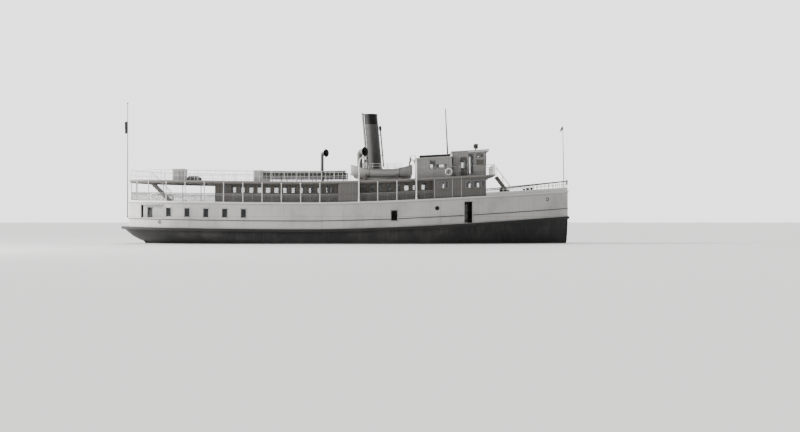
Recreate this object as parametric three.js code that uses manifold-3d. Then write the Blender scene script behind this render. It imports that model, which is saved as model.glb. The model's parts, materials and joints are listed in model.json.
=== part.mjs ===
// A single-screw steam passenger ferry of about 1910, built as a 1:2 scale model.
// Every size and place below is in metres of the real ship, and the last lines scale the group to the model.
// +X is forward, +Y is to port and +Z is up. The origin is amidships on the centreline at the waterline.
import * as THREE from "three";
import { mergeVertices } from "three/addons/utils/BufferGeometryUtils.js";
import Module from "manifold-3d";

const wasm = await Module();
wasm.setup();

const MODEL_MM_PER_METRE = 500;

// Driving dimensions of the ship
const LENGTH = 50.7;
const BEAM = 10.4;
const DRAUGHT = 2.6;
const AFT_END = -LENGTH / 2;
const FORE_END = LENGTH / 2;
const STERN_RUN = 8;
const BOW_RUN = 18;
const BOW_FULLNESS = 0.85;
const MAIN_DECK = 1.6;
const PROMENADE_DECK = 4.5;
const HURRICANE_DECK = 6.8;
const SHEER = { lowest: -3.65, bow: 1.45, bowPower: 1.6, stern: 0.33, sternPower: 2 };
const GUARD_DEPTH = 0.3;
const PROMENADE_DEPTH = 0.18;
const HURRICANE_DEPTH = 0.16;
const WALL = 0.08;
const DOOR_HEIGHT = 1.98;
// Pieces that rest on each other keep this gap, 0.3 mm in the model
const SEAT = 0.0006;
const SLIM = 0.05;

// The sheer runs straight between these stations, so pieces that are cut at them lie true on each other
const STATIONS = [AFT_END, -22, -20, -18, -13, -8, SHEER.lowest, 2, 7, 11, 14.5, 17.5, 20, 22.2, 24, FORE_END];

const paint = (color, roughness = 0.6, metalness = 0) =>
  new THREE.MeshStandardMaterial({ color, roughness, metalness });
const MATERIALS = {
  white: paint(0xd9d9d4),
  grey: paint(0x9b9b96),
  black: paint(0x1c1c1c),
  planks: paint(0x8d877c, 0.85),
  canvas: paint(0x57554f, 0.9),
  iron: paint(0x3a3a3a, 0.5, 0.6),
  bronze: paint(0x7d6a45, 0.4, 1),
  wood: paint(0x5f5040, 0.7),
};
const SIDES = [
  ["starboard", -1],
  ["port", 1],
];
const { lerp, degToRad } = THREE.MathUtils;

function fairSheer(x) {
  const forward = x > SHEER.lowest;
  const reach = (x - SHEER.lowest) / ((forward ? FORE_END : AFT_END) - SHEER.lowest);
  return forward ? SHEER.bow * reach ** SHEER.bowPower : SHEER.stern * reach ** SHEER.sternPower;
}

// A straight run between the values of a function at the places in a list
function between(places, valueAt, x) {
  const next = places.findIndex((place) => place >= x);
  const i = next < 0 ? places.length - 2 : Math.max(0, next - 1);
  const [low, high] = [places[i], places[i + 1]];
  return lerp(valueAt(low), valueAt(high), (x - low) / (high - low));
}

const sheer = (x) => between(STATIONS, fairSheer, x);
const mainDeck = (x) => MAIN_DECK + sheer(x);
const promenadeDeck = (x) => PROMENADE_DECK + sheer(x);
const hurricaneDeck = (x) => HURRICANE_DECK + sheer(x);
const above = (deck, height) => (x) => deck(x) + height;
const underPromenade = above(promenadeDeck, -PROMENADE_DEPTH - SEAT);
const underHurricane = above(hurricaneDeck, -HURRICANE_DEPTH - SEAT);
// Where a flat foot or head meets a sloping deck, over the reach of the piece each way
const footing = (deck, x, reach) => Math.max(deck(x - reach), deck(x + reach)) + SEAT;
const ceiling = (underside, x, reach) => Math.min(underside(x - reach), underside(x + reach));

// Deck outlines: an elliptical stern, straight sides and a fine bow, set in from the guard's edge
const outline = (side, aft, fore) => ({
  half: BEAM / 2 - side,
  aft: AFT_END + aft,
  fore: FORE_END - fore,
  sternRun: STERN_RUN - aft,
  bowRun: BOW_RUN - fore,
});
const inset = (line, by) => ({
  half: line.half - by,
  aft: line.aft + by,
  fore: line.fore - by,
  sternRun: line.sternRun - by,
  bowRun: line.bowRun - by,
});
const GUARD = outline(0, 0, 0);
const PLATING = outline(0.2, 0.85, 0.2);
const PROMENADE = outline(0.05, 0.75, 0.1);
const HOUSE_SIDE = outline(0.32, 1.3, 0.4);
const RAIL_LINE = outline(0.4, 1.1, 0.5);
const HURRICANE = outline(0.3, 0.9, 0.3);
const HURRICANE_FORE = 16.6;
const STERN_STEPS = [0.12, 0.5, 1.2, 2.3, 3.8];
const BOW_STEP = 0.6;

const fullness = (distance, run) => 1 - (1 - THREE.MathUtils.clamp(distance / run, 0, 1)) ** 2;

function fairHalfBreadth(line, x) {
  const stern = fullness(x - line.aft, line.sternRun) ** 0.5;
  const bow = fullness(line.fore - x, line.bowRun) ** BOW_FULLNESS;
  return Math.max(SLIM, line.half * stern * bow);
}

// The places where a long piece is cut: its ends, the ship's stations between them and any of its own
function stationsOf(aft, fore, own = []) {
  const nearest = 0.02;
  const inner = [...STATIONS, ...own].filter((x) => x > aft + nearest && x < fore - nearest);
  return [aft, ...inner, fore].sort((a, b) => a - b);
}

const stationsOfLine = (line, aft = line.aft, fore = line.fore) =>
  stationsOf(aft, fore, [...STERN_STEPS.map((step) => line.aft + step), line.fore - BOW_STEP]);

// Half of an outline's breadth, straight from station to station as its pieces are
const halfBreadth = (line, x) => between(stationsOfLine(line), (place) => fairHalfBreadth(line, place), x);

// Closed three.js geometries become solids that can be joined and cut, and go back to geometries at the end
function solidOf(geometry) {
  const bare = geometry.clone();
  bare.deleteAttribute("normal");
  bare.deleteAttribute("uv");
  const merged = mergeVertices(bare, 1e-5);
  const mesh = new wasm.Mesh({
    numProp: 3,
    vertProperties: merged.attributes.position.array,
    triVerts: new Uint32Array(merged.index.array),
  });
  return new wasm.Manifold(mesh);
}

function geometryOf(solid) {
  const { vertProperties, triVerts } = solid.getMesh();
  const geometry = new THREE.BufferGeometry();
  geometry.setAttribute("position", new THREE.BufferAttribute(vertProperties, 3));
  geometry.setIndex(new THREE.BufferAttribute(triVerts, 1));
  return geometry;
}

const join = (...solids) => solids.flat().reduce((sum, solid) => sum.add(solid));
const cut = (solid, ...tools) => tools.flat().reduce((rest, tool) => rest.subtract(tool), solid);

// A block between two corners, given in any order
function block([x0, y0, z0], [x1, y1, z1]) {
  const geometry = new THREE.BoxGeometry(Math.abs(x1 - x0), Math.abs(y1 - y0), Math.abs(z1 - z0));
  return solidOf(geometry.translate((x0 + x1) / 2, (y0 + y1) / 2, (z0 + z1) / 2));
}

// A round bar from one point to another, tapered when the end radius differs
function rod(from, to, radius, sides = 6, endRadius = radius) {
  const [a, b] = [new THREE.Vector3(...from), new THREE.Vector3(...to)];
  const along = b.clone().sub(a);
  const geometry = new THREE.CylinderGeometry(endRadius, radius, along.length(), sides);
  const turn = new THREE.Quaternion().setFromUnitVectors(new THREE.Vector3(0, 1, 0), along.normalize());
  geometry.applyQuaternion(turn).translate(...a.add(b).multiplyScalar(0.5).toArray());
  return solidOf(geometry);
}

// A round bar along a curve
function bentRod(curve, radius, steps, sides = 6) {
  const section = new THREE.Shape().absarc(0, 0, radius, 0, 2 * Math.PI);
  const options = { steps, curveSegments: sides / 2, extrudePath: curve, bevelEnabled: false };
  return solidOf(new THREE.ExtrudeGeometry(section, options));
}

// A turned shape about an upright axis, from a profile of [radius, height] that closes on itself
function lathe(profile, sides = 16) {
  const points = profile.map(([radius, height]) => new THREE.Vector2(radius, height));
  return new THREE.LatheGeometry(points, sides).rotateX(Math.PI / 2);
}

// A mast-like shape leans by moving each level aft, so its foot stays flat
const leaning = (geometry, lean) =>
  solidOf(geometry.applyMatrix4(new THREE.Matrix4().makeShear(0, 0, 0, 0, -lean, 0)));

function pole(height, radius, topRadius, lean = 0, sides = 8) {
  const geometry = new THREE.CylinderGeometry(topRadius, radius, height, sides);
  return leaning(geometry.rotateX(Math.PI / 2).translate(0, 0, height / 2), lean);
}

// A plate whose outline is given in x and z, between two values of y
function sidePlate(points, y0, y1) {
  const shape = new THREE.Shape(points.map(([x, z]) => new THREE.Vector2(x, z)));
  const geometry = new THREE.ExtrudeGeometry(shape, { depth: y1 - y0, bevelEnabled: false });
  return solidOf(geometry.rotateX(Math.PI / 2).translate(0, y1, 0));
}

// A block bent to the ship: its four sides are functions of x
function bent(xs, { starboard, port, bottom, top }) {
  const geometry = new THREE.BoxGeometry(1, 1, 1, xs.length - 1, 1, 1);
  const position = geometry.attributes.position;
  for (let i = 0; i < position.count; i++) {
    const x = xs[Math.round((position.getX(i) + 0.5) * (xs.length - 1))];
    const y = position.getY(i) < 0 ? starboard(x) : port(x);
    const z = position.getZ(i) < 0 ? bottom(x) : top(x);
    position.setXYZ(i, x, y, z);
  }
  return solidOf(geometry);
}

// A straight-sided block whose foot and head follow the sheer
function sheared(aft, fore, y0, y1, bottom, top) {
  return bent(stationsOf(aft, fore), {
    starboard: () => Math.min(y0, y1),
    port: () => Math.max(y0, y1),
    bottom,
    top,
  });
}

// A full-width slab inside an outline
function slab(line, bottom, top, aft = line.aft, fore = line.fore) {
  return bent(stationsOfLine(line, aft, fore), {
    starboard: (x) => -halfBreadth(line, x),
    port: (x) => halfBreadth(line, x),
    bottom,
    top,
  });
}

// The band of a given thickness inside an outline, such as a side wall or a rail
function band(line, thickness, bottom, top) {
  return cut(slab(line, bottom, top), slab(inset(line, thickness), above(bottom, -1), above(top, 1)));
}

// The part of a solid between two x and on one side of the ship: -1 is starboard, 1 is port, 0 is both
function keep(solid, aft, fore, side = 0) {
  const y0 = side > 0 ? SEAT / 2 : -BEAM;
  const y1 = side < 0 ? -SEAT / 2 : BEAM;
  return solid.intersect(block([aft, y0, -BEAM], [fore, y1, 2 * BEAM]));
}

// A hole through a wall along the ship, from a given y outwards. Sill and head are heights over a deck.
function sideHole(deck, side, fromY, [aft, fore, sill, head]) {
  const level = deck((aft + fore) / 2);
  return block([aft, side * fromY, level + sill], [fore, side * BEAM, level + head]);
}

// A hole through a wall that runs across the ship
function crossHole(deck, x, [y0, y1, sill, head]) {
  const reach = 0.4;
  return block([x - reach, y0, deck(x) + sill], [x + reach, y1, deck(x) + head]);
}

// Four walls round a room, open above and below
function room(aft, fore, half, bottom, top) {
  const [inside, under, over] = [half - WALL, above(bottom, -1), above(top, 1)];
  const inner = sheared(aft + WALL, fore - WALL, inside, -inside, under, over);
  return cut(sheared(aft, fore, -half, half, bottom, top), inner);
}

const count = (first, last, pitch) =>
  Array.from({ length: Math.floor((last - first) / pitch + 1.001) }, (_, i) => first + i * pitch);

const ferry = new THREE.Group();

function add(name, solid, material, at = [0, 0, 0], turn = 0) {
  const mesh = new THREE.Mesh(geometryOf(solid), material);
  mesh.name = name;
  mesh.position.set(...at);
  mesh.rotation.z = degToRad(turn);
  ferry.add(mesh);
}

// Hull. Each row is a waterline: height, aft end, fore end, half-breadth, stern run, power, bow run, power.
const HULL_ROWS = [
  [-DRAUGHT, -20.65, 23.7, 2.7, 17, 1.3, 18, 1.3],
  [-2.25, -20.65, 24.2, 3.9, 17, 1.3, 19, 1.2],
  [-1.3, -20.65, 24.6, 4.5, 16.5, 1.2, 20, 1.1],
  [-0.3, -20.7, 24.85, 4.65, 16, 1.1, 20, 1.05],
  [0.25, -22.9, 25, 4.7, 14, 0.85, 20, 1],
  [0.9, -24.2, 25.05, 4.7, 9.5, 0.6, 19.5, 0.92],
  [null, AFT_END + 0.4, 25.15, 4.7, 7.4, 0.5, 18.5, BOW_FULLNESS],
];
const SKEG_HALF = 0.09;
const SCREW = { x: -21.3, z: -1.35, blades: 4, faceX: -20.88 };
const STOCK = { x: -22.15, radius: 0.09, play: 0.014, top: 0.25 };
const SHOE_TOP = -2.42;
const MACHINERY = { aft: -4.5, fore: 6.2, half: 2.1, floor: -2.2, head: 1.1 };

function hullForm() {
  const [, topAft, topFore] = HULL_ROWS.at(-1);
  const xs = stationsOf(topAft, topFore, [...STERN_STEPS.map((step) => topAft + step), topFore - BOW_STEP]);
  const rows = HULL_ROWS.length - 1;
  const geometry = new THREE.BoxGeometry(1, 1, 1, xs.length - 1, 1, rows);
  const position = geometry.attributes.position;
  for (let i = 0; i < position.count; i++) {
    const topX = xs[Math.round((position.getX(i) + 0.5) * (xs.length - 1))];
    const row = HULL_ROWS[Math.round((position.getZ(i) + 0.5) * rows)];
    const [height, aft, fore, half, sternRun, sternPower, bowRun, bowPower] = row;
    const x = lerp(aft, fore, (topX - topAft) / (topFore - topAft));
    const ends = fullness(x - aft, sternRun) ** sternPower * fullness(fore - x, bowRun) ** bowPower;
    const y = Math.sign(position.getY(i)) * Math.max(SKEG_HALF, half * ends);
    position.setXYZ(i, x, y, height ?? mainDeck(topX) - GUARD_DEPTH - SEAT);
  }
  return solidOf(geometry);
}

function addHull() {
  const shoe = block([STOCK.x - 0.4, -SKEG_HALF, -DRAUGHT], [-19.5, SKEG_HALF, SHOE_TOP]);
  const bossing = rod([-17, 0, SCREW.z], [SCREW.faceX, 0, SCREW.z], 0.36, 12, 0.27);
  const { aft, fore, half, floor, head } = MACHINERY;
  const pocket = block([aft, -half, floor], [fore, half, MAIN_DECK + 1]);
  const trunk = rod([STOCK.x, 0, -1], [STOCK.x, 0, STOCK.top + SEAT], STOCK.radius + STOCK.play, 8);
  add("hull", cut(join(hullForm(), shoe, bossing), pocket, trunk), MATERIALS.black);

  const bedplate = block([aft + 0.2, -1, floor + SEAT], [fore - 0.3, 1, floor + 0.4]);
  const boiler = rod([1.4, 0, -0.5], [5.6, 0, -0.5], 1.6, 14);
  const engine = block([aft + 0.2, -0.9, floor + 0.2], [-0.8, 0.9, head]);
  add("boiler_and_engine", join(bedplate, boiler, engine), MATERIALS.iron);
}

function addPropeller() {
  const hub = rod([0.36, 0, 0], [-0.3, 0, 0], 0.2, 10, 0.13);
  const shaft = rod([0, 0, 0], [SCREW.faceX - SCREW.x - SEAT, 0, 0], 0.12, 8);
  const bladeOutline = new THREE.Shape().absellipse(0, 0.56, 0.3, 0.44, 0, 2 * Math.PI);
  const blades = Array.from({ length: SCREW.blades }, (_, i) => {
    const options = { depth: 0.05, curveSegments: 5, bevelEnabled: false };
    const blade = new THREE.ExtrudeGeometry(bladeOutline, options).translate(0, 0, -options.depth / 2);
    blade.rotateX(Math.PI / 2).rotateZ(degToRad(58));
    return solidOf(blade.rotateX((i * 2 * Math.PI) / SCREW.blades));
  });
  add("propeller", join(hub, shaft, blades), MATERIALS.bronze, [SCREW.x, 0, SCREW.z]);
}

function addRudder() {
  const [low, high] = [SHOE_TOP + 0.12, -0.3];
  const bladeOutline = [
    [0.28, low],
    [0.28, high - 0.5],
    [0.1, high],
    [-1.1, high],
    [-1.3, high - 0.7],
    [-1.05, low],
  ];
  const stock = rod([0, 0, SHOE_TOP + SEAT], [0, 0, STOCK.top], STOCK.radius, 8);
  add("rudder", join(sidePlate(bladeOutline, -0.06, 0.06), stock), MATERIALS.black, [STOCK.x, 0, 0]);
}

// Main deck, whose edge overhangs the hull, and the plated sides. Holes are [aft, fore, sill, head].
const RUB_RAIL = { height: 0.85, depth: 0.1, proud: 0.06 };
const AFT_WINDOWS = [-19.1, -17.05, -15, -12.95, -10.9].map((x) => [x - 0.3, x + 0.3, 1.2, 2.2]);
const STERN_BAY = [-22.4, -19.7, 1.05, 2.5];
const COAL_PORT = [5.15, 5.86, 0.7, 1.85];
const FREIGHT_DOORWAY = [13.15, 14.05, 0.06, 2.4];
const PORTHOLE = { x: 10.18, height: 1.85, radius: 0.19 };

// Freight doors hang from a track and slide aft inside the plating. The starboard one stands open.
const FREIGHT_LEAF = { thickness: 0.06, lap: 0.06, clearance: 0.012, travel: 1.05 };
const TRACK_DEPTH = 0.06;

// A board along the inside of the plating. Places are x and distances inwards, levels are z.
function plateBoard(side, [aft, fore], [near, far], [low, high]) {
  const inside = inset(PLATING, WALL);
  const [yAft, yFore] = [halfBreadth(inside, aft), halfBreadth(inside, fore)];
  const slope = Math.atan2(yAft - yFore, fore - aft);
  const length = Math.hypot(yAft - yFore, fore - aft);
  const geometry = new THREE.BoxGeometry(length, far - near, high - low).rotateZ(-side * slope);
  const inwards = (near + far) / 2;
  const x = (aft + fore) / 2 - Math.sin(slope) * inwards;
  const y = side * ((yAft + yFore) / 2 - Math.cos(slope) * inwards);
  return solidOf(geometry.translate(x, y, (low + high) / 2));
}

function addMainDeck() {
  add("main_deck", slab(GUARD, above(mainDeck, -GUARD_DEPTH), mainDeck), MATERIALS.black);

  const { height, depth, proud } = RUB_RAIL;
  const [rubFoot, rubHead] = [above(mainDeck, height), above(mainDeck, height + depth)];
  const rubRail = band(inset(PLATING, -proud), proud + WALL / 2, rubFoot, rubHead);
  const plating = join(band(PLATING, WALL, above(mainDeck, SEAT), underPromenade), rubRail);
  const [aft, fore, , head] = FREIGHT_DOORWAY;
  const { thickness, lap, clearance, travel } = FREIGHT_LEAF;
  const [leafFoot, leafHead] = [mainDeck(fore + lap) + SEAT, mainDeck(aft) + head + lap];
  for (const [name, side] of SIDES) {
    const holes = [...AFT_WINDOWS, STERN_BAY, COAL_PORT, FREIGHT_DOORWAY].map((hole) =>
      sideHole(mainDeck, side, 2, hole),
    );
    const z = mainDeck(PORTHOLE.x) + PORTHOLE.height;
    const porthole = rod([PORTHOLE.x, side * 2, z], [PORTHOLE.x, side * BEAM, z], PORTHOLE.radius, 10);
    const track = plateBoard(
      side,
      [aft - travel - lap, fore + lap],
      [-WALL / 2, clearance + thickness],
      [leafHead + SEAT, leafHead + TRACK_DEPTH],
    );
    const half = keep(plating, AFT_END, FORE_END, side);
    add(`side_plating_${name}`, join(cut(half, holes, porthole), track), MATERIALS.white);

    const open = side < 0 ? travel : 0;
    const leafAft = aft - lap - open;
    const reach = [clearance, clearance + thickness];
    const leaf = plateBoard(side, [leafAft, fore + lap - open], reach, [leafFoot, leafHead]);
    add(`freight_door_${name}`, leaf, MATERIALS.wood);
  }
}

// The stern lobby: a room inside the open bay, with wings out to the plating
const LOBBY = { aft: -22.3, fore: -19.5, half: 3.3, doorway: [-21.75, -21.2, 0.1, 2.2] };

function addSternLobby() {
  const [foot, head] = [above(mainDeck, SEAT), underPromenade];
  const wingHalf = halfBreadth(inset(PLATING, WALL), LOBBY.fore - WALL) - SEAT;
  const wings = sheared(LOBBY.fore - WALL, LOBBY.fore, -wingHalf, wingHalf, foot, head);
  const walls = join(room(LOBBY.aft, LOBBY.fore, LOBBY.half, foot, head), wings);
  const passage = crossHole(mainDeck, LOBBY.fore, [-0.6, 0.6, 0.1, 2.05]);
  const doorways = SIDES.map(([, side]) => sideHole(mainDeck, side, 2, LOBBY.doorway));
  add("stern_lobby", cut(walls, passage, doorways), MATERIALS.white);
}

// The casing over the boiler, which goes up from the main deck through both decks and carries the funnel
const CASING = { aft: 1.4, fore: 6.4, half: 1.5, top: 8.34, plate: 0.08, deckGap: 0.01 };
const CASING_RAIL = { height: 0.6, pitch: 0.78, bar: 0.04 };

function casingCut() {
  const { aft, fore, half, deckGap } = CASING;
  return block([aft - deckGap, -half - deckGap, 3], [fore + deckGap, half + deckGap, 9]);
}

function addCasing() {
  const { aft, fore, half, top, plate } = CASING;
  const walls = room(aft, fore, half, above(mainDeck, SEAT), () => top);
  const lid = block([aft, -half, top - plate], [fore, half, top]);
  const doorway = sideHole(mainDeck, -1, 1, [2.2, 3, 0.1, 2]);
  const { height, pitch, bar } = CASING_RAIL;
  const posts = count(aft + bar, fore - bar, pitch).flatMap((x) =>
    SIDES.map(([, side]) => {
      const y = side * (half - bar);
      return block([x - bar / 2, y - bar / 2, top - plate / 2], [x + bar / 2, y + bar / 2, top + height]);
    }),
  );
  const rail = cut(
    block([aft, -half, top + height - bar], [fore, half, top + height]),
    block([aft + 2 * bar, 2 * bar - half, top], [fore - 2 * bar, half - 2 * bar, top + 1]),
  );
  add("boiler_casing", cut(join(walls, lid, rail, posts), doorway), MATERIALS.white);
}

// The funnel, with the steam pipe on its aft side and the whistle on its fore side
const FUNNEL = {
  x: 3.35,
  radius: 0.76,
  topRadius: 0.74,
  bore: 0.68,
  height: 6.26,
  rake: 0.087,
  capDepth: 0.08,
};
const STEAM_PIPE = { x: -0.92, radius: 0.13, foot: 0.3, head: 6.4 };
const WHISTLE = { x: 0.95, radius: 0.06, foot: 0.3, head: 4.55, bellRadius: 0.11, bellHeight: 0.38 };
const PIPE_BRACKETS = [1.6, 3.9];

function addFunnel() {
  const { x, radius, topRadius, bore, height, rake, capDepth } = FUNNEL;
  const shell = lathe(
    [
      [bore, 0],
      [radius, 0],
      [topRadius, height - capDepth],
      [topRadius + 0.05, height - capDepth],
      [topRadius + 0.05, height],
      [bore, height],
      [bore, 0],
    ],
    24,
  );
  const pipe = (place, from, to, thick) => {
    const geometry = new THREE.CylinderGeometry(thick, thick, to - from, 6).rotateX(Math.PI / 2);
    return leaning(geometry.translate(place, 0, (from + to) / 2), rake);
  };
  const brackets = PIPE_BRACKETS.flatMap((z) =>
    [STEAM_PIPE.x, WHISTLE.x].map((place) => {
      const geometry = new THREE.BoxGeometry(Math.abs(place) - bore, 0.06, 0.06);
      return leaning(geometry.translate((place + Math.sign(place) * bore) / 2, 0, z), rake);
    }),
  );
  const pipes = [
    pipe(STEAM_PIPE.x, STEAM_PIPE.foot, STEAM_PIPE.head, STEAM_PIPE.radius),
    pipe(WHISTLE.x, WHISTLE.foot, WHISTLE.head, WHISTLE.radius),
    pipe(WHISTLE.x, WHISTLE.head, WHISTLE.head + WHISTLE.bellHeight, WHISTLE.bellRadius),
  ];
  add("funnel", join(leaning(shell, rake), brackets, pipes), MATERIALS.grey, [x, 0, CASING.top + SEAT]);
}

// Cowl ventilators turn on coamings of the hurricane deck, and face forward and to starboard
const COAMING = { height: 0.25, margin: 0.05 };
const COWLS = [
  { name: "ventilator_starboard", x: 1.66, y: -2.15, neck: 0.3, height: 3.05, mouth: 0.52, reach: 0.75 },
  { name: "ventilator_port", x: 2.2, y: 2.15, neck: 0.3, height: 3.05, mouth: 0.52, reach: 0.75 },
  { name: "ventilator_aft", x: -2.6, y: -1.2, neck: 0.17, height: 3.05, mouth: 0.44, reach: 0.6 },
];
const COWL_TURN = -40;
const coamingTop = (x) => hurricaneDeck(x) + COAMING.height;

function cowl({ neck, height, mouth, reach }) {
  const skin = 0.03;
  const bell = (by) =>
    solidOf(
      lathe(
        [
          [0, 0],
          [neck * 1.12 - by, 0],
          [lerp(neck, mouth, 0.55) - by, reach * 0.55],
          [mouth - by, reach + (by && skin)],
          [0, reach + (by && skin)],
        ],
        12,
      )
        .rotateY(Math.PI / 2)
        .translate(0, 0, height),
    );
  const elbow = (by) =>
    solidOf(new THREE.SphereGeometry(neck * 1.15 - by, 10, 6).rotateX(Math.PI / 2).translate(0, 0, height));
  const outer = join(rod([0, 0, 0], [0, 0, height], neck, 10), elbow(0), bell(0));
  const inner = join(elbow(skin), bell(skin));
  return cut(outer, inner);
}

function addCowls() {
  for (const { name, x, y, ...shape } of COWLS) {
    add(name, cowl(shape), MATERIALS.grey, [x, y, coamingTop(x) + SEAT], COWL_TURN);
  }
}

// Deck fittings that are built into the decks: bitts, coamings and the steps of the masts
const BITTS = { x: 20.6, y: 1.5, spread: 0.25, radius: 0.12, height: 0.65 };
const MAST_STEP = { radius: 0.16, height: 0.12 };
const JACKSTAFF = { x: 24.72, height: 7.2, radius: 0.05, topRadius: 0.03, lean: 0.02 };
const STAIRWELL = { aft: -21.6, fore: -19.9, y0: -3.35, y1: -2.35 };

const upright = (deck, x, y, radius, height) =>
  rod([x, y, deck(x) - 0.05], [x, y, deck(x) + height], radius, 10);

function addDecks() {
  const bitts = SIDES.flatMap(([, side]) =>
    [-BITTS.spread, BITTS.spread].map((dx) =>
      upright(promenadeDeck, BITTS.x + dx, side * BITTS.y, BITTS.radius, BITTS.height),
    ),
  );
  const jackstaffStep = upright(promenadeDeck, JACKSTAFF.x, 0, 0.1, MAST_STEP.height);
  const promenade = slab(PROMENADE, above(promenadeDeck, -PROMENADE_DEPTH), promenadeDeck);
  add("promenade_deck", join(cut(promenade, casingCut()), bitts, jackstaffStep), MATERIALS.planks);

  const { aft, fore, y0, y1 } = STAIRWELL;
  const underside = above(hurricaneDeck, -HURRICANE_DEPTH);
  const hurricane = slab(HURRICANE, underside, hurricaneDeck, HURRICANE.aft, HURRICANE_FORE);
  const stairwell = block([aft, y0, HURRICANE_DECK - 1], [fore, y1, HURRICANE_DECK + 1]);
  const coamings = COWLS.map(({ x, y, neck }) =>
    upright(hurricaneDeck, x, y, neck + COAMING.margin, COAMING.height),
  );
  const deck = join(cut(hurricane, casingCut(), stairwell), coamings, boatChocks());
  add("hurricane_deck", deck, MATERIALS.canvas);
}

// Railings: bars that follow an outline, on square posts at given x. Bars are [low, high, width].
const POST = 0.05;

// A band centred on a line
const bar = (line, deck, [low, high, width]) =>
  band(inset(line, -width / 2), width, above(deck, low), above(deck, high));

function railing(line, deck, bars, postXs, postTop) {
  const reach = POST / 2;
  const posts = postXs.flatMap((x) =>
    SIDES.map(([, side]) => {
      const y = side * halfBreadth(line, x);
      return block([x - reach, y - reach, footing(deck, x, reach)], [x + reach, y + reach, postTop(x)]);
    }),
  );
  return join(bars.map((size) => bar(line, deck, size)), posts);
}

// Along the promenade deck, pillars 2.1 m apart carry the hurricane deck, with a railing between them
const SIDE_LOBBY = { aft: -0.54, fore: 1.46 };
const PILLAR = { pitch: 2.1, radius: 0.07, aft: -21.5, fore: 7.9 };
const STERN_PILLARS = [-24.05, -23];
const PROMENADE_BARS = [
  [0.08, 0.12, 0.04],
  [0.88, 0.95, 0.07],
];

function addPromenadeRails() {
  const pillarXs = [...STERN_PILLARS, ...count(PILLAR.aft, PILLAR.fore, PILLAR.pitch)].filter(
    (x) => x < SIDE_LOBBY.aft - 0.2 || x > SIDE_LOBBY.fore,
  );
  const pillars = pillarXs.flatMap((x) =>
    SIDES.map(([, side]) => {
      const y = side * halfBreadth(RAIL_LINE, x);
      const foot = [x, y, footing(promenadeDeck, x, PILLAR.radius)];
      return rod(foot, [x, y, ceiling(underHurricane, x, PILLAR.radius)], PILLAR.radius, 6);
    }),
  );
  const whole = join(PROMENADE_BARS.map((size) => bar(RAIL_LINE, promenadeDeck, size)), pillars);
  for (const [name, side] of SIDES) {
    const aftPart = keep(whole, AFT_END, SIDE_LOBBY.aft - SEAT, side);
    const forePart = keep(whole, SIDE_LOBBY.fore + SEAT, FORWARD_HOUSE.aft - SEAT, side);
    add(`promenade_rail_aft_${name}`, aftPart, MATERIALS.white);
    add(`promenade_rail_fore_${name}`, forePart, MATERIALS.white);
  }
}

// The saloon on the promenade deck, its side lobbies and the forward house
const SALOON = { aft: -14.2, half: 3.9, windowPitch: 0.95, firstWindow: -13.1, lastWindow: 8.75 };
const SALOON_WINDOW = { width: 0.72, sill: 1.02, head: 1.98 };
const FORWARD_HOUSE = { aft: 9.8, fore: 15.6 };
const FORWARD_HOUSE_WINDOWS = [
  [10.72, 10.98, 1.1, 1.86],
  [11.12, 11.38, 1.1, 1.86],
  [13.35, 13.88, 1, 1.75],
  [14.17, 14.82, 1, 1.75],
  [15.1, 15.46, 1, 1.75],
];
const WALKWAY = { y0: 4.02, y1: 4.65, head: 1.9 };

function addSaloon() {
  const [foot, head] = [above(promenadeDeck, SEAT), underHurricane];
  const { aft, half, windowPitch, firstWindow, lastWindow } = SALOON;
  const windowXs = count(firstWindow, lastWindow, windowPitch).filter(
    (x) => x < SIDE_LOBBY.aft - 0.3 || x > SIDE_LOBBY.fore + 0.3,
  );
  const { width, sill, head: windowHead } = SALOON_WINDOW;
  for (const [name, side] of SIDES) {
    const wall = sheared(aft, FORWARD_HOUSE.aft - SEAT, side * (half - WALL), side * half, foot, head);
    const windows = windowXs.map((x) =>
      sideHole(promenadeDeck, side, 2, [x - width / 2, x + width / 2, sill, windowHead]),
    );
    const doorway = sideHole(promenadeDeck, side, 2, [0.06, 0.86, 0.05, DOOR_HEIGHT]);
    add(`saloon_side_${name}`, cut(wall, windows, doorway), MATERIALS.white);
  }
  const within = half - WALL - SEAT;
  const openings = [
    [-0.5, 0.5, 0.05, DOOR_HEIGHT],
    [-2.6, -1.5, 1.02, 1.9],
    [1.5, 2.6, 1.02, 1.9],
  ].map((hole) => crossHole(promenadeDeck, aft, hole));
  const aftWall = sheared(aft, aft + WALL, -within, within, foot, head);
  add("saloon_aft_wall", cut(aftWall, openings), MATERIALS.white);
}

function addSideLobbies() {
  const [foot, head] = [above(promenadeDeck, SEAT), underHurricane];
  const { aft, fore } = SIDE_LOBBY;
  const skin = band(HOUSE_SIDE, WALL, foot, head);
  const outer = HOUSE_SIDE.half - WALL / 2;
  for (const [name, side] of SIDES) {
    const ends = [aft, fore - WALL].map((x) => {
      const end = sheared(x, x + WALL, side * (SALOON.half + SEAT), side * outer, foot, head);
      const way = crossHole(promenadeDeck, x, [side * WALKWAY.y0, side * WALKWAY.y1, -1, WALKWAY.head]);
      return cut(end, way);
    });
    add(`side_lobby_${name}`, join(keep(skin, aft, fore, side), ends), MATERIALS.white);
  }
}

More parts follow.
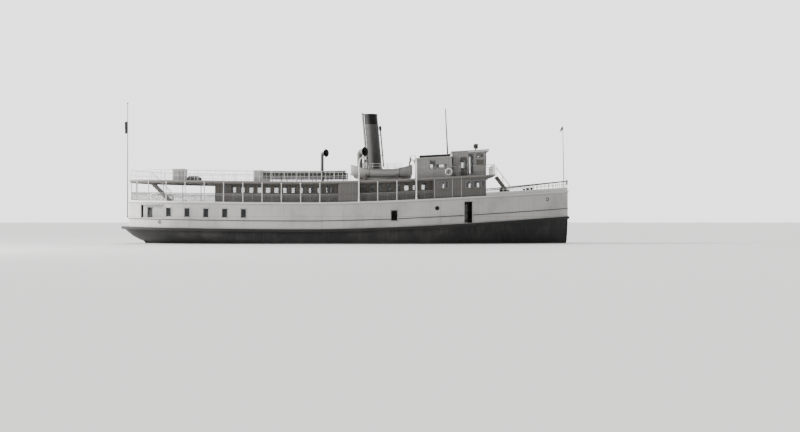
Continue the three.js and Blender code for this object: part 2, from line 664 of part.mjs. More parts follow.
function addForwardHouse() {
  const [foot, head] = [above(promenadeDeck, SEAT), underHurricane];
  const { aft, fore } = FORWARD_HOUSE;
  const middle = inset(HOUSE_SIDE, WALL / 2);
  const endWall = (x, place) =>
    sheared(x, x + WALL, -halfBreadth(middle, place), halfBreadth(middle, place), foot, head);
  const arch = crossHole(promenadeDeck, aft, [0.6 - SALOON.half, SALOON.half - 0.6, -1, DOOR_HEIGHT]);
  const ways = SIDES.map(([, side]) =>
    crossHole(promenadeDeck, aft, [side * WALKWAY.y0, side * WALKWAY.y1, 0.05, WALKWAY.head]),
  );
  const frontOpenings = [
    [-0.4, 0.4, 0.05, DOOR_HEIGHT],
    [-3.4, -2.6, 1, 1.75],
    [-2, -1.2, 1, 1.75],
    [1.2, 2, 1, 1.75],
    [2.6, 3.4, 1, 1.75],
  ].map((hole) => crossHole(promenadeDeck, fore, hole));
  const skin = keep(band(HOUSE_SIDE, WALL, foot, head), aft, fore);
  const whole = join(skin, endWall(fore - WALL, fore), endWall(aft, aft + WALL));
  const walls = cut(whole, arch, ways, frontOpenings);
  for (const [name, side] of SIDES) {
    const windows = FORWARD_HOUSE_WINDOWS.map((hole) => sideHole(promenadeDeck, side, 3.5, hole));
    add(`forward_house_${name}`, cut(keep(walls, AFT_END, FORE_END, side), windows), MATERIALS.white);
  }
}

// The foredeck's low bulwark and the railing on it, which rises towards the stem
const FOREDECK = { aft: 15.61, bulwark: 0.35, firstPost: 16.5, lastPost: 24.4, pitch: 0.88 };
const foredeckRail = (x) => promenadeDeck(x) + lerp(0.86, 1.15, (x - 17) / 8);

function addForedeckRails() {
  const line = inset(PLATING, 0.02);
  const posts = count(FOREDECK.firstPost, FOREDECK.lastPost, FOREDECK.pitch);
  const bulwark = band(line, WALL, above(promenadeDeck, SEAT), above(promenadeDeck, FOREDECK.bulwark));
  const cap = band(inset(line, -0.02), WALL + 0.04, above(foredeckRail, -0.07), foredeckRail);
  const uprights = railing(inset(line, WALL / 2), promenadeDeck, [], posts, above(foredeckRail, -0.03));
  const rails = keep(join(bulwark, cap, uprights), FOREDECK.aft, FORE_END);
  for (const [name, side] of SIDES) {
    add(`foredeck_rail_${name}`, keep(rails, FOREDECK.aft, FORE_END, side), MATERIALS.white);
  }
}

// Railings round the hurricane deck, open where the boats are swung out and at the forward stair
const BOAT_GAP = { aft: 0.35, fore: 8.3 };
const HURRICANE_RAIL = {
  line: inset(HURRICANE, 0.09),
  pitch: 2.76,
  firstPost: -22.95,
  top: 1.15,
  acrossPitch: 1.25,
};
const HURRICANE_BARS = [
  [0.55, 0.59, 0.035],
  [1.1, 1.15, 0.06],
];
const STAIR_GAP = { y0: -3, y1: -2 };

function addHurricaneRails() {
  const { line, pitch, firstPost, top, acrossPitch } = HURRICANE_RAIL;
  const reach = POST / 2;
  const frontX = HURRICANE_FORE - 0.06;
  const ends = [line.aft + 0.45, BOAT_GAP.aft - reach, BOAT_GAP.fore + reach, frontX - reach];
  const regular = count(firstPost, frontX - 0.3, pitch).filter(
    (x) => x < BOAT_GAP.aft - 0.3 || x > BOAT_GAP.fore + 0.3,
  );
  const postTop = above(hurricaneDeck, top - 0.02);
  const sides = railing(line, hurricaneDeck, HURRICANE_BARS, [...ends, ...regular], postTop);
  const edge = halfBreadth(line, frontX);
  const across = {
    starboard: [-edge, STAIR_GAP.y0],
    port: [STAIR_GAP.y1, edge],
  };
  const level = hurricaneDeck(frontX);
  for (const [name, side] of SIDES) {
    const [y0, y1] = across[name];
    const bars = HURRICANE_BARS.map(([low, high, width]) =>
      block([frontX - width, y0, level + low], [frontX, y1, level + high]),
    );
    const posts = count(y0 + reach, y1 - reach, acrossPitch).map((y) =>
      block([frontX - POST, y - reach, level + SEAT], [frontX, y + reach, level + top - 0.02]),
    );
    const forePart = keep(sides, BOAT_GAP.fore, frontX, side);
    add(`hurricane_rail_aft_${name}`, keep(sides, AFT_END, BOAT_GAP.aft, side), MATERIALS.white);
    add(`hurricane_rail_fore_${name}`, join(forePart, bars, posts), MATERIALS.white);
  }
}

// Lifeboats: open double-enders on chocks, under davits that turn in sockets at the promenade deck's edge
const BOAT = { x: 4.1, y: 3.75, keel: 7.3, length: 6.8, beam: 2.05, depth: 0.75, sheer: 0.6, skin: 0.05 };
const BOAT_ROWS = [
  [0, 0.1],
  [0.3, 0.68],
  [0.65, 0.94],
  [1, 1],
];
const CHOCK = { spread: 1.7, thickness: 0.16, half: 0.72, hug: 0.3 };

// The boat's form, grown or shrunk by a distance. Rows are [share of the depth, share of the half-breadth].
function boatForm(grow, floor = 0, rim = 0) {
  const segments = 8;
  const rows = BOAT_ROWS.length - 1;
  const geometry = new THREE.BoxGeometry(2, 1, 1, segments, 1, rows);
  const position = geometry.attributes.position;
  for (let i = 0; i < position.count; i++) {
    const t = position.getX(i);
    const [share, breadth] = BOAT_ROWS[Math.round((position.getZ(i) + 0.5) * rows)];
    const low = 0.3 * t ** 6 - grow + floor;
    const high = BOAT.depth + BOAT.sheer * t ** 2 + rim;
    const half = Math.max(0.03, (BOAT.beam / 2) * breadth * (1 - t ** 2) ** 0.55 + grow);
    const x = t * (BOAT.length / 2 + grow);
    position.setXYZ(i, x, Math.sign(position.getY(i)) * half, lerp(low, high, share));
  }
  return solidOf(geometry);
}

function addBoats() {
  const shell = cut(boatForm(0), boatForm(-BOAT.skin, 0.05, 0.5));
  for (const [name, side] of SIDES) {
    add(`lifeboat_${name}`, shell, MATERIALS.white, [BOAT.x, side * BOAT.y, BOAT.keel]);
  }
}

// Cradles on the hurricane deck, cut to the form of the boats that rest in them
function boatChocks() {
  const { spread, thickness, half, hug } = CHOCK;
  const cleared = geometryOf(boatForm(2 * SEAT));
  return SIDES.flatMap(([, side]) => {
    const y = side * BOAT.y;
    const form = solidOf(cleared.clone().translate(BOAT.x, y, BOAT.keel));
    return [-spread, spread].map((dx) => {
      const [aft, fore] = [BOAT.x + dx - thickness / 2, BOAT.x + dx + thickness / 2];
      const [foot, head] = [above(hurricaneDeck, -0.05), () => BOAT.keel + hug];
      return cut(sheared(aft, fore, y - half, y + half, foot, head), form);
    });
  });
}

const DAVIT = {
  xs: [1.67, 7.93],
  y: 5.02,
  radius: 0.07,
  straight: 3.85,
  reach: 1.05,
  socket: 0.11,
  turn: 40,
};

function addDavits() {
  const { xs, y, radius, straight, reach, socket, turn } = DAVIT;
  for (const [name, side] of SIDES) {
    const inboard = -side;
    const arm = new THREE.CubicBezierCurve3(
      new THREE.Vector3(0, 0, straight - 0.02),
      new THREE.Vector3(0, 0, straight + 0.85),
      new THREE.Vector3(0, inboard * 0.4, straight + 1.15),
      new THREE.Vector3(0, inboard * reach, straight + 0.95),
    );
    const head = block(
      [-0.05, inboard * (reach - 0.07), straight + 0.72],
      [0.05, inboard * (reach + 0.05), straight + 1],
    );
    const davit = join(
      rod([0, 0, 0], [0, 0, straight], radius, 6),
      rod([0, 0, 0], [0, 0, 0.28], socket, 8),
      bentRod(arm, radius, 6),
      head,
    );
    // At rest the arms turn from inboard towards the middle of the boat
    xs.forEach((x, i) => {
      const end = i ? "fore" : "aft";
      const at = [x, side * y, footing(promenadeDeck, x, socket)];
      add(`davit_${end}_${name}`, davit, MATERIALS.white, at, side * (i ? -turn : turn));
    });
  }
}

// The officers' house and the pilothouse on the hurricane deck
const OFFICERS = { aft: 7.9, fore: 11.95, half: 3.6, height: 2.2, eave: 0.15, roofDepth: 0.1 };
const OFFICERS_HOLES = {
  starboard: [
    [9.42, 10, 1.05, 1.9],
    [10.1, 11.26, 1.08, 1.48],
  ],
  port: [
    [8.35, 9.05, 0.1, 1.95],
    [9.42, 10, 1.05, 1.9],
    [10.65, 11.3, 1.05, 1.9],
  ],
};
const NAMEBOARD = { aft: 8.25, fore: 11.66, height: 0.27, thickness: 0.05 };
const PILOTHOUSE = {
  aft: 11.9506,
  fore: 15.7,
  half: 2.5,
  height: 2.8,
  visor: 0.33,
  eave: 0.12,
  roofDepth: 0.12,
  floor: 0.2,
};
const FRONT_WINDOW = { pitch: 0.94, half: 0.38, sill: 1.2, head: 2.1 };
const HELM_STAND = { gap: 0.08, depth: 0.3, half: 0.13, above: 0.15, axle: 0.05 };
const PILOT_DOORWAY = { aft: 12.83, fore: 13.6, sill: 0.2, head: 2.2 };
const PILOTHOUSE_HOLES = [
  [13.76, 14.3, 0.3, 2.5],
  [14.62, 14.96, 2.08, 2.5],
  [15.07, 15.35, 2.08, 2.5],
  [14.62, 15.45, 1.2, 1.8],
];
const SIGNAL_MAST = { x: 11.55, height: 5.5, radius: 0.09, topRadius: 0.05, lean: 0.05 };

function addOfficersHouse() {
  const { aft, fore, half, height, eave, roofDepth } = OFFICERS;
  const walls = room(aft, fore, half, above(hurricaneDeck, SEAT), above(hurricaneDeck, height));
  const holes = SIDES.flatMap(([name, side]) =>
    OFFICERS_HOLES[name].map((hole) => sideHole(hurricaneDeck, side, 2, hole)),
  );
  add("officers_house", cut(walls, holes), MATERIALS.white);

  const roofTop = above(hurricaneDeck, height + SEAT + roofDepth);
  const [edge, underside] = [half + eave, above(hurricaneDeck, height + SEAT)];
  const roof = sheared(aft - eave, fore, -edge, edge, underside, roofTop);
  const boards = SIDES.map(([, side]) =>
    sheared(
      NAMEBOARD.aft,
      NAMEBOARD.fore,
      side * (half + eave),
      side * (half + eave - NAMEBOARD.thickness),
      above(roofTop, -0.02),
      above(roofTop, NAMEBOARD.height),
    ),
  );
  const step = upright(roofTop, SIGNAL_MAST.x, 0, MAST_STEP.radius, MAST_STEP.height);
  add("officers_house_roof", join(roof, boards, step), MATERIALS.white);
  const mast = pole(SIGNAL_MAST.height, SIGNAL_MAST.radius, SIGNAL_MAST.topRadius, SIGNAL_MAST.lean);
  const foot = roofTop(SIGNAL_MAST.x) + MAST_STEP.height + SEAT;
  add("signal_mast", mast, MATERIALS.white, [SIGNAL_MAST.x, 0, foot]);
}

function addPilothouse() {
  const { aft, fore, half, height, visor, eave, roofDepth, floor } = PILOTHOUSE;
  const deck = hurricaneDeck;
  const walls = room(aft, fore, half, above(deck, SEAT), above(deck, height));
  const doorway = [PILOT_DOORWAY.aft, PILOT_DOORWAY.fore, PILOT_DOORWAY.sill, PILOT_DOORWAY.head];
  const sideHoles = SIDES.flatMap(([, side]) =>
    [doorway, ...PILOTHOUSE_HOLES].map((hole) => sideHole(deck, side, 2, hole)),
  );
  const { pitch, half: paneHalf, sill, head } = FRONT_WINDOW;
  const frontHoles = [-2, -1, 0, 1, 2].map((i) =>
    crossHole(deck, fore, [i * pitch - paneHalf, i * pitch + paneHalf, sill, head]),
  );
  add("pilothouse", cut(walls, sideHoles, frontHoles), MATERIALS.white);

  const underside = above(deck, height + SEAT);
  const roofTop = above(underside, roofDepth);
  const roof = sheared(aft - eave, fore + visor, -half - eave, half + eave, underside, roofTop);
  const mount = upright(roofTop, SEARCHLIGHT.x, 0, SEARCHLIGHT.mount, SEARCHLIGHT.mountHeight);
  add("pilothouse_roof", join(roof, mount), MATERIALS.grey);

  const within = half - WALL - SEAT;
  const [planksAft, planksFore] = [aft + WALL + SEAT, fore - WALL - SEAT];
  const planks = sheared(planksAft, planksFore, -within, within, above(deck, SEAT), above(deck, floor));
  const { x, hubHalf, height: wheelHeight } = HELM;
  const { gap, depth, half: standHalf, above: overAxle, axle: axleRadius } = HELM_STAND;
  const pedestalAft = x + hubHalf + gap;
  const level = deck(x) + floor;
  const axis = level + wheelHeight;
  const [low, high] = [level - 0.1, axis + overAxle];
  const pedestal = block([pedestalAft, -standHalf, low], [pedestalAft + depth, standHalf, high]);
  const axle = rod([x + hubHalf + SEAT, 0, axis], [pedestalAft + 0.1, 0, axis], axleRadius, 8);
  add("helm_stand", join(planks, pedestal, axle), MATERIALS.wood);
}

const HELM = {
  x: 14.35,
  height: 1.02,
  rim: 0.56,
  rimWidth: 0.08,
  spokes: 8,
  reach: 0.72,
  hub: 0.09,
  hubHalf: 0.08,
};

function addHelm() {
  const { x, height, rim, rimWidth, spokes, reach, hub, hubHalf } = HELM;
  const profile = [
    [rim - rimWidth, -0.03],
    [rim, -0.03],
    [rim, 0.03],
    [rim - rimWidth, 0.03],
    [rim - rimWidth, -0.03],
  ];
  const ring = solidOf(lathe(profile, 16).rotateY(Math.PI / 2));
  const bars = Array.from({ length: spokes }, (_, i) => {
    const angle = (i * 2 * Math.PI) / spokes;
    return rod([0, 0, 0], [0, reach * Math.cos(angle), reach * Math.sin(angle)], 0.025, 4);
  });
  const boss = rod([-hubHalf, 0, 0], [hubHalf, 0, 0], hub, 10);
  const z = hurricaneDeck(x) + PILOTHOUSE.floor + height;
  add("helm_wheel", join(ring, boss, bars), MATERIALS.wood, [x, 0, z]);
}

// Pilothouse doors, hinged aft of their doorway on pins that stand just clear of the wall
const PIN = { radius: 0.02, setback: 0.04, levels: [0.35, 1.75], length: 0.16, plate: 0.25 };
const PILOT_DOOR = { thickness: 0.05, clearance: 0.01, frame: 0.12, windowSill: 1, windowHead: 1.85 };

function addPilothouseDoors() {
  const { aft, fore, sill, head } = PILOT_DOORWAY;
  const { thickness, clearance, frame, windowSill, windowHead } = PILOT_DOOR;
  const { radius, setback, levels, length, plate } = PIN;
  const near = setback + clearance;
  const far = near + fore - aft - 2 * clearance;
  for (const [name, side] of SIDES) {
    const face = side * (radius / 4 - radius);
    const leaf = block([near, face, sill + clearance], [far, face - side * thickness, head - clearance]);
    const window = block([near + frame, face - side, windowSill], [far - frame, face + side, windowHead]);
    const hinges = levels.flatMap((z) => [
      rod([0, 0, z], [0, 0, z + length], radius, 8),
      block([0, -side * radius, z], [plate, 0, z + length]),
    ]);
    add(`pilothouse_door_${name}`, join(cut(leaf, window), hinges), MATERIALS.wood, [
      aft - setback,
      side * (PILOTHOUSE.half + radius + SEAT),
      hurricaneDeck((aft + fore) / 2),
    ]);
  }
}

const SEARCHLIGHT = { x: 14.7, drum: 0.31, half: 0.26, height: 0.46, mount: 0.16, mountHeight: 0.1 };

function addSearchlight() {
  const { x, drum, half, height, mountHeight } = SEARCHLIGHT;
  const post = rod([0, 0, 0], [0, 0, height], 0.08, 8);
  const lamp = rod([-half, 0, height], [half, 0, height], drum * 0.85, 14, drum);
  const roofTop = hurricaneDeck(x) + PILOTHOUSE.height + SEAT + PILOTHOUSE.roofDepth;
  const foot = roofTop + mountHeight + SEAT;
  add("searchlight", join(post, lamp), MATERIALS.iron, [x, 0, foot]);
}

// Stairs: boxed steps with a sloping soffit, between handrails
const STAIR = { steps: 8, landing: 0.16, railHeight: 0.85, railRadius: 0.03 };

function stair(topX, footX, y0, y1) {
  const { steps, landing, railHeight, railRadius } = STAIR;
  const [high, low] = [hurricaneDeck(topX), footing(promenadeDeck, footX, landing)];
  const going = (footX - topX) / steps;
  const rise = (high - low) / (steps + 1);
  const profile = [[topX, high - HURRICANE_DEPTH]];
  for (let i = 0; i <= steps; i++) {
    const x = topX + Math.max(0, i - 0.5) * going;
    profile.push([x, high - i * rise], [topX + (i + 0.5) * going, high - i * rise]);
  }
  profile.push([footX + going / 2, low], [footX - landing, low]);
  const handrails = [y0 + railRadius, y1 - railRadius].flatMap((y) => {
    const [upper, lower] = [
      [topX + going, y, high + railHeight],
      [footX, y, low + rise + railHeight],
    ];
    return [
      rod(upper, lower, railRadius, 6),
      rod([topX + going, y, high - 2 * rise], upper, railRadius, 6),
      rod([footX, y, low + rise / 2], lower, railRadius, 6),
    ];
  });
  return join(sidePlate(profile, y0, y1), handrails);
}

function addStairs() {
  const sternStair = stair(STAIRWELL.aft + SEAT, -19.3, STAIRWELL.y0 + 0.1, STAIRWELL.y1 - 0.1);
  add("stern_stair", sternStair, MATERIALS.wood);
  const foredeckStair = stair(HURRICANE_FORE + SEAT, 18.25, STAIR_GAP.y0 + 0.06, STAIR_GAP.y1 - 0.06);
  add("foredeck_stair", foredeckStair, MATERIALS.wood);
}

// Deck furniture: the bench rows with their lockers, the box, the raft and the windlass
const BENCH = {
  aft: -9,
  fore: 0.1,
  y: 2.9,
  seat: 0.43,
  half: 0.45,
  back: 1.28,
  legPitch: 1.8,
  lockerAft: -10.05,
};
const DECK_BOX = { aft: -18.88, fore: -17.5, y: 3.2, half: 0.7, height: 1.28 };
const RAFT = { aft: -17.35, fore: -15.85, y: 3.3, spread: 0.5, tube: 0.2 };
const WINDLASS = { aft: 17.2, fore: 18.2, half: 0.65, drum: 0.28, height: 0.6 };

function addDeckFurniture() {
  const deck = hurricaneDeck;
  const foot = above(deck, SEAT);
  const { aft, fore, seat, half, back, legPitch, lockerAft } = BENCH;
  for (const [name, side] of SIDES) {
    const y = side * BENCH.y;
    const board = sheared(aft, fore, y - 0.03, y + 0.03, above(deck, 0.3), above(deck, back));
    const seats = sheared(aft, fore, y - half, y + half, above(deck, seat - 0.05), above(deck, seat));
    const legs = count(aft + 0.3, fore - 0.2, legPitch).map((x) =>
      sheared(x, x + 0.06, y - half + 0.04, y + half - 0.04, foot, above(deck, seat - 0.02)),
    );
    const locker = sheared(lockerAft, aft + 0.02, y - half, y + half, foot, above(deck, back));
    add(`bench_row_${name}`, join(board, seats, legs, locker), MATERIALS.grey);
  }

  const box = sheared(
    DECK_BOX.aft,
    DECK_BOX.fore,
    -DECK_BOX.y - DECK_BOX.half,
    DECK_BOX.half - DECK_BOX.y,
    foot,
    above(deck, DECK_BOX.height),
  );
  add("deck_box", box, MATERIALS.white);

  const level = Math.max(deck(RAFT.aft), deck(RAFT.fore)) + SEAT + RAFT.tube;
  const floats = [-RAFT.spread, RAFT.spread].map((dy) =>
    rod([RAFT.aft, dy - RAFT.y, level], [RAFT.fore, dy - RAFT.y, level], RAFT.tube, 10),
  );
  const crossings = count(RAFT.aft + 0.15, RAFT.fore - 0.2, 0.42).map((x) =>
    block([x, -RAFT.y - RAFT.spread, level - 0.04], [x + 0.12, RAFT.spread - RAFT.y, level + 0.04]),
  );
  add("life_raft", join(floats, crossings), MATERIALS.canvas);

  const bed = above(promenadeDeck, SEAT);
  const { height, drum } = WINDLASS;
  const middle = (WINDLASS.aft + WINDLASS.fore) / 2;
  const axis = promenadeDeck(middle) + height;
  const reach = WINDLASS.half;
  const bedplate = sheared(WINDLASS.aft, WINDLASS.fore, -reach, reach, bed, above(bed, 0.1));
  const cheeks = [-0.35, 0.27].map((y) =>
    block([middle - 0.25, y, promenadeDeck(middle) + 0.05], [middle + 0.25, y + 0.08, axis + 0.15]),
  );
  const barrel = rod([middle, -reach, axis], [middle, reach, axis], drum, 12);
  add("windlass", join(bedplate, cheeks, barrel), MATERIALS.iron);
}

// Staffs at bow and stern, and the ensign that hangs limp from the after one
const ENSIGN_STAFF = { x: -24.75, foot: 2.9, top: 15.85, radius: 0.06, topRadius: 0.035, truck: 0.09 };
const ENSIGN = { aft: -25.1, low: 12.4, high: 13.8, half: 0.05 };

function addStaffs() {
  const { x, foot, top, radius, topRadius, truck } = ENSIGN_STAFF;
  const brackets = [
    [foot, PLATING.aft],
    [promenadeDeck(PROMENADE.aft) - 0.14, PROMENADE.aft],
  ].map(([z, face]) => block([x, -SLIM, z], [face - SEAT, SLIM, z + 0.1]));
  const ball = solidOf(new THREE.SphereGeometry(truck, 10, 6).rotateX(Math.PI / 2).translate(x, 0, top));
  const staff = rod([x, 0, foot], [x, 0, top], radius, 8, topRadius);
  add("ensign_staff", join(staff, brackets, ball), MATERIALS.white);

  const hoist = x - lerp(radius, topRadius, (ENSIGN.low - foot) / (top - foot)) - SEAT;
  const folds = block([ENSIGN.aft, -ENSIGN.half, ENSIGN.low], [hoist, ENSIGN.half, ENSIGN.high]);
  add("ensign", folds, MATERIALS.canvas);

  const jackFoot = promenadeDeck(JACKSTAFF.x) + MAST_STEP.height + SEAT;
  const jackstaff = pole(JACKSTAFF.height, JACKSTAFF.radius, JACKSTAFF.topRadius, JACKSTAFF.lean);
  add("jackstaff", jackstaff, MATERIALS.white, [JACKSTAFF.x, 0, jackFoot]);
}

addHull();
addPropeller();
addRudder();
addMainDeck();
addSternLobby();
addCasing();
addDecks();
addPromenadeRails();
addSaloon();
addSideLobbies();
addForwardHouse();
addForedeckRails();
addHurricaneRails();
addFunnel();
addCowls();
addBoats();
addDavits();
addOfficersHouse();
addPilothouse();
addHelm();
addPilothouseDoors();
addSearchlight();
addStairs();
addDeckFurniture();
addStaffs();

ferry.scale.setScalar(MODEL_MM_PER_METRE);

export default ferry;
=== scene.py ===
"""The looks of a steam passenger ferry, a 1:2 model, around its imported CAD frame.

Sizes and places are in metres of the real ship, with its origin amidships at the waterline. Every piece is
halved as it is finished, so that it lies where the frame's solids are.
"""

import json
import logging
import math
from dataclasses import dataclass, replace
from enum import Enum
from typing import Callable, Iterable, Iterator, Optional, Sequence

import bmesh
import bpy
from mathutils import Matrix, Vector

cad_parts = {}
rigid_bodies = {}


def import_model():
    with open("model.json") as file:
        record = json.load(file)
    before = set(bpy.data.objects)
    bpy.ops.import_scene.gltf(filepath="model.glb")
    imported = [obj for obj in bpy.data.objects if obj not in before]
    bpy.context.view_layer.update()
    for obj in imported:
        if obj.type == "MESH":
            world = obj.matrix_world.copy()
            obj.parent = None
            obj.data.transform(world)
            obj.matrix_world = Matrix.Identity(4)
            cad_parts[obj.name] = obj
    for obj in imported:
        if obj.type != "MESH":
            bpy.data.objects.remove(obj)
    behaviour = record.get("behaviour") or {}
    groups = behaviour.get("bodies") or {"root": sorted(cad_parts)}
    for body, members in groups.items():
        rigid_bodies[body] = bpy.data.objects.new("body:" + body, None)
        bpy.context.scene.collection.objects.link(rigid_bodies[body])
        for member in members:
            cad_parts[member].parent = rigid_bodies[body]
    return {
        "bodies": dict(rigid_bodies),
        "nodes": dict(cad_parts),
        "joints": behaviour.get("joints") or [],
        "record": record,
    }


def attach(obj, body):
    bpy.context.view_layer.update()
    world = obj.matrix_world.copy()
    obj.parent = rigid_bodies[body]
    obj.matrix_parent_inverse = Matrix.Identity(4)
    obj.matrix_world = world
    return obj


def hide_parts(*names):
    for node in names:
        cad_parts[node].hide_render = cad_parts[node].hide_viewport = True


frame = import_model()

LOG = logging.getLogger("ferry")
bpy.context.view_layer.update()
MODEL = 0.5
Point = Sequence[float]
Curve = Callable[[float], float]
Pieces = Iterator[bpy.types.Object]

LENGTH_HALF = 25.35
BEAM_HALF = 5.2
STERN_RUN = 8.0
BOW_RUN = 18.0
BOW_FULLNESS = 0.85
LOWEST_SHEER = -3.65
BOW_RISE, STERN_RISE = 1.45, 0.33
FRAME_SPACING = 0.8
FOOT = 0.001
WALL = 0.08
SHIP = "ship"
SIDES = (("starboard", -1), ("port", 1))


class Deck(Enum):
    """The ship's three decks, by their height amidships."""

    MAIN = 1.6
    PROMENADE = 4.5
    HURRICANE = 6.8

    def at(self, x: float, above: float = 0.0) -> float:
        """Returns the height of a place over this deck, at a place along the ship."""
        return self.value + sheer(x) + above

    def curve(self, above: float = 0.0) -> Curve:
        """Returns the height of a line that follows this deck, as a function of x."""
        return lambda x: self.at(x, above)


def sheer(x: float) -> float:
    """Works out how far the decks rise above their lowest point.

    Args:
        x: The place along the ship.

    Returns:
        The rise.
    """
    if x > LOWEST_SHEER:
        return BOW_RISE * ((x - LOWEST_SHEER) / (LENGTH_HALF - LOWEST_SHEER)) ** 1.6
    return STERN_RISE * ((LOWEST_SHEER - x) / (LENGTH_HALF + LOWEST_SHEER)) ** 2


def fullness(distance: float, run: float) -> float:
    """Returns how far an outline has filled out at a distance from its end, from 0 to 1 past its run."""
    return 1 - (1 - min(1.0, max(0.0, distance / run))) ** 2


@dataclass(frozen=True)
class Outline:
    """A deck outline: an elliptical stern, straight sides and a fine bow, set in from the guard's edge."""

    side: float
    aft: float
    fore: float
    inset: float = 0.0

    @property
    def aft_end(self) -> float:
        """The outline's after end."""
        return self.aft + self.inset - LENGTH_HALF

    @property
    def fore_end(self) -> float:
        """The outline's fore end."""
        return LENGTH_HALF - self.fore - self.inset

    def moved_in(self, by: float) -> "Outline":
        """Returns the outline a distance further in."""
        return replace(self, inset=self.inset + by)

    def half(self, x: float) -> float:
        """Works out half of the outline's breadth.

        Args:
            x: The place along the ship.

        Returns:
            The half-breadth.
        """
        stern = fullness(x - self.aft_end, STERN_RUN - self.aft - self.inset) ** 0.5
        bow = fullness(self.fore_end - x, BOW_RUN - self.fore - self.inset) ** BOW_FULLNESS
        return (BEAM_HALF - self.side - self.inset) * stern * bow

    def spots(self, aft: Optional[float] = None, fore: Optional[float] = None) -> list[float]:
        """Lists places along the outline, close together where it curves.

        Args:
            aft: The first place, or None for the outline's after end.
            fore: The last place, or None for its fore end.

        Returns:
            Places along the ship, from aft to fore.
        """
        start = self.aft_end if aft is None else aft
        end = self.fore_end if fore is None else fore
        stern_steps = 16
        turns = (i * math.pi / 2 / stern_steps for i in range(1, stern_steps))
        places = {start, end, *(self.aft_end + STERN_RUN * (1 - math.cos(turn)) for turn in turns)}
        places.update(self.fore_end - distance for distance in (0.05, 0.15, 0.35, 0.7))
        count = math.ceil((LENGTH_HALF * 2 - STERN_RUN) / FRAME_SPACING)
        places.update(self.aft_end + STERN_RUN + i * FRAME_SPACING for i in range(count))
        return sorted(x for x in places if start <= x <= end)


GUARD = Outline(0, 0, 0)
PLATING = Outline(0.2, 0.85, 0.2)
PROMENADE_EDGE = Outline(0.05, 0.75, 0.1)
HOUSE_SIDE = Outline(0.32, 1.3, 0.4)
RAIL_LINE = Outline(0.4, 1.1, 0.5)
HURRICANE_EDGE = Outline(0.3, 0.9, 0.3)
HURRICANE_FORE = 16.6
# A way through a deck has its after end, fore end, low y and high y
STAIRWELL = (-21.6, -19.9, -3.35, -2.35)


def add_object(name: str, data: bpy.types.ID) -> bpy.types.Object:
    """Adds an object to the scene.

    Args:
        name: The object's name.
        data: Its mesh, lamp or camera.

    Returns:
        The object.
    """
    made = bpy.data.objects.new(name, data)
    bpy.context.scene.collection.objects.link(made)
    return made


class Board:
    """A node tree with short ways to add and join its nodes."""

    def __init__(self, tree: bpy.types.NodeTree) -> None:
        """Starts on a material's or a group's node tree, emptied."""
        self.tree = tree
        tree.nodes.clear()

    def add(self, kind: str, inputs: Optional[dict] = None, **settings: object) -> bpy.types.Node:
        """Adds a node.

        Args:
            kind: The node's type.
            inputs: A value, or another node's output, for each input by its name or number.
            **settings: The node's own settings.

        Returns:
            The new node.
        """
        node = self.tree.nodes.new(kind)
        for name, value in settings.items():
            setattr(node, name, value)
        for name, value in (inputs or {}).items():
            if isinstance(value, bpy.types.NodeSocket):
                self.tree.links.new(value, node.inputs[name])
            else:
                node.inputs[name].default_value = value
        return node

    def math(self, operation: str, *values: object) -> bpy.types.NodeSocket:
        """Returns the result of a Math node on one to three values."""
        return self.add("ShaderNodeMath", dict(enumerate(values)), operation=operation).outputs[0]

    def blend(self, share: object, first: object, second: object, way: str = "MIX") -> bpy.types.NodeSocket:
        """Returns the colour between two colours."""
        inputs = {0: share, 6: first, 7: second}
        return self.add("ShaderNodeMix", inputs, data_type="RGBA", blend_type=way).outputs[2]

    def place(self) -> bpy.types.NodeSocket:
        """Returns the place on the object."""
        return self.add("ShaderNodeTexCoord").outputs["Object"]

    def ramp(self, value: object, low: float, high: float) -> bpy.types.NodeSocket:
        """Returns 0 below a low value and 1 above a high one, smooth between."""
        inputs = {"Value": value, "From Min": low, "From Max": high}
        return self.add("ShaderNodeMapRange", inputs, interpolation_type="SMOOTHSTEP", clamp=True).outputs[0]

    def noise(self, vector: object, scale: float, detail: float = 3.0) -> bpy.types.NodeSocket:
        """Returns a noise value over a vector."""
        inputs = {"Vector": vector, "Scale": scale, "Detail": detail, "Roughness": 0.6}
        return self.add("ShaderNodeTexNoise", inputs).outputs["Fac"]


class Group:
    """A shader node group with named inputs and outputs, built once and placed in many materials."""

    KINDS = {"vector": "NodeSocketVector", "color": "NodeSocketColor", "value": "NodeSocketFloat"}

    def __init__(self, name: str, inputs: dict[str, str], outputs: dict[str, str]) -> None:
        """Makes an empty group.

        Args:
            name: The group's name.
            inputs: The kind of each input by its name.
            outputs: The kind of each output by its name.
        """
        self.tree = bpy.data.node_groups.new(name, "ShaderNodeTree")
        for way, sockets in (("INPUT", inputs), ("OUTPUT", outputs)):
            for socket, kind in sockets.items():
                self.tree.interface.new_socket(socket, in_out=way, socket_type=self.KINDS[kind])
        self.board = Board(self.tree)
        self.given = self.board.add("NodeGroupInput").outputs
        self.result = self.board.add("NodeGroupOutput")

    def give(self, name: str, socket: bpy.types.NodeSocket) -> None:
        """Joins a value to one of the group's outputs."""
        self.tree.links.new(socket, self.result.inputs[name])

    def place(self, board: Board, inputs: dict) -> bpy.types.Node:
        """Returns the group as a node on a material's board, with its values."""
        return board.add("ShaderNodeGroup", inputs, node_tree=self.tree)


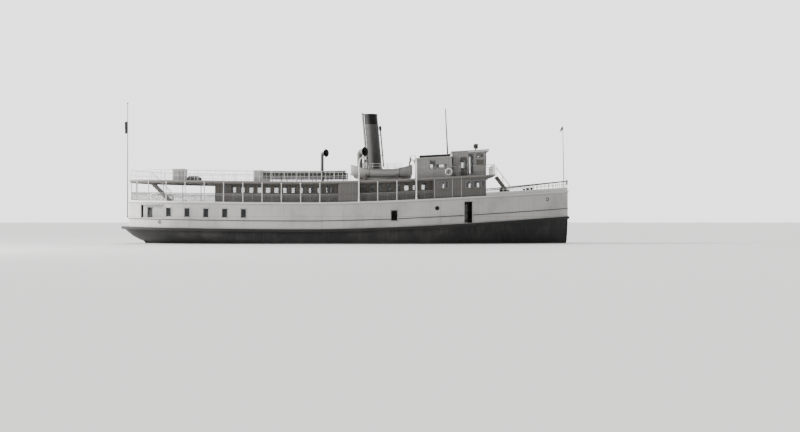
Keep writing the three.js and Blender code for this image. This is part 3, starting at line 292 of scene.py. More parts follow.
def weathering_group() -> Group:
    """Makes the group that stains a paint with rain streaks, grime and patches of older paint.

    Returns:
        The weathering group.
    """
    inputs = {"Vector": "vector", "Color": "color", "Stain": "color", "Amount": "value", "Gloss": "value"}
    group = Group("weathering", inputs, {"Color": "color", "Roughness": "value", "Height": "value"})
    board = group.board
    sizes = {"Vector": group.given["Vector"], "Scale": (2.4, 2.4, 0.14)}
    stretch = board.add("ShaderNodeMapping", sizes).outputs[0]
    streaks = board.ramp(board.noise(stretch, 3.2, 4.0), 0.5, 0.78)
    patches = board.ramp(board.noise(group.given["Vector"], 0.55, 5.0), 0.42, 0.72)
    grime = board.math("MULTIPLY", board.math("ADD", board.math("MULTIPLY", streaks, 0.65), patches), 0.6)
    share = board.math("MULTIPLY", grime, group.given["Amount"])
    fine = board.noise(group.given["Vector"], 42.0, 2.0)
    stained = board.blend(share, group.given["Color"], group.given["Stain"])
    speckle = board.math("MULTIPLY", board.math("ABSOLUTE", board.math("SUBTRACT", fine, 0.5)), 0.35)
    group.give("Color", board.blend(speckle, stained, group.given["Stain"]))
    rough = board.math("ADD", group.given["Gloss"], board.math("MULTIPLY", grime, 0.3))
    group.give("Roughness", board.math("MINIMUM", rough, 1.0))
    relief = board.math("MULTIPLY", patches, 0.2)
    group.give("Height", board.math("ADD", board.math("MULTIPLY", fine, 0.3), relief))
    return group


def boarding_group() -> Group:
    """Makes the group that lays boards side by side, each a little different, with open seams.

    Returns:
        The boarding group.
    """
    inputs = {"Across": "value", "Along": "value", "Width": "value", "Seam": "value", "Run": "value"}
    group = Group("boarding", inputs, {"Seam": "value", "Tone": "value", "Height": "value"})
    board = group.board
    number = board.math("DIVIDE", group.given["Across"], group.given["Width"])
    whole = board.math("FLOOR", number)
    aside = board.math("ABSOLUTE", board.math("SUBTRACT", board.math("SUBTRACT", number, whole), 0.5))
    limit = board.math("SUBTRACT", 0.5, group.given["Seam"])
    seam = board.math("GREATER_THAN", aside, limit)
    share = board.math("FRACT", board.math("MULTIPLY", whole, 0.37))
    shift = board.math("MULTIPLY", share, group.given["Run"])
    butt = board.math("DIVIDE", board.math("ADD", group.given["Along"], shift), group.given["Run"])
    plank = board.math("FLOOR", butt)
    gap = board.math("LESS_THAN", board.math("SUBTRACT", butt, plank), 0.004)
    seams = board.math("MAXIMUM", seam, gap)
    place = board.add("ShaderNodeCombineXYZ", {"X": whole, "Y": plank, "Z": 3.0}).outputs[0]
    tone = board.add("ShaderNodeTexWhiteNoise", {"Vector": place}, noise_dimensions="3D").outputs["Value"]
    group.give("Seam", seams)
    group.give("Tone", tone)
    group.give("Height", board.math("SUBTRACT", 1.0, seams))
    return group


def grain_group() -> Group:
    """Makes the group that draws wood grain along one of the three axes.

    Returns:
        The grain group.
    """
    inputs = {"Vector": "vector", "Stretch": "vector", "Amount": "value"}
    group = Group("grain", inputs, {"Share": "value"})
    board = group.board
    stretched = {0: group.given["Vector"], 1: group.given["Stretch"]}
    along = board.add("ShaderNodeVectorMath", stretched, operation="MULTIPLY").outputs[0]
    fibres = board.noise(along, 9.0, 6.0)
    group.give("Share", board.math("MULTIPLY", board.ramp(fibres, 0.35, 0.7), group.given["Amount"]))
    return group


GROUPS: dict[str, Group] = {}


class Run(Enum):
    """How a surface runs: the axis across it, the axis along it, and whether it is laid in boards."""

    NONE = ("Z", "X", "plain")
    UPRIGHT = ("X", "Z", "plain")
    DECK = ("Y", "X", "boards")
    PLATES = ("Z", "X", "boards")
    STAVES_SIDE = ("X", "Z", "boards")
    STAVES_CROSS = ("Y", "Z", "boards")


@dataclass(frozen=True)
class Coating:
    """What a surface is made of: its name, the frame's slot that it belongs to, and its shader."""

    name: str
    slot: Optional[str] = None

    def material(self) -> bpy.types.Material:
        """Makes the material, or finds the one already made.

        Returns:
            The material.
        """
        known = bpy.data.materials.get(self.name)
        if known:
            return known
        material = bpy.data.materials.new(self.name)
        material.use_nodes = True
        board = Board(material.node_tree)
        surface = self.surface(board)
        board.add("ShaderNodeOutputMaterial", {"Surface": surface.outputs[0]})
        return material

    def surface(self, board: Board) -> bpy.types.Node:
        """Adds the material's shader to its board, and returns it."""
        raise NotImplementedError


@dataclass(frozen=True)
class Finish(Coating):
    """A painted, tarred or varnished surface: its colour, gloss, weathering and boards."""

    color: tuple[float, float, float] = (0.5, 0.5, 0.5)
    stain: tuple[float, float, float] = (0.2, 0.19, 0.17)
    amount: float = 0.5
    gloss: float = 0.5
    metallic: float = 0.0
    run: Run = Run.NONE
    width: float = 0.06
    seam: float = 0.05
    length: float = 3.0
    seam_color: tuple[float, float, float] = (0.03, 0.03, 0.03)
    tone: float = 0.0
    grain: float = 0.0
    bump: float = 0.3
    coat: float = 0.0
    mirror: float = 0.2
    top_color: Optional[tuple[float, float, float]] = None
    top_from: float = 0.0

    def surface(self, board: Board) -> bpy.types.Node:
        """Adds the finish's shader, with grain, weathering and boards over its colour.

        Args:
            board: The material's board.

        Returns:
            The shader's node.
        """
        place = board.place()
        parts = board.add("ShaderNodeSeparateXYZ", {0: place}).outputs
        color: object = (*self.color, 1.0)
        if self.top_color:
            edge = board.math("ADD", parts["Z"], board.math("MULTIPLY", board.noise(place, 5.0), 0.03))
            above = board.ramp(edge, self.top_from, self.top_from + 0.012)
            color = board.blend(above, color, (*self.top_color, 1.0))
        across, along, laid = self.run.value
        if self.grain:
            stretch = tuple(0.12 if axis == along else 2.5 for axis in "XYZ")
            grain = GROUPS["grain"].place(board, {"Vector": place, "Stretch": stretch, "Amount": self.grain})
            dark = tuple(0.45 * value for value in self.color)
            color = board.blend(grain.outputs["Share"], color, (*dark, 1.0))
        wear = {"Stain": (*self.stain, 1.0), "Amount": self.amount, "Gloss": self.gloss}
        paint = GROUPS["weathering"].place(board, {"Vector": place, "Color": color, **wear})
        color, height = paint.outputs["Color"], paint.outputs["Height"]
        if laid == "boards":
            lie = {"Across": parts[across], "Along": parts[along]}
            sizes = {"Width": self.width, "Seam": self.seam, "Run": self.length}
            boards = GROUPS["boarding"].place(board, {**lie, **sizes})
            tone = board.math("MULTIPLY", boards.outputs["Tone"], self.tone)
            shade = board.math("ADD", tone, 1 - self.tone)
            tint = board.add("ShaderNodeCombineColor", {0: shade, 1: shade, 2: shade}).outputs[0]
            color = board.blend(1.0, color, tint, "MULTIPLY")
            color = board.blend(boards.outputs["Seam"], color, (*self.seam_color, 1.0))
            height = board.math("ADD", board.math("MULTIPLY", height, 0.25), boards.outputs["Height"])
        bump = {"Height": height, "Strength": self.bump, "Distance": 0.006}
        normal = board.add("ShaderNodeBump", bump).outputs[0]
        shine = {"Metallic": self.metallic, "Specular IOR Level": self.mirror, "Coat Weight": self.coat}
        rough = {"Roughness": paint.outputs["Roughness"], "Coat Roughness": 0.2}
        inputs = {"Base Color": color, "Normal": normal, **shine, **rough}
        return board.add("ShaderNodeBsdfPrincipled", inputs)


@dataclass(frozen=True)
class Glass(Coating):
    """Window glass: thin, grey and clear enough to see through."""

    color: tuple[float, float, float] = (0.3, 0.32, 0.33)
    cover: float = 0.2

    def surface(self, board: Board) -> bpy.types.Node:
        """Adds the glass's shader, a little uneven.

        Args:
            board: The material's board.

        Returns:
            The shader's node.
        """
        rough = board.math("ADD", board.math("MULTIPLY", board.noise(board.place(), 3.0), 0.12), 0.02)
        inputs = {"Base Color": (*self.color, 1.0), "Roughness": rough, "IOR": 1.45, "Alpha": self.cover}
        return board.add("ShaderNodeBsdfPrincipled", inputs)


@dataclass(frozen=True)
class Netting(Coating):
    """Diamond wire netting, drawn on a thin sheet whose gaps are clear."""

    color: tuple[float, float, float] = (0.17, 0.17, 0.166)
    mesh: float = 0.02
    wire: float = 0.18

    def surface(self, board: Board) -> bpy.types.Node:
        """Adds the netting's shader, solid along two sets of slanting wires.

        Args:
            board: The material's board.

        Returns:
            The shader's node.
        """
        parts = board.add("ShaderNodeSeparateXYZ", {0: board.place()}).outputs
        wires = []
        for operation in ("ADD", "SUBTRACT"):
            slant = board.math("DIVIDE", board.math(operation, parts["X"], parts["Z"]), self.mesh)
            wires.append(board.math("LESS_THAN", board.math("FRACT", slant), self.wire))
        alpha = board.math("MAXIMUM", *wires)
        inputs = {"Base Color": (*self.color, 1.0), "Roughness": 0.5, "Alpha": alpha}
        return board.add("ShaderNodeBsdfPrincipled", inputs)


WHITE = (0.54, 0.535, 0.52)
PAINT = Finish("white_paint", "white_paint", WHITE, amount=0.4, gloss=0.42, bump=0.15)
TRIM = replace(PAINT, name="trim_paint", color=(0.42, 0.415, 0.4), amount=0.3, gloss=0.4)
EDGE_PAINT = replace(PAINT, name="edge_paint", color=(0.22, 0.216, 0.208))
BRIGHT = replace(PAINT, name="fresh_white_paint", color=(0.72, 0.715, 0.7), amount=0.2)
PLATES = replace(
    PAINT, name="white_plates", amount=0.6, run=Run.PLATES, width=1.5, seam=0.006,
    seam_color=(0.34, 0.33, 0.31), length=2.9, tone=0.03, bump=0.35,
)
STAVES_SIDE = replace(
    PAINT, name="white_staves_side", amount=0.45, gloss=0.45, run=Run.STAVES_SIDE, width=0.06, seam=0.05,
    seam_color=(0.38, 0.37, 0.35), tone=0.06, length=40.0, bump=0.5,
)
STAVES_CROSS = replace(STAVES_SIDE, name="white_staves_cross", run=Run.STAVES_CROSS)
# Staves for the forward house and the side lobbies, far darker than the white paint: partly the houses' own
# darker paint, partly painted shade under the deck above.
SHADE_DARKENED_PANELS = replace(
    STAVES_SIDE, name="white_panels", color=(0.135, 0.132, 0.127), seam_color=(0.08, 0.078, 0.074), width=0.14
)
HOUSE_PANELS = replace(
    SHADE_DARKENED_PANELS, name="deckhouse_panels", color=(0.34, 0.335, 0.325), seam_color=(0.2, 0.196, 0.19)
)
# A darker copy of the white paint for the boats' planking: painted shade of their sides, which turn under.
SHADED_BOAT_PAINT = replace(PAINT, name="boat_paint_with_painted_shade", color=(0.33, 0.325, 0.315), amount=0.5)
SALOON_WOOD = replace(
    STAVES_SIDE, name="varnished_staves_side", slot="dark_wood", color=(0.125, 0.11, 0.095),
    seam_color=(0.05, 0.045, 0.04), tone=0.2, grain=0.4, gloss=0.35, coat=0.3,
)
SALOON_WOOD_CROSS = replace(SALOON_WOOD, name="varnished_staves_cross", run=Run.STAVES_CROSS)
HULL_PAINT = Finish(
    "black_hull_paint", "hull_black", (0.11, 0.1, 0.098), (0.09, 0.085, 0.08), amount=0.8, gloss=0.45,
    run=Run.PLATES, width=0.3, seam=0.006, seam_color=(0.05, 0.05, 0.05), length=3.1, bump=0.6,
    top_color=(0.022, 0.022, 0.023), top_from=0.06,
)
BLACK = Finish(
    "black_paint", "hull_black", (0.025, 0.025, 0.026), (0.06, 0.056, 0.052), amount=0.5, gloss=0.5
)
PLANKS = Finish(
    "scrubbed_planks", "deck_planks", (0.36, 0.335, 0.3), (0.15, 0.135, 0.12), amount=0.6, gloss=0.65,
    run=Run.DECK, width=0.065, seam=0.05, tone=0.3, length=3.0, grain=0.55, bump=0.6,
)
CANVAS = Finish(
    "deck_canvas", "deck_canvas", (0.17, 0.165, 0.155), (0.3, 0.29, 0.27), amount=0.5, gloss=0.75,
    run=Run.DECK, width=0.9, seam=0.006, tone=0.1, length=60.0, seam_color=(0.1, 0.1, 0.095), bump=0.5,
)
GREY = Finish(
    "grey_paint", "grey_paint", (0.36, 0.355, 0.345), (0.12, 0.115, 0.11), amount=0.6, gloss=0.45
)
BENCH_PAINT = replace(GREY, name="bench_paint", color=(0.055, 0.054, 0.052))
COWL_PAINT = replace(GREY, name="cowl_paint", color=(0.15, 0.147, 0.142))
BOX_PAINT = replace(GREY, name="box_paint", color=(0.31, 0.306, 0.298))
DULL_PAINT = replace(GREY, name="dull_paint", color=(0.1, 0.1, 0.098))
WORN_WOOD = replace(GREY, name="worn_wood", slot="dark_wood", color=(0.15, 0.142, 0.13), grain=0.4)
FUNNEL_PAINT = replace(
    GREY, name="funnel_paint", color=(0.07, 0.069, 0.067), stain=(0.035, 0.034, 0.032),
    top_color=(0.008, 0.008, 0.008), top_from=6.72,
)
# A darker copy of the white paint: painted shade for the rails and window frames forward, under the deck
# above.
PAINTED_SHADE_RAIL = replace(PAINT, name="shaded_rail_paint", color=(0.2, 0.197, 0.19))
DARK_WOOD = Finish(
    "dark_wood", "dark_wood", (0.1, 0.075, 0.055), (0.03, 0.025, 0.02), amount=0.5, gloss=0.4, grain=0.7,
    coat=0.3,
)
# Dark varnish for the mast and the staffs: partly their varnish, partly painted shade of the backlit poles
# against the sky.
SHADED_SPAR = replace(DARK_WOOD, name="spar_varnish_and_shade", color=(0.085, 0.07, 0.055), run=Run.UPRIGHT)
IRON = Finish(
    "painted_iron", "iron", (0.06, 0.06, 0.06), (0.2, 0.16, 0.13), amount=0.45, gloss=0.45, metallic=0.3
)
BRONZE = Finish(
    "cast_bronze", "bronze", (0.3, 0.25, 0.17), (0.1, 0.12, 0.1), amount=0.6, gloss=0.35, metallic=0.9
)
ROPE = Finish("manila_rope", None, (0.33, 0.3, 0.25), (0.15, 0.13, 0.11), amount=0.5, gloss=0.9, bump=0.8)
TACKLE = replace(ROPE, name="tarred_tackle", color=(0.09, 0.083, 0.072))
CLOTH = Finish(
    "flag_cloth", "flag", (0.085, 0.085, 0.088), (0.05, 0.05, 0.05), amount=0.4, gloss=0.85, bump=0.4
)
DRUM_PAINT = replace(IRON, name="drum_paint", color=(0.05, 0.05, 0.049), metallic=0.0)
BUOY = Finish("buoy_canvas", None, (0.85, 0.845, 0.82), amount=0.3, gloss=0.6)
# A near-black pane: painted shade, standing for the dark room behind a porthole on a wall that has no hole.
PAINTED_SHADE_PANE = replace(IRON, name="painted_shade_pane", slot=None, color=(0.02, 0.022, 0.024), amount=0.2, gloss=0.08)
LENS = replace(PAINTED_SHADE_PANE, name="lens_glass", color=(0.1, 0.105, 0.11), gloss=0.1)
GLASS = Glass("window_glass")
# Nearly opaque dark glass for the plating's windows: painted shade of the deck inside.
PAINTED_SHADE_GLASS = Glass("painted_shade_glass", color=(0.03, 0.032, 0.034), cover=0.9)
NETTING = Netting("wire_netting")


class Work:
    """One piece being built in bmesh, in metres of the real ship."""

    def __init__(self) -> None:
        """Starts with an empty mesh."""
        self.bm = bmesh.new()

    def block(self, low: Point, high: Point, bevel: float = 0.0) -> "Work":
        """Adds a block between two corners, with its edges beveled if asked."""
        centre = [(a + b) / 2 for a, b in zip(low, high)]
        return self.plank(centre, [abs(b - a) for a, b in zip(low, high)], 0.0, bevel)

    def plank(self, centre: Point, size: Point, turn: float, bevel: float = 0.0, tilt: float = 0.0) -> "Work":
        """Adds a block about its centre.

        Args:
            centre: The block's centre.
            size: Its size along its own axes.
            turn: Its turn about the upright axis, in radians.
            bevel: The width of its beveled edges, or 0.
            tilt: Its tilt about its own second axis, before the turn, in radians.

        Returns:
            This work.
        """
        place = Matrix.Translation(centre) @ Matrix.Rotation(turn, 4, "Z") @ Matrix.Rotation(tilt, 4, "Y")
        made = bmesh.ops.create_cube(self.bm, size=1.0, matrix=place @ Matrix.Diagonal((*size, 1.0)))
        if bevel:
            edges = {edge for vert in made["verts"] for edge in vert.link_edges}
            bmesh.ops.bevel(
                self.bm, geom=list(edges), offset=bevel, segments=2, profile=0.5, affect="EDGES", material=-1
            )
        return self

    def rod(
        self, start: Point, end: Point, radius: float, sides: int = 8, end_radius: Optional[float] = None
    ) -> "Work":
        """Adds a round bar between two points.

        Args:
            start: The middle of one end.
            end: The middle of the other.
            radius: The bar's radius.
            sides: The number of its sides.
            end_radius: Its radius at the end where it tapers, or None.

        Returns:
            This work.
        """
        a, b = Vector(start), Vector(end)
        turn = (b - a).to_track_quat("Z", "Y").to_matrix().to_4x4()
        bmesh.ops.create_cone(
            self.bm,
            cap_ends=True,
            cap_tris=False,
            segments=sides,
            radius1=radius,
            radius2=radius if end_radius is None else end_radius,
            depth=(b - a).length,
            matrix=Matrix.Translation((a + b) / 2) @ turn,
        )
        return self

    def path(self, points: Iterable[Point], radius: float, closed: bool = False) -> "Work":
        """Adds a round bar along a line of points.

        Args:
            points: The line.
            radius: The bar's radius.
            closed: Whether it runs back to its start.

        Returns:
            This work.
        """
        curve = bpy.data.curves.new("path", "CURVE")
        curve.dimensions = "3D"
        curve.bevel_depth = radius
        curve.bevel_resolution = 2
        curve.use_fill_caps = not closed
        line = list(points)
        spline = curve.splines.new("POLY")
        spline.points.add(len(line) - 1)
        spline.use_cyclic_u = closed
        for spot, point in zip(spline.points, line):
            spot.co = (*point, 1.0)
        holder = bpy.data.objects.new("path", curve)
        mesh = bpy.data.meshes.new_from_object(holder)
        part = Work()
        part.bm.from_mesh(mesh)
        bpy.data.meshes.remove(mesh)
        bpy.data.objects.remove(holder)
        bpy.data.curves.remove(curve)
        bmesh.ops.remove_doubles(part.bm, verts=part.bm.verts, dist=1e-5)
        return self.join(part)

    def join(self, part: "Work", place: Optional[Matrix] = None) -> "Work":
        """Adds another work's closed bodies to this one.

        Args:
            part: The other work, which is used up.
            place: Where its own axes go, or None to leave it where it is.

        Returns:
            This work.
        """
        if place is not None:
            bmesh.ops.transform(part.bm, matrix=place, verts=part.bm.verts)
        bmesh.ops.recalc_face_normals(part.bm, faces=part.bm.faces)
        mesh = bpy.data.meshes.new("part")
        part.bm.to_mesh(mesh)
        part.bm.free()
        self.bm.from_mesh(mesh)
        bpy.data.meshes.remove(mesh)
        return self

    def loft(self, sections: Sequence[Sequence[Point]]) -> "Work":
        """Adds a closed body through cross-sections.

        Args:
            sections: The cross-sections, which all have the same number of points.

        Returns:
            This work.
        """
        part = Work()
        count = len(sections[0])
        part.sheet(len(sections) - 1, count, lambda column, row: sections[column][row % count])
        bmesh.ops.remove_doubles(part.bm, verts=part.bm.verts, dist=1e-5)
        rims = [edge for edge in part.bm.edges if edge.is_boundary]
        bmesh.ops.holes_fill(part.bm, edges=rims, sides=0)
        return self.join(part)

    def run(self, xs: Iterable[float], y0: float, y1: float, bottom: Curve, top: Curve) -> "Work":
        """Adds a straight-sided block whose underside and top follow curves along the ship."""
        sections = [[(x, y0, bottom(x)), (x, y0, top(x)), (x, y1, top(x)), (x, y1, bottom(x))] for x in xs]
        return self.loft(sections)

    def post(self, spot: Point, deck: Deck, height: float, radius: float, sides: int = 8) -> "Work":
        """Adds an upright bar that stands on a deck at x and y, up to a height over it."""
        x, y = spot
        return self.rod((x, y, deck.at(x)), (x, y, deck.at(x, height)), radius, sides)

    def band(
        self, line: "Outline", thickness: float, bottom: Curve, top: Curve, aft: Optional[float] = None,
        fore: Optional[float] = None, sides: Sequence[int] = (-1, 1), sag: float = 0.0,
    ) -> "Work":
        """Adds a strip that follows an outline, with its thickness inwards.

        Args:
            line: The outline.
            thickness: The strip's thickness.
            bottom: Its lower edge.
            top: Its upper edge.
            aft: Where it starts, or None to run round the stern.
            fore: Where it ends, or None for the outline's fore end.
            sides: The sides it runs along.
            sag: How far its outer edge's corners are rounded off.

        Returns:
            This work.
        """
        inner = line.moved_in(thickness)
        spots = line.spots(aft, fore)
        ring = [(side, x) for side in sides for x in spots]
        if aft is None and len(sides) == 2:
            ring = [(-1, x) for x in reversed(spots)] + [(1, x) for x in spots[1:]]
            return self.loft([self._strip(line, inner, side, x, bottom, top, sag) for side, x in ring])
        for side in sides:
            self.loft([self._strip(line, inner, side, x, bottom, top, sag) for way, x in ring if way == side])
        return self

    @staticmethod
    def _strip(
        line: "Outline", inner: "Outline", side: int, x: float, bottom: Curve, top: Curve, sag: float
    ) -> list[Point]:
        """Works out a strip's cross-section at a place along the ship.

        Args:
            line: The outline of its outer face.
            inner: The outline of its inner face.
            side: The side, -1 to starboard.
            x: The place.
            bottom: The strip's lower edge.
            top: Its upper edge.
            sag: How far its outer corners are rounded off.

        Returns:
            The cross-section's corners.
        """
        xi = min(max(x, inner.aft_end), inner.fore_end)
        yo, yi = side * line.half(x), side * inner.half(xi)
        low, high = bottom(x), top(x)
        corner = [(x, yo, low), (x, yo, high)]
        if sag:
            ys = yo - side * sag
            corner = [(x, ys, low), (x, yo, low + sag), (x, yo, high - sag), (x, ys, high)]
        return [*corner, (xi, yi, high), (xi, yi, low)]

    def slab(
        self, line: "Outline", bottom: Curve, top: Curve, aft: Optional[float] = None,
        fore: Optional[float] = None, cuts: Sequence[tuple[float, float, float, float]] = (),
    ) -> "Work":
        """Adds a deck that fills an outline.

        Args:
            line: The outline.
            bottom: The deck's underside.
            top: Its upper side.
            aft: Its after end, or None for the outline's.
            fore: Its fore end, or None for the outline's.
            cuts: Rectangular ways through it, as aft, fore, low y and high y.

        Returns:
            This work.
        """
        part = Work()
        sections = []
        for x in line.spots(aft, fore):
            y = max(line.half(x), 0.02)
            sections.append([(x, -y, bottom(x)), (x, -y, top(x)), (x, y, top(x)), (x, y, bottom(x))])
        part.loft(sections)
        for x0, x1, y0, y1 in cuts:
            part.pierce(x0, x1, y0, y1)
        return self.join(part)

    def pierce(self, x0: float, x1: float, y0: float, y1: float) -> None:
        """Cuts a rectangular way down through a deck and lines it.

        Args:
            x0: The way's after end.
            x1: Its fore end.
            y0: Its low y.
            y1: Its high y.
        """
        along, across = Vector((1, 0, 0)), Vector((0, 1, 0))
        planes = [(along * x, along) for x in (x0, x1)] + [(across * y, across) for y in (y0, y1)]
        for point, normal in planes:
            geom = [*self.bm.verts, *self.bm.edges, *self.bm.faces]
            bmesh.ops.bisect_plane(self.bm, geom=geom, dist=1e-5, plane_co=point, plane_no=normal)
        middles = [(face, face.calc_center_median()) for face in self.bm.faces]
        inside = [face for face, spot in middles if x0 < spot.x < x1 and y0 < spot.y < y1]
        bmesh.ops.delete(self.bm, geom=inside, context="FACES")
        rims = [edge for edge in self.bm.edges if edge.is_boundary]
        bmesh.ops.bridge_loops(self.bm, edges=rims)

    def turned(self, profile: Sequence[Point], place: Matrix, sides: int = 24) -> "Work":
        """Adds a turned shape.

        Args:
            profile: Points of [radius, height], which close on themselves or on the axis.
            place: Where the turned shape's own axes go.
            sides: The number of steps round the axis.

        Returns:
            This work.
        """
        part = Work()
        verts = [part.bm.verts.new((radius, 0, height)) for radius, height in profile]
        edges = [part.bm.edges.new(pair) for pair in zip(verts, verts[1:])]
        if profile[0][0] > 1e-6 or profile[-1][0] > 1e-6:
            edges.append(part.bm.edges.new((verts[-1], verts[0])))
        bmesh.ops.spin(
            part.bm, geom=[*verts, *edges], cent=(0, 0, 0), axis=(0, 0, 1), angle=2 * math.pi, steps=sides,
            use_merge=True,
        )
        bmesh.ops.remove_doubles(part.bm, verts=part.bm.verts, dist=1e-5)
        return self.join(part, place)

    def ring(self, centre: Point, normal: Point, radius: float, thickness: float, sides: int = 20) -> "Work":
        """Adds a round ring, such as a lifebuoy or a wheel's rim.

        Args:
            centre: The ring's centre.
            normal: The way it faces.
            radius: Its radius, to the middle of its tube.
            thickness: The radius of its tube.
            sides: The number of steps round it.

        Returns:
            This work.
        """
        steps = 8
        profile = [
            (radius + thickness * math.cos(a), thickness * math.sin(a))
            for a in (i * 2 * math.pi / steps for i in range(steps))
        ]
        turn = Vector(normal).to_track_quat("Z", "Y").to_matrix().to_4x4()
        return self.turned(profile, Matrix.Translation(centre) @ turn, sides)

    def sheet(self, columns: int, rows: int, place: Callable[[int, int], Point]) -> list[bmesh.types.BMVert]:
        """Adds a grid and puts each of its points in place.

        Args:
            columns: The number of faces along the grid.
            rows: The number of faces up the grid.
            place: The place of a point by its column and row.

        Returns:
            The grid's points.
        """
        made = bmesh.ops.create_grid(self.bm, x_segments=columns, y_segments=rows, size=0.5)["verts"]
        for vert in made:
            column = round((vert.co.x + 0.5) * columns)
            row = round((vert.co.y + 0.5) * rows)
            vert.co = place(column, row)
        return made

    def finish(
        self, name: str, finish: Coating, body: str = SHIP, replaces: Sequence[str] = (), angle: float = 32.0
    ) -> bpy.types.Object:
        """Halves the piece, makes it an object with its material, and lets it ride on its body.

        Args:
            name: The piece's name.
            finish: Its finish.
            body: The body of the frame that it moves with.
            replaces: The frame's nodes that it stands for.
            angle: Edges that turn more than this many degrees stay sharp.

        Returns:
            The piece's object.
        """
        bmesh.ops.transform(self.bm, matrix=Matrix.Scale(MODEL, 4), verts=self.bm.verts)
        bmesh.ops.recalc_face_normals(self.bm, faces=self.bm.faces)
        mesh = bpy.data.meshes.new(name)
        self.bm.to_mesh(mesh)
        self.bm.free()
        mesh.shade_smooth()
        mesh.set_sharp_from_angle(angle=math.radians(angle))
        piece = add_object(name, mesh)
        mesh.materials.append(finish.material())
        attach(piece, body)
        if replaces:
            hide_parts(*replaces)
        return piece


class Fill(Enum):
    """What stands in a hole of a wall."""

    OPEN = "open"
    FRAMED = "framed"
    WINDOW = "window"
    SASH = "sash"
    DOOR = "door"
    SHUTTER = "shutter"


@dataclass(frozen=True)
class Hole:
    """A hole in a wall: its run along the wall, its sill and head over the deck, and what stands in it."""

    start: float
    end: float
    sill: float
    head: float
    fill: Fill = Fill.WINDOW


@dataclass
class Wall:
    """A wall along an outline or across the ship, with its holes, frames, panes and doors."""

    place: Callable[[float], Point]
    spots: Sequence[float]
    outward: Point
    storey: "Storey"
    finish: Finish
    holes: Sequence[Hole] = ()
    across: bool = False

    def build(self, work: Work, trim: Work, glass: Work, doors: Work) -> None:
        """Adds the wall and what stands in its holes.

        Args:
            work: Where the wall itself goes.
            trim: Where the frames go.
            glass: Where the panes go.
            doors: Where the closed doors go.
        """
        self._sheet(work)
        for hole in self.holes:
            self._fill(hole, trim, glass, doors)

    def _level(self, hole: Hole) -> float:
        """Returns the deck's height at the middle of a hole."""
        return self.storey.deck.at(self.place((hole.start + hole.end) / 2)[0])

    def _sheet(self, work: Work) -> None:
        """Adds the wall's outer sheet, cuts its holes and gives it its thickness.

        Args:
            work: Where the wall goes.
        """
        part = Work()
        spots = list(self.spots)

        def point(column: int, row: int) -> Point:
            """Returns a point of the sheet, at its foot in row 0 or at its head in row 1."""
            x, y = self.place(spots[column])
            return (x, y, self.storey.head(x) if row else self.storey.deck.at(x, FOOT))

        part.sheet(len(spots) - 1, 1, point)
        bm = part.bm
        bm.normal_update()
        bm.faces.ensure_lookup_table()
        if bm.faces[0].normal.dot(Vector(self.outward)) < 0:
            bmesh.ops.reverse_faces(bm, faces=bm.faces)
        axis = 1 if self.across else 0
        run = Vector((0, 1, 0)) if self.across else Vector((1, 0, 0))
        up = Vector((0, 0, 1))
        for hole in self.holes:
            level = self._level(hole)
            sill, head = level + hole.sill, level + hole.head
            planes = [(run * end, run) for end in (hole.start, hole.end)]
            planes += [(up * height, up) for height in (sill, head)]
            for point_on, normal in planes:
                near = []
                for face in bm.faces:
                    places = [vert.co[axis] for vert in face.verts]
                    if max(places) > hole.start - 1e-4 and min(places) < hole.end + 1e-4:
                        near.append(face)
                geom = list({g for face in near for g in (face, *face.edges, *face.verts)})
                bmesh.ops.bisect_plane(bm, geom=geom, dist=1e-5, plane_co=point_on, plane_no=normal)
            middles = [(face, face.calc_center_median()) for face in bm.faces]
            inside = [
                face for face, spot in middles if hole.start < spot[axis] < hole.end and sill < spot.z < head
            ]
            bmesh.ops.delete(bm, geom=inside, context="FACES")
        bmesh.ops.solidify(bm, geom=bm.faces[:], thickness=WALL)
        mesh = bpy.data.meshes.new("sheet")
        bm.to_mesh(mesh)
        bm.free()
        work.bm.from_mesh(mesh)
        bpy.data.meshes.remove(mesh)

    def _fill(self, hole: Hole, trim: Work, glass: Work, doors: Work) -> None:
        """Adds the frame and the pane or door of one hole.

        Args:
            hole: The hole.
            trim: Where the frame goes.
            glass: Where the pane goes.
            doors: Where a closed door goes.
        """
        if hole.fill is Fill.OPEN:
            return
        a, b = Vector(self.place(hole.start)), Vector(self.place(hole.end))
        run = b - a
        turn = math.atan2(run.y, run.x)
        out = Vector((math.sin(turn), -math.cos(turn)))
        if out.dot(Vector(self.outward[:2])) < 0:
            out = -out
        level = self._level(hole)
        width, rise = run.length, hole.head - hole.sill
        middle = (a + b) / 2
        centre = level + (hole.sill + hole.head) / 2
        casing, proud, lap = 0.07, 0.03, 0.02
        depth = WALL + proud
        at = middle + out * (proud - WALL) / 2

        def bar(along: float, height: float, length: float, tall: float, thick: float, into: Work) -> None:
            """Adds a bar that lies in the wall, by its distance along it from the hole's middle."""
            spot = at + run.normalized() * along
            into.plank((spot.x, spot.y, height), (length, thick, tall), turn)

        reach, more = casing / 2 - lap, 2 * (casing - lap)
        for sign in (-1, 1):
            bar(sign * (width / 2 + reach), centre, casing, rise + more, depth, trim)
            bar(0, centre + sign * (rise / 2 + reach), width + more, casing, depth, trim)
        if hole.fill is Fill.FRAMED:
            return
        if hole.fill is Fill.SHUTTER:
            bar(0, centre, width - 0.02, rise - 0.02, 0.04, doors)
            return
        if hole.fill is Fill.DOOR:
            bar(0, centre, width - 0.04, rise - 0.04, 0.05, doors)
            for share, tall in ((-0.24, 0.36), (0.24, 0.32)):
                for sign in (-1, 1):
                    bar(0, centre + rise * share + sign * rise * tall / 2, width - 0.2, 0.03, 0.075, doors)
                    bar(sign * (width / 2 - 0.13), centre + rise * share, 0.03, rise * tall, 0.075, doors)
            return
        bar(0, centre, width, rise, 0.012, glass)
        if hole.fill is Fill.SASH:
            bar(0, centre, width, 0.045, 0.05, trim)
        for sign in (-1, 1):
            bar(sign * (width / 2 - 0.02), centre, 0.04, rise, 0.045, trim)
            bar(0, centre + sign * (rise / 2 - 0.02), width, 0.04, 0.045, trim)


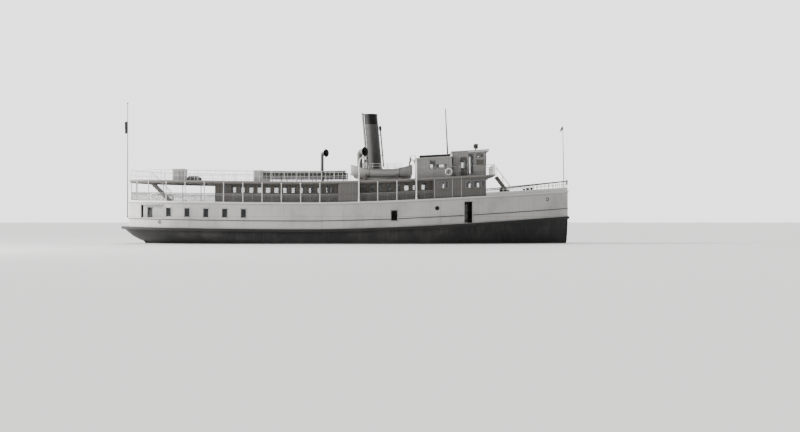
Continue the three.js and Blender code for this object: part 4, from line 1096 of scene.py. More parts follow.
@dataclass(frozen=True)
class Storey:
    """A deck and the height that walls on it reach, with short ways to stand walls there."""

    deck: Deck
    head: Curve

    def side(
        self, line: Outline, side: int, aft: float, fore: float, finish: Finish, holes: Sequence[Hole] = ()
    ) -> Wall:
        """Returns a wall along one side of an outline."""
        spots = line.spots(aft, fore)
        return Wall(lambda x: (x, side * line.half(x)), spots, (0, side, 0), self, finish, holes)

    def straight(
        self, y: float, side: int, aft: float, fore: float, finish: Finish, holes: Sequence[Hole] = ()
    ) -> Wall:
        """Returns a wall that runs straight along the ship."""
        return Wall(lambda x: (x, y), spaced(aft, fore, FRAME_SPACING), (0, side, 0), self, finish, holes)

    def crossing(
        self, x: float, facing: int, y0: float, y1: float, finish: Finish, holes: Sequence[Hole] = ()
    ) -> Wall:
        """Returns a wall across the ship, whose outer face looks aft or forward."""
        return Wall(lambda y: (x, y), [y0, y1], (facing, 0, 0), self, finish, holes, True)

    def room(
        self, aft: float, fore: float, half: float, sides: Finish, ends: Finish,
        holes: tuple[Sequence[Hole], ...] = ((), (), ()),
    ) -> list[Wall]:
        """Returns the four walls of a square-cornered house.

        Args:
            aft: Its after end.
            fore: Its fore end.
            half: Its half-breadth.
            sides: The finish of its sides.
            ends: The finish of its ends.
            holes: The holes of its starboard side, its port side and its front.

        Returns:
            The walls to starboard, to port, aft and at the front.
        """
        starboard, port, front = holes
        return [
            self.straight(-half, -1, aft, fore, sides, starboard),
            self.straight(half, 1, aft, fore, sides, port),
            self.crossing(aft, -1, -half, half, ends),
            self.crossing(fore, 1, -half, half, ends, front),
        ]


@dataclass
class House:
    """A deckhouse: walls whose frames, panes and doors are each one piece."""

    name: str
    walls: list[Wall]
    replaces: Sequence[str]
    frames: Coating = TRIM
    panes: Coating = GLASS

    def build(self) -> Pieces:
        """Builds the walls by their finish, then the trim, the glass and the doors.

        Yields:
            The pieces.
        """
        trim, glass, doors = Work(), Work(), Work()
        by_finish: dict[str, tuple[Finish, Work]] = {}
        for wall in self.walls:
            _, work = by_finish.setdefault(wall.finish.name, (wall.finish, Work()))
            wall.build(work, trim, glass, doors)
        left = list(self.replaces)
        for finish, work in by_finish.values():
            yield work.finish(f"{self.name}_{finish.name}", finish, replaces=left)
            left = []
        parts = ((trim, self.frames, "trim"), (glass, self.panes, "glass"), (doors, DARK_WOOD, "doors"))
        for part, finish, word in parts:
            if part.bm.faces:
                yield part.finish(f"{self.name}_{word}", finish)


@dataclass(frozen=True)
class Assembly:
    """A sub-assembly of the ship, whose methods build its meshes and dress them."""

    def build(self) -> Pieces:
        """Builds the pieces and yields each when it is done."""
        raise NotImplementedError


SCREW = Vector((-21.3, 0.0, -1.35))
STOCK_X = -22.15
KEEL = -2.6
GUARD_DEPTH = 0.3
PROMENADE_DEPTH = 0.18
HURRICANE_DEPTH = 0.16
CASING_AFT, CASING_FORE, CASING_HALF, CASING_TOP = 1.4, 6.4, 1.5, 8.34
SALOON_AFT, SALOON_HALF = -14.2, 3.9
SIDE_LOBBY = (-0.54, 1.46)
FORWARD_HOUSE = (9.8, 15.6)
BOAT_GAP = (0.35, 8.3)
ON_SIDE = Matrix.Rotation(math.pi / 2, 4, "Y")
ACROSS = Matrix.Rotation(math.pi / 2, 4, "X")
under_promenade = Deck.PROMENADE.curve(-PROMENADE_DEPTH)
under_hurricane = Deck.HURRICANE.curve(-HURRICANE_DEPTH)
MAIN_STOREY = Storey(Deck.MAIN, under_promenade)
PROMENADE_STOREY = Storey(Deck.PROMENADE, under_hurricane)
SHAFT = (CASING_AFT - 0.01, CASING_FORE + 0.01, -CASING_HALF - 0.01, CASING_HALF + 0.01)


def spaced(first: float, last: float, pitch: float) -> list[float]:
    """Returns places that are about a pitch apart, both ends included."""
    steps = max(1, round((last - first) / pitch))
    return [first + (last - first) * i / steps for i in range(steps + 1)]


def at(x: float, y: float, z: float) -> Matrix:
    """Returns the move to a place."""
    return Matrix.Translation((x, y, z))


@dataclass(frozen=True)
class Hull(Assembly):
    """The hull from its keel to the guard, with the screw's bossing and the shoe under the rudder.

    Each row is a level from the keel up: its height, aft end, fore end, half-breadth, stern run and power,
    bow run and power. The last one follows the sheer.
    """

    rows: tuple[tuple[float, ...], ...] = (
        (KEEL, -20.65, 23.7, 2.7, 17.0, 1.3, 18.0, 1.3),
        (-2.25, -20.65, 24.2, 3.9, 17.0, 1.3, 19.0, 1.2),
        (-1.3, -20.65, 24.6, 4.5, 16.5, 1.2, 20.0, 1.1),
        (-0.3, -20.7, 24.85, 4.65, 16.0, 1.1, 20.0, 1.05),
        (0.25, -22.9, 25.0, 4.7, 14.0, 0.85, 20.0, 1.0),
        (0.9, -24.2, 25.05, 4.7, 9.5, 0.6, 19.5, 0.92),
        (0.0, -24.95, 25.15, 4.7, 7.4, 0.5, 18.5, 0.85),
    )
    skeg_half: float = 0.09
    shoe_fore: float = -19.5
    shoe_top: float = -2.42
    bossing: tuple[float, float] = (-17.0, -20.88)
    bossing_radius: tuple[float, float] = (0.36, 0.27)
    columns: int = 72
    levels: int = 2

    def sizes(self, share: float, column: float) -> tuple[list[float], float]:
        """Returns the sizes of a level of the hull, faired between its given rows.

        Args:
            share: The level, in rows from the keel up.
            column: The place along the level, from 0 aft to 1 forward.

        Returns:
            The level's sizes without its height, and its height at that place.
        """
        rows = [list(row) for row in self.rows]
        top_x = rows[-1][1] + column * (rows[-1][2] - rows[-1][1])
        rows[-1][0] = Deck.MAIN.at(top_x, -GUARD_DEPTH)
        low = min(int(share), len(rows) - 2)
        t = share - low
        near = (rows[max(low - 1, 0)], rows[low], rows[low + 1], rows[min(low + 2, len(rows) - 1)])
        sizes = []
        for p, q, r, s in zip(*near):
            bend = q + 0.5 * t * (r - p + t * (2 * p - 5 * q + 4 * r - s + t * (3 * (q - r) + s - p)))
            sizes.append(min(max(bend, min(q, r)), max(q, r)))
        return sizes[1:], sizes[0]

    def point(self, side: int, share: float, column: float) -> Point:
        """Returns a point of the hull's skin.

        Args:
            side: The side, -1 to starboard.
            share: The level, in rows from the keel up.
            column: The place along the level, from 0 aft to 1 forward.

        Returns:
            The point.
        """
        (aft, fore, half, stern_run, stern_power, bow_run, bow_power), height = self.sizes(share, column)
        x = aft + column * (fore - aft)
        ends = fullness(x - aft, stern_run) ** stern_power * fullness(fore - x, bow_run) ** bow_power
        return (x, side * max(self.skeg_half, half * ends), height)

    def build(self) -> Pieces:
        """Builds the hull as one fair body."""
        levels = [i / self.levels for i in range((len(self.rows) - 1) * self.levels + 1)]
        sections = []
        for i in range(self.columns + 1):
            column = 0.5 - 0.5 * math.cos(math.pi * i / self.columns)
            section = [self.point(-1, share, column) for share in reversed(levels)]
            sections.append(section + [self.point(1, share, column) for share in levels])
        hull = Work().loft(sections)
        half, (wide, narrow) = self.skeg_half, self.bossing_radius
        hull.block((STOCK_X - 0.4, -half, KEEL), (self.shoe_fore, half, self.shoe_top), 0.03)
        fore, aft = ((x, 0, SCREW.z) for x in self.bossing)
        hull.rod(fore, aft, wide, 24, narrow)
        yield hull.finish("hull_shell", HULL_PAINT, replaces=["hull"])


@dataclass(frozen=True)
class Propeller(Assembly):
    """The screw: a turned hub with twisted blades."""

    blades: int = 4
    root: float = 0.14
    reach: float = 0.86
    chord: float = 0.34
    thickness: float = 0.045
    root_pitch: float = 68.0
    tip_pitch: float = 40.0
    rows: int = 8
    columns: int = 5

    def face(self, column: int, row: int) -> Point:
        """Works out a point of a blade's face.

        Args:
            column: Its column across the blade.
            row: Its row from the root.

        Returns:
            The point.
        """
        share = row / self.rows
        wide = self.chord * math.sin(math.pi * min(0.96, 0.22 + 0.74 * share)) ** 0.7
        twist = math.radians(self.root_pitch + (self.tip_pitch - self.root_pitch) * share)
        along = (column / self.columns - 0.5) * 2 * wide
        return (along * math.cos(twist), along * math.sin(twist), self.root + self.reach * share)

    def blade(self) -> Work:
        """Makes one blade, which stands up from the hub.

        Returns:
            The blade.
        """
        work = Work()
        work.sheet(self.columns, self.rows, self.face)
        bmesh.ops.solidify(work.bm, geom=work.bm.faces[:], thickness=self.thickness)
        return work

    def build(self) -> Pieces:
        """Builds the hub and its blades."""
        profile = [(0, -0.34), (0.09, -0.3), (0.14, -0.2), (0.2, 0.1), (0.19, 0.36), (0, 0.36)]
        screw = Work().turned(profile, Matrix.Translation(SCREW) @ ON_SIDE)
        for i in range(self.blades):
            turn = Matrix.Rotation(i * 2 * math.pi / self.blades, 4, "X")
            screw.join(self.blade(), Matrix.Translation(SCREW) @ turn)
        yield screw.finish("propeller_wheel", BRONZE, "propeller", ["propeller"])


@dataclass(frozen=True)
class Rudder(Assembly):
    """The rudder: a blade with thin edges, hung on its round stock."""

    outline: tuple[Point, ...] = (
        (0.28, -2.28), (-1.05, -2.28), (-1.3, -1.0), (-1.1, -0.3), (0.1, -0.3), (0.28, -0.8),
    )
    layers: tuple[tuple[float, float], ...] = (
        (0.0, 0.02), (0.05, 0.05), (0.5, 0.06), (0.95, 0.05), (1.0, 0.02),
    )
    stock: float = 0.09

    def build(self) -> Pieces:
        """Builds the blade and the stock."""
        ys = [(share * 2 - 1) * thick for share, thick in self.layers]
        rudder = Work().loft([[(STOCK_X + x, y, z) for x, z in self.outline] for y in ys])
        rudder.rod((STOCK_X, 0, -2.41), (STOCK_X, 0, 0.25), self.stock, 16)
        yield rudder.finish("rudder_blade", HULL_PAINT, "rudder", ["rudder"])


@dataclass(frozen=True)
class Machinery(Assembly):
    """The boiler, and the engine's cylinders and columns on their bedplate, below the decks."""

    boiler: float = 1.6
    boiler_axis: float = -0.5
    boiler_ends: tuple[float, float] = (1.4, 5.6)
    bed: tuple[float, float] = (-2.19, -1.8)
    cylinder: float = 0.42
    first_cylinder: float = -3.7
    pitch: float = 1.2
    cylinders: int = 3

    def build(self) -> Pieces:
        """Builds the boiler, the bedplate and the cylinders."""
        aft, fore = ((x, 0, self.boiler_axis) for x in self.boiler_ends)
        works = Work().rod(aft, fore, self.boiler, 40)
        low, high = self.bed
        works.block((-4.3, -1, low), (5.9, 1, high), 0.04)
        for i in range(self.cylinders):
            x = self.first_cylinder + i * self.pitch
            works.rod((x, 0, high), (x, 0, 1.1), self.cylinder, 20)
            works.block((x - 0.4, -0.6, -1.4), (x + 0.4, 0.6, -0.6), 0.05)
        yield works.finish("boiler_and_engine_casting", IRON, replaces=["boiler_and_engine"])


FREIGHT_DOORWAY = Hole(13.15, 14.05, 0.06, 2.4, Fill.FRAMED)
COALING_PORT = Hole(5.15, 5.86, 0.7, 1.85, Fill.FRAMED)
STERN_BAY = Hole(-22.4, -19.7, 1.05, 2.5, Fill.FRAMED)


@dataclass(frozen=True)
class MainDeck(Assembly):
    """The main deck's planking inside the timber guard round the ship."""

    guard: float = 0.215
    rounding: float = 0.03

    def build(self) -> Pieces:
        """Builds the planking, then the guard."""
        deck = Deck.MAIN
        planking = Work().slab(GUARD.moved_in(self.guard + 0.005), deck.curve(-GUARD_DEPTH), deck.curve())
        yield planking.finish("main_deck_planking", PLANKS, replaces=["main_deck"])
        guard = Work().band(GUARD, self.guard, deck.curve(-GUARD_DEPTH), deck.curve(), sag=self.rounding)
        yield guard.finish("guard_timber", BLACK)


@dataclass(frozen=True)
class Plating(Assembly):
    """The main deck's plated sides, with their windows, doorways, portholes and rub rail."""

    windows: tuple[float, ...] = (-19.1, -17.05, -15.0, -12.95, -10.9)
    window_half: float = 0.3
    sill: float = 1.2
    head: float = 2.2
    rub_rail: tuple[float, float] = (0.85, 0.95)
    rub_proud: float = 0.06
    porthole_x: float = 10.18
    porthole_height: float = 1.85
    porthole: float = 0.17
    hawse_x: float = 22.6
    hawse_height: float = 2.1
    hawse: float = 0.16
    low_port_x: float = -20.1
    low_port_height: float = 0.6
    low_port: float = 0.14

    def build(self) -> Pieces:
        """Builds the sides, the mouldings, then the rings of the portholes and their dark panes, painted
        shade of the room behind.
        """
        half = self.window_half
        windows = [Hole(x - half, x + half, self.sill, self.head) for x in self.windows]
        holes = [STERN_BAY, *windows, COALING_PORT, FREIGHT_DOORWAY]
        ends = PLATING.aft_end, PLATING.fore_end
        walls = [MAIN_STOREY.side(PLATING, side, *ends, PLATES, holes) for _, side in SIDES]
        nodes = [f"side_plating_{name}" for name, _ in SIDES]
        # The plating's windows get nearly opaque dark panes, painted shade of the deck inside.
        yield from House("side_plating", walls, nodes, panes=PAINTED_SHADE_GLASS).build()
        yield from self.mouldings()
        yield from self.portholes()

    def mouldings(self) -> Pieces:
        """Builds the rub rail and the plates' edges, which stop at the doorways."""
        deck = Deck.MAIN
        runs = (
            (None, COALING_PORT.start - 0.08),
            (COALING_PORT.end + 0.08, FREIGHT_DOORWAY.start - 0.08),
            (FREIGHT_DOORWAY.end + 0.08, None),
        )
        rail, edges = Work(), Work()
        low, high = self.rub_rail
        for aft, fore in runs:
            outer = PLATING.moved_in(-self.rub_proud)
            rail.band(outer, self.rub_proud + 0.002, deck.curve(low), deck.curve(high), aft, fore, sag=0.02)
            edges.band(PLATING.moved_in(-0.03), 0.032, deck.curve(), deck.curve(0.14), aft, fore)
        edges.band(PLATING.moved_in(-0.03), 0.032, deck.curve(2.6), deck.curve(2.7))
        yield rail.finish("rub_rail", DARK_WOOD)
        yield edges.finish("plating_mouldings", TRIM)

    def portholes(self) -> Pieces:
        """Builds the portholes, whose dark panes on the unpierced plating are painted shade, the hawse rings
        and the low ports at the stern.
        """
        rings, panes, deck = Work(), Work(), Deck.MAIN
        radius = self.porthole
        for _, side in SIDES:
            x = self.porthole_x
            outward = Matrix.Rotation(-side * math.pi / 2, 4, "X")
            place = at(x, side * PLATING.half(x), deck.at(x, self.porthole_height)) @ outward
            edge = ((0.0, -0.02), (0.0, 0.03), (0.03, 0.04), (0.08, 0.03), (0.08, -0.02))
            rings.turned([(radius + more, height) for more, height in edge], place, 28)
            # A dark glass disc on the plating, which has no hole here: painted shade of the room behind.
            panes.turned([(0, 0.005), (radius, 0.005), (radius, 0.012), (0, 0.012)], place, 28)
            x = self.hawse_x
            hawse = (x, side * PLATING.half(x), deck.at(x, self.hawse_height))
            rings.ring(hawse, (0.25, side, 0), self.hawse, 0.045)
            x = self.low_port_x
            port = (x, side * (PLATING.half(x) + 0.005), deck.at(x, self.low_port_height))
            rings.ring(port, (0, side, 0), self.low_port, 0.04)
        yield rings.finish("portholes", IRON)
        yield panes.finish("porthole_shade_panes", PAINTED_SHADE_PANE)


@dataclass(frozen=True)
class SternLobby(Assembly):
    """The room inside the stern's open bay, with wings out to the plating."""

    aft: float = -22.3
    fore: float = -19.5
    half: float = 3.3
    doorway: Hole = Hole(-21.75, -21.2, 0.1, 2.2, Fill.FRAMED)
    passage: Hole = Hole(-0.6, 0.6, 0.1, 2.05, Fill.FRAMED)

    def build(self) -> Pieces:
        """Builds the lobby's walls, doors and passage."""
        storey, half, aft, fore = MAIN_STOREY, self.half, self.aft, self.fore
        wing = PLATING.moved_in(WALL).half(fore - WALL) - 0.01
        walls = [storey.straight(side * half, side, aft, fore, PAINT, [self.doorway]) for _, side in SIDES]
        walls.append(storey.crossing(fore, 1, -wing, wing, PAINT, [self.passage]))
        walls.append(storey.crossing(aft, -1, -half, half, PAINT))
        yield from House("stern_lobby", walls, ["stern_lobby"]).build()


@dataclass(frozen=True)
class FreightDoor(Assembly):
    """A sliding door of planks with braces on its back, inside the plating. The starboard one is open."""

    name: str
    side: int
    lap: float = 0.06
    travel: float = 1.05
    boards: int = 9
    board: float = 0.028
    brace: float = 0.12
    stand_off: float = 0.057

    def build(self) -> Pieces:
        """Builds the planks and the braces."""
        inner = PLATING.moved_in(WALL)
        slid = self.travel if self.side < 0 else 0.0
        aft, fore = FREIGHT_DOORWAY.start - self.lap - slid, FREIGHT_DOORWAY.end + self.lap - slid
        y_aft, y_fore = inner.half(aft), inner.half(fore)
        slope = math.atan2(y_fore - y_aft, fore - aft) * self.side
        length = math.hypot(fore - aft, y_fore - y_aft)
        low = Deck.MAIN.at(FREIGHT_DOORWAY.end + self.lap, 0.01)
        high = Deck.MAIN.at(FREIGHT_DOORWAY.start, FREIGHT_DOORWAY.head + self.lap)
        y = self.side * ((y_aft + y_fore) / 2 - self.stand_off)
        middle = Vector(((aft + fore) / 2, y, (low + high) / 2))
        along = Vector((math.cos(slope), math.sin(slope), 0))
        back = Vector((-along.y, along.x, 0)) * -self.side * 0.02
        door = Work()
        for i in range(self.boards):
            centre = middle + along * (length * ((i + 0.5) / self.boards - 0.5))
            door.plank(centre, (length / self.boards - 0.006, self.board, high - low), slope)
        for height in (low + 0.25, middle.z, high - 0.2):
            brace = Vector((middle.x, middle.y, height)) + back
            door.plank(brace, (length - 0.06, 0.02, self.brace), slope)
        node = f"freight_door_{self.name}"
        yield door.finish(f"{node}_planks", DARK_WOOD, node, [node])


@dataclass(frozen=True)
class PromenadeDeck(Assembly):
    """The promenade deck's planking and white edge, with its bitts and fairleads."""

    edge: float = 0.098
    bitts_x: float = 20.6
    bitts_y: float = 1.5
    spread: float = 0.25
    bed: tuple[float, float] = (0.4, 0.2)
    fairleads: tuple[float, ...] = (18.9, 23.0)
    fairlead_half: float = 0.3
    horn: float = 0.2

    def build(self) -> Pieces:
        """Builds the planking, the edge and the mooring fittings."""
        line = PROMENADE_EDGE
        planking = Work().slab(line.moved_in(0.1), under_promenade, Deck.PROMENADE.curve(), cuts=[SHAFT])
        yield planking.finish("promenade_deck_planking", PLANKS, replaces=["promenade_deck"])
        edges = Work().band(line, self.edge, under_promenade, Deck.PROMENADE.curve(0.02), sag=0.02)
        yield edges.finish("promenade_deck_edge", PAINT)
        yield self.fittings().finish("mooring_bitts", IRON)

    def fittings(self) -> Work:
        """Makes the pairs of bitts on their beds, and the fairleads at the side.

        Returns:
            The fittings.
        """
        work, deck = Work(), Deck.PROMENADE
        post = [
            (0, 0), (0.19, 0), (0.19, 0.03), (0.12, 0.05), (0.11, 0.5), (0.15, 0.57), (0.13, 0.63), (0, 0.66)
        ]
        x = self.bitts_x
        for _, side in SIDES:
            y = side * self.bitts_y
            for dx in (-self.spread, self.spread):
                work.turned(post, at(x + dx, y, deck.at(x + dx)))
            long, wide = self.bed
            foot, head = deck.at(x - long, -0.05), deck.at(x, 0.05)
            work.block((x - long, y - wide, foot), (x + long, y + wide, head), 0.02)
            half = self.fairlead_half
            for place in self.fairleads:
                y = side * (PLATING.half(place) - half)
                low, high = deck.at(place - half), deck.at(place, 0.1)
                work.block((place - half, y - 0.07, low), (place + half, y + 0.07, high))
                for dx in (-self.horn, self.horn):
                    work.rod((place + dx, y, low), (place + dx * 0.6, y, high + 0.16), 0.05, 12)
        return work


@dataclass(frozen=True)
class HurricaneDeck(Assembly):
    """The hurricane deck's canvas, edge and beams, and the chocks that the boats rest in."""

    edge: float = 0.098
    beam: float = 0.07
    beam_pitch: float = 1.05
    chock_spread: float = 1.7
    chock_half: float = 0.72
    chock_shoulder: float = 0.56
    chock_middle: float = 0.2
    chock_top: float = 7.62

    def build(self) -> Pieces:
        """Builds the canvas, the edge, the dark ceiling of painted shade, the beams and the chocks."""
        line, deck, front = HURRICANE_EDGE, Deck.HURRICANE, HURRICANE_FORE
        cuts = [SHAFT, STAIRWELL]
        canvas = Work().slab(line.moved_in(0.1), under_hurricane, deck.curve(), fore=front - 0.1, cuts=cuts)
        yield canvas.finish("hurricane_deck_canvas", CANVAS, replaces=["hurricane_deck"])
        fascia = Work().band(line, self.edge, under_hurricane, deck.curve(0.03), fore=front, sag=0.02)
        half = line.half(front)
        low, high = under_hurricane(front), deck.at(front, 0.03)
        fascia.block((front - self.edge, -half, low), (front, half, high))
        yield fascia.finish("hurricane_deck_edge", EDGE_PAINT)
        # The ceiling under the deck is dark wood as painted shade of the deck's underside.
        lining = deck.curve(-HURRICANE_DEPTH - 0.02)
        shade_ceiling = Work().slab(line.moved_in(0.12), lining, under_hurricane, fore=front - 0.12, cuts=cuts)
        yield shade_ceiling.finish("hurricane_deck_shade_ceiling", DARK_WOOD)
        # The beams are dark varnished wood, also kept dark as painted shade under the deck.
        yield self.beams().finish("deck_beams_and_shade_shelf", DARK_WOOD)
        yield self.chocks().finish("boat_chocks", DARK_WOOD)

    def beams(self) -> Work:
        """Makes the dark shelf along the deck's sides, painted shade that hides the edge's lit inner face,
        and the beams, clear of the saloon and the stairwell.

        Returns:
            The beams.
        """
        # The shelf is a dark band of painted shade, which hides the lit inner face of the deck's edge.
        shade_shelf, foot = HURRICANE_EDGE.moved_in(0.11), Deck.HURRICANE.curve(-0.3)
        work = Work().band(shade_shelf, 0.05, foot, under_hurricane, fore=HURRICANE_FORE - 0.2)
        half = self.beam / 2
        well_aft, well_fore, well_y0, well_y1 = STAIRWELL
        for x in spaced(-23.4, 9.0, self.beam_pitch):
            y = RAIL_LINE.half(x) - 0.06
            spans = [(-y, y)]
            if x > SALOON_AFT - 0.1:
                spans = [(-y, -SALOON_HALF), (SALOON_HALF, y)]
            elif well_aft - 0.1 < x < well_fore + 0.1:
                spans = [(-y, well_y0 - 0.02), (well_y1 + 0.02, y)]
            for y0, y1 in spans:
                if y1 - y0 > half:
                    work.block((x - half, y0, under_hurricane(x) - 0.06), (x + half, y1, under_hurricane(x)))
        return work

    def chocks(self) -> Work:
        """Makes the four chocks, each with two cheeks that hug the boat's bilges.

        Returns:
            The chocks.
        """
        work, middle = Work(), self.chock_middle
        for _, side in SIDES:
            y = side * Lifeboat.y
            for x in (Lifeboat.x - self.chock_spread, Lifeboat.x + self.chock_spread):
                low = Deck.HURRICANE.at(x)
                for way in (-1, 1):
                    outline = (
                        (self.chock_half, low), (self.chock_half, self.chock_top),
                        (self.chock_shoulder, self.chock_top), (middle, Lifeboat.keel), (middle, low),
                    )
                    work.loft([[(x + t, y + way * dy, z) for dy, z in outline] for t in (-0.08, 0.08)])
                work.block((x - 0.08, y - middle, low), (x + 0.08, y + middle, Lifeboat.keel - 0.03))
        return work


@dataclass(frozen=True)
class RailRun(Assembly):
    """One run of a railing. Where its after end is None, it starts at the middle of the stern."""

    side_name: str
    side: int
    run: str
    aft: Optional[float]
    fore: float
    paint: Coating = EDGE_PAINT

    def start(self, line: Outline) -> float:
        """Returns where the run starts along an outline."""
        return line.aft_end if self.aft is None else self.aft

    def bar(self, line: Outline, height: Curve) -> list[Point]:
        """Returns the points of a bar along an outline, from aft to fore."""
        return [(x, self.side * line.half(x), height(x)) for x in line.spots(self.aft, self.fore)]


@dataclass(frozen=True)
class PromenadeRail(RailRun):
    """One run of the promenade deck's railing, with the pillars that carry the deck above."""

    stern_pillars: tuple[float, ...] = (-24.05, -23.0)
    first_pillar: float = -21.5
    pitch: float = 2.1
    pillars: int = 15
    pillar: float = 0.052
    middle_bar: float = 0.72
    low_bar: float = 0.1
    high_bar: float = 0.84
    cap: tuple[float, float] = (0.88, 0.95)

    def pillar_places(self, start: float) -> list[float]:
        """Lists the run's pillars.

        Args:
            start: Where the run starts.

        Returns:
            The pillars' places along the ship.
        """
        regular = [self.first_pillar + self.pitch * i for i in range(self.pillars)]
        lobby_aft, lobby_fore = SIDE_LOBBY
        return [
            x
            for x in (*self.stern_pillars, *regular)
            if start < x < self.fore - 0.15 and not lobby_aft - 0.2 < x < lobby_fore
        ]

    def build(self) -> Pieces:
        """Builds the pillars and bars, the cap and the netting."""
        line, deck, side = RAIL_LINE, Deck.PROMENADE, self.side
        start = self.start(line)
        places = self.pillar_places(start)
        pillars, bars = Work(), Work()
        for x in places:
            tall = under_hurricane(x) - deck.at(x)
            shaft = self.pillar
            profile = [
                (0, 0), (0.1, 0), (0.1, 0.03), (shaft, 0.06), (shaft, tall - 0.12), (0.1, tall - 0.03),
                (0.1, tall), (0, tall),
            ]
            pillars.turned(profile, at(x, side * line.half(x), deck.at(x)), 14)
        ends = [start + 0.3, *places, self.fore - 0.05]
        for a, b in zip(ends, ends[1:]):
            for x in spaced(a, b, self.pitch / 2)[1:-1]:
                bars.post((x, side * line.half(x)), deck, self.cap[0], 0.016)
        for height in (self.low_bar, self.middle_bar, self.high_bar):
            bars.path(self.bar(line, deck.curve(height)), 0.017)
        cap = Work().band(
            line.moved_in(-0.045), 0.09, deck.curve(self.cap[0]), deck.curve(self.cap[1]), start + 0.001,
            self.fore, [side], 0.015,
        )
        low, high = deck.curve(self.low_bar), deck.curve(self.high_bar)
        net = Work().band(line.moved_in(-0.004), 0.008, low, high, start + 0.001, self.fore, [side])
        node = f"promenade_rail_{self.run}_{self.side_name}"
        yield pillars.finish(f"{node}_pillars", PAINT, replaces=[node])
        yield bars.finish(f"{node}_bars", self.paint)
        yield cap.finish(f"{node}_cap", self.paint)
        yield net.finish(f"{node}_netting", NETTING)


@dataclass(frozen=True)
class ForedeckRail(Assembly):
    """One side of the foredeck's bulwark, with fine stanchions and a wooden rail that rises forward."""

    name: str
    side: int
    aft: float = 15.61
    bulwark: float = 0.33
    last_stanchion: float = 24.95
    bar: tuple[float, float] = (15.7, 25.05)
    pitch: float = 0.44
    stanchion: float = 0.03
    rise_from: float = 17.0
    low_top: float = 0.86
    rise: float = 0.29
    rise_run: float = 8.0

    def top(self, x: float) -> float:
        """Returns the height of the rail's upper side at a place along the ship."""
        return Deck.PROMENADE.at(x, self.low_top + self.rise * (x - self.rise_from) / self.rise_run)

    def build(self) -> Pieces:
        """Builds the bulwark with its stanchions, then the wooden rail."""
        deck, side = Deck.PROMENADE, self.side
        line = PLATING.moved_in(0.02)
        middle = line.moved_in(0.04)
        wood = Work().band(line, WALL, deck.curve(), deck.curve(self.bulwark), self.aft, None, [side])
        sill = line.moved_in(-0.02)
        wood.band(sill, 0.12, deck.curve(self.bulwark - 0.01), deck.curve(0.37), self.aft, None, [side], 0.01)
        for x in spaced(self.aft + 0.14, self.last_stanchion, self.pitch):
            y = side * middle.half(x)
            wood.rod((x, y, deck.at(x, 0.3)), (x, y, self.top(x) - 0.04), self.stanchion)
        spots = line.spots(*self.bar)
        wood.path([(x, side * middle.half(x), (deck.at(x, 0.35) + self.top(x)) / 2) for x in spots], 0.018)
        cap = Work().band(sill, 0.13, lambda x: self.top(x) - 0.11, self.top, self.aft, None, [side], 0.02)
        node = f"foredeck_rail_{self.name}"
        yield wood.finish(f"{node}_bulwark", PAINT, replaces=[node])
        yield cap.finish(f"{node}_cap", DARK_WOOD)


@dataclass(frozen=True)
class HurricaneRail(RailRun):
    """One run of the hurricane deck's railing: light bars on slim stanchions."""

    paint: Coating = PAINT
    height: float = 1.12
    bars: tuple[tuple[float, float], ...] = ((0.57, 0.018), (1.12, 0.028))
    pitch: float = 1.38
    stanchion: float = 0.022
    wire: float = 0.012
    wire_pitch: float = 0.46

    def build(self) -> Pieces:
        """Builds the bars, the stanchions and the thin uprights between them."""
        deck, side, line = Deck.HURRICANE, self.side, HURRICANE_EDGE.moved_in(0.09)
        rail = Work()
        for height, radius in self.bars:
            rail.path(self.bar(line, deck.curve(height)), radius)
        for pitch, radius in ((self.pitch, self.stanchion), (self.wire_pitch, self.wire)):
            for x in spaced(self.start(line) + 0.25, self.fore - 0.03, pitch):
                rail.post((x, side * line.half(x)), deck, self.height, radius, 6)
        if self.run == "fore":
            self.front(rail, line)
        node = f"hurricane_rail_{self.run}_{self.side_name}"
        yield rail.finish(f"{node}_bars", self.paint, replaces=[node])

    def front(self, rail: Work, line: Outline) -> None:
        """Adds the bars across the deck's fore end, up to the stair's gap.

        Args:
            rail: Where the bars go.
            line: The outline that the railing follows.
        """
        deck, front = Deck.HURRICANE, self.fore
        edge = line.half(front)
        y0, y1 = (-edge, -3.0) if self.side < 0 else (-2.0, edge)
        for height, radius in self.bars:
            rail.rod((front, y0, deck.at(front, height)), (front, y1, deck.at(front, height)), radius, 10)
        for y in spaced(y0, y1, 0.6):
            rail.post((front, y), deck, self.height, self.stanchion, 6)


@dataclass(frozen=True)
class Saloon(Assembly):
    """The saloon on the promenade deck: varnished walls with a row of sash windows."""

    first_window: float = -13.1
    pitch: float = 0.95
    windows: int = 24
    window_half: float = 0.29
    sill: float = 1.06
    head: float = 1.88
    doorway: Hole = Hole(0.06, 0.86, 0.05, 1.98, Fill.FRAMED)
    aft_holes: tuple[Hole, ...] = (
        Hole(-2.6, -1.5, 1.02, 1.9), Hole(-0.5, 0.5, 0.05, 1.98, Fill.FRAMED), Hole(1.5, 2.6, 1.02, 1.9),
    )

    def build(self) -> Pieces:
        """Builds the sides and the after wall."""
        places = [self.first_window + self.pitch * i for i in range(self.windows)]
        kept = [x for x in places if not SIDE_LOBBY[0] - 0.3 <= x <= SIDE_LOBBY[1] + 0.3]
        half = self.window_half
        windows = [Hole(x - half, x + half, self.sill, self.head, Fill.SASH) for x in kept]
        holes = sorted([*windows, self.doorway], key=lambda hole: hole.start)
        storey, half, within = PROMENADE_STOREY, SALOON_HALF, SALOON_HALF - WALL
        ends = (SALOON_AFT, FORWARD_HOUSE[0])
        walls = [storey.straight(side * half, side, *ends, SALOON_WOOD, holes) for _, side in SIDES]
        walls.append(storey.crossing(SALOON_AFT, -1, -within, within, SALOON_WOOD_CROSS, self.aft_holes))
        nodes = ["saloon_side_starboard", "saloon_side_port", "saloon_aft_wall"]
        yield from House("saloon", walls, nodes, frames=DARK_WOOD).build()


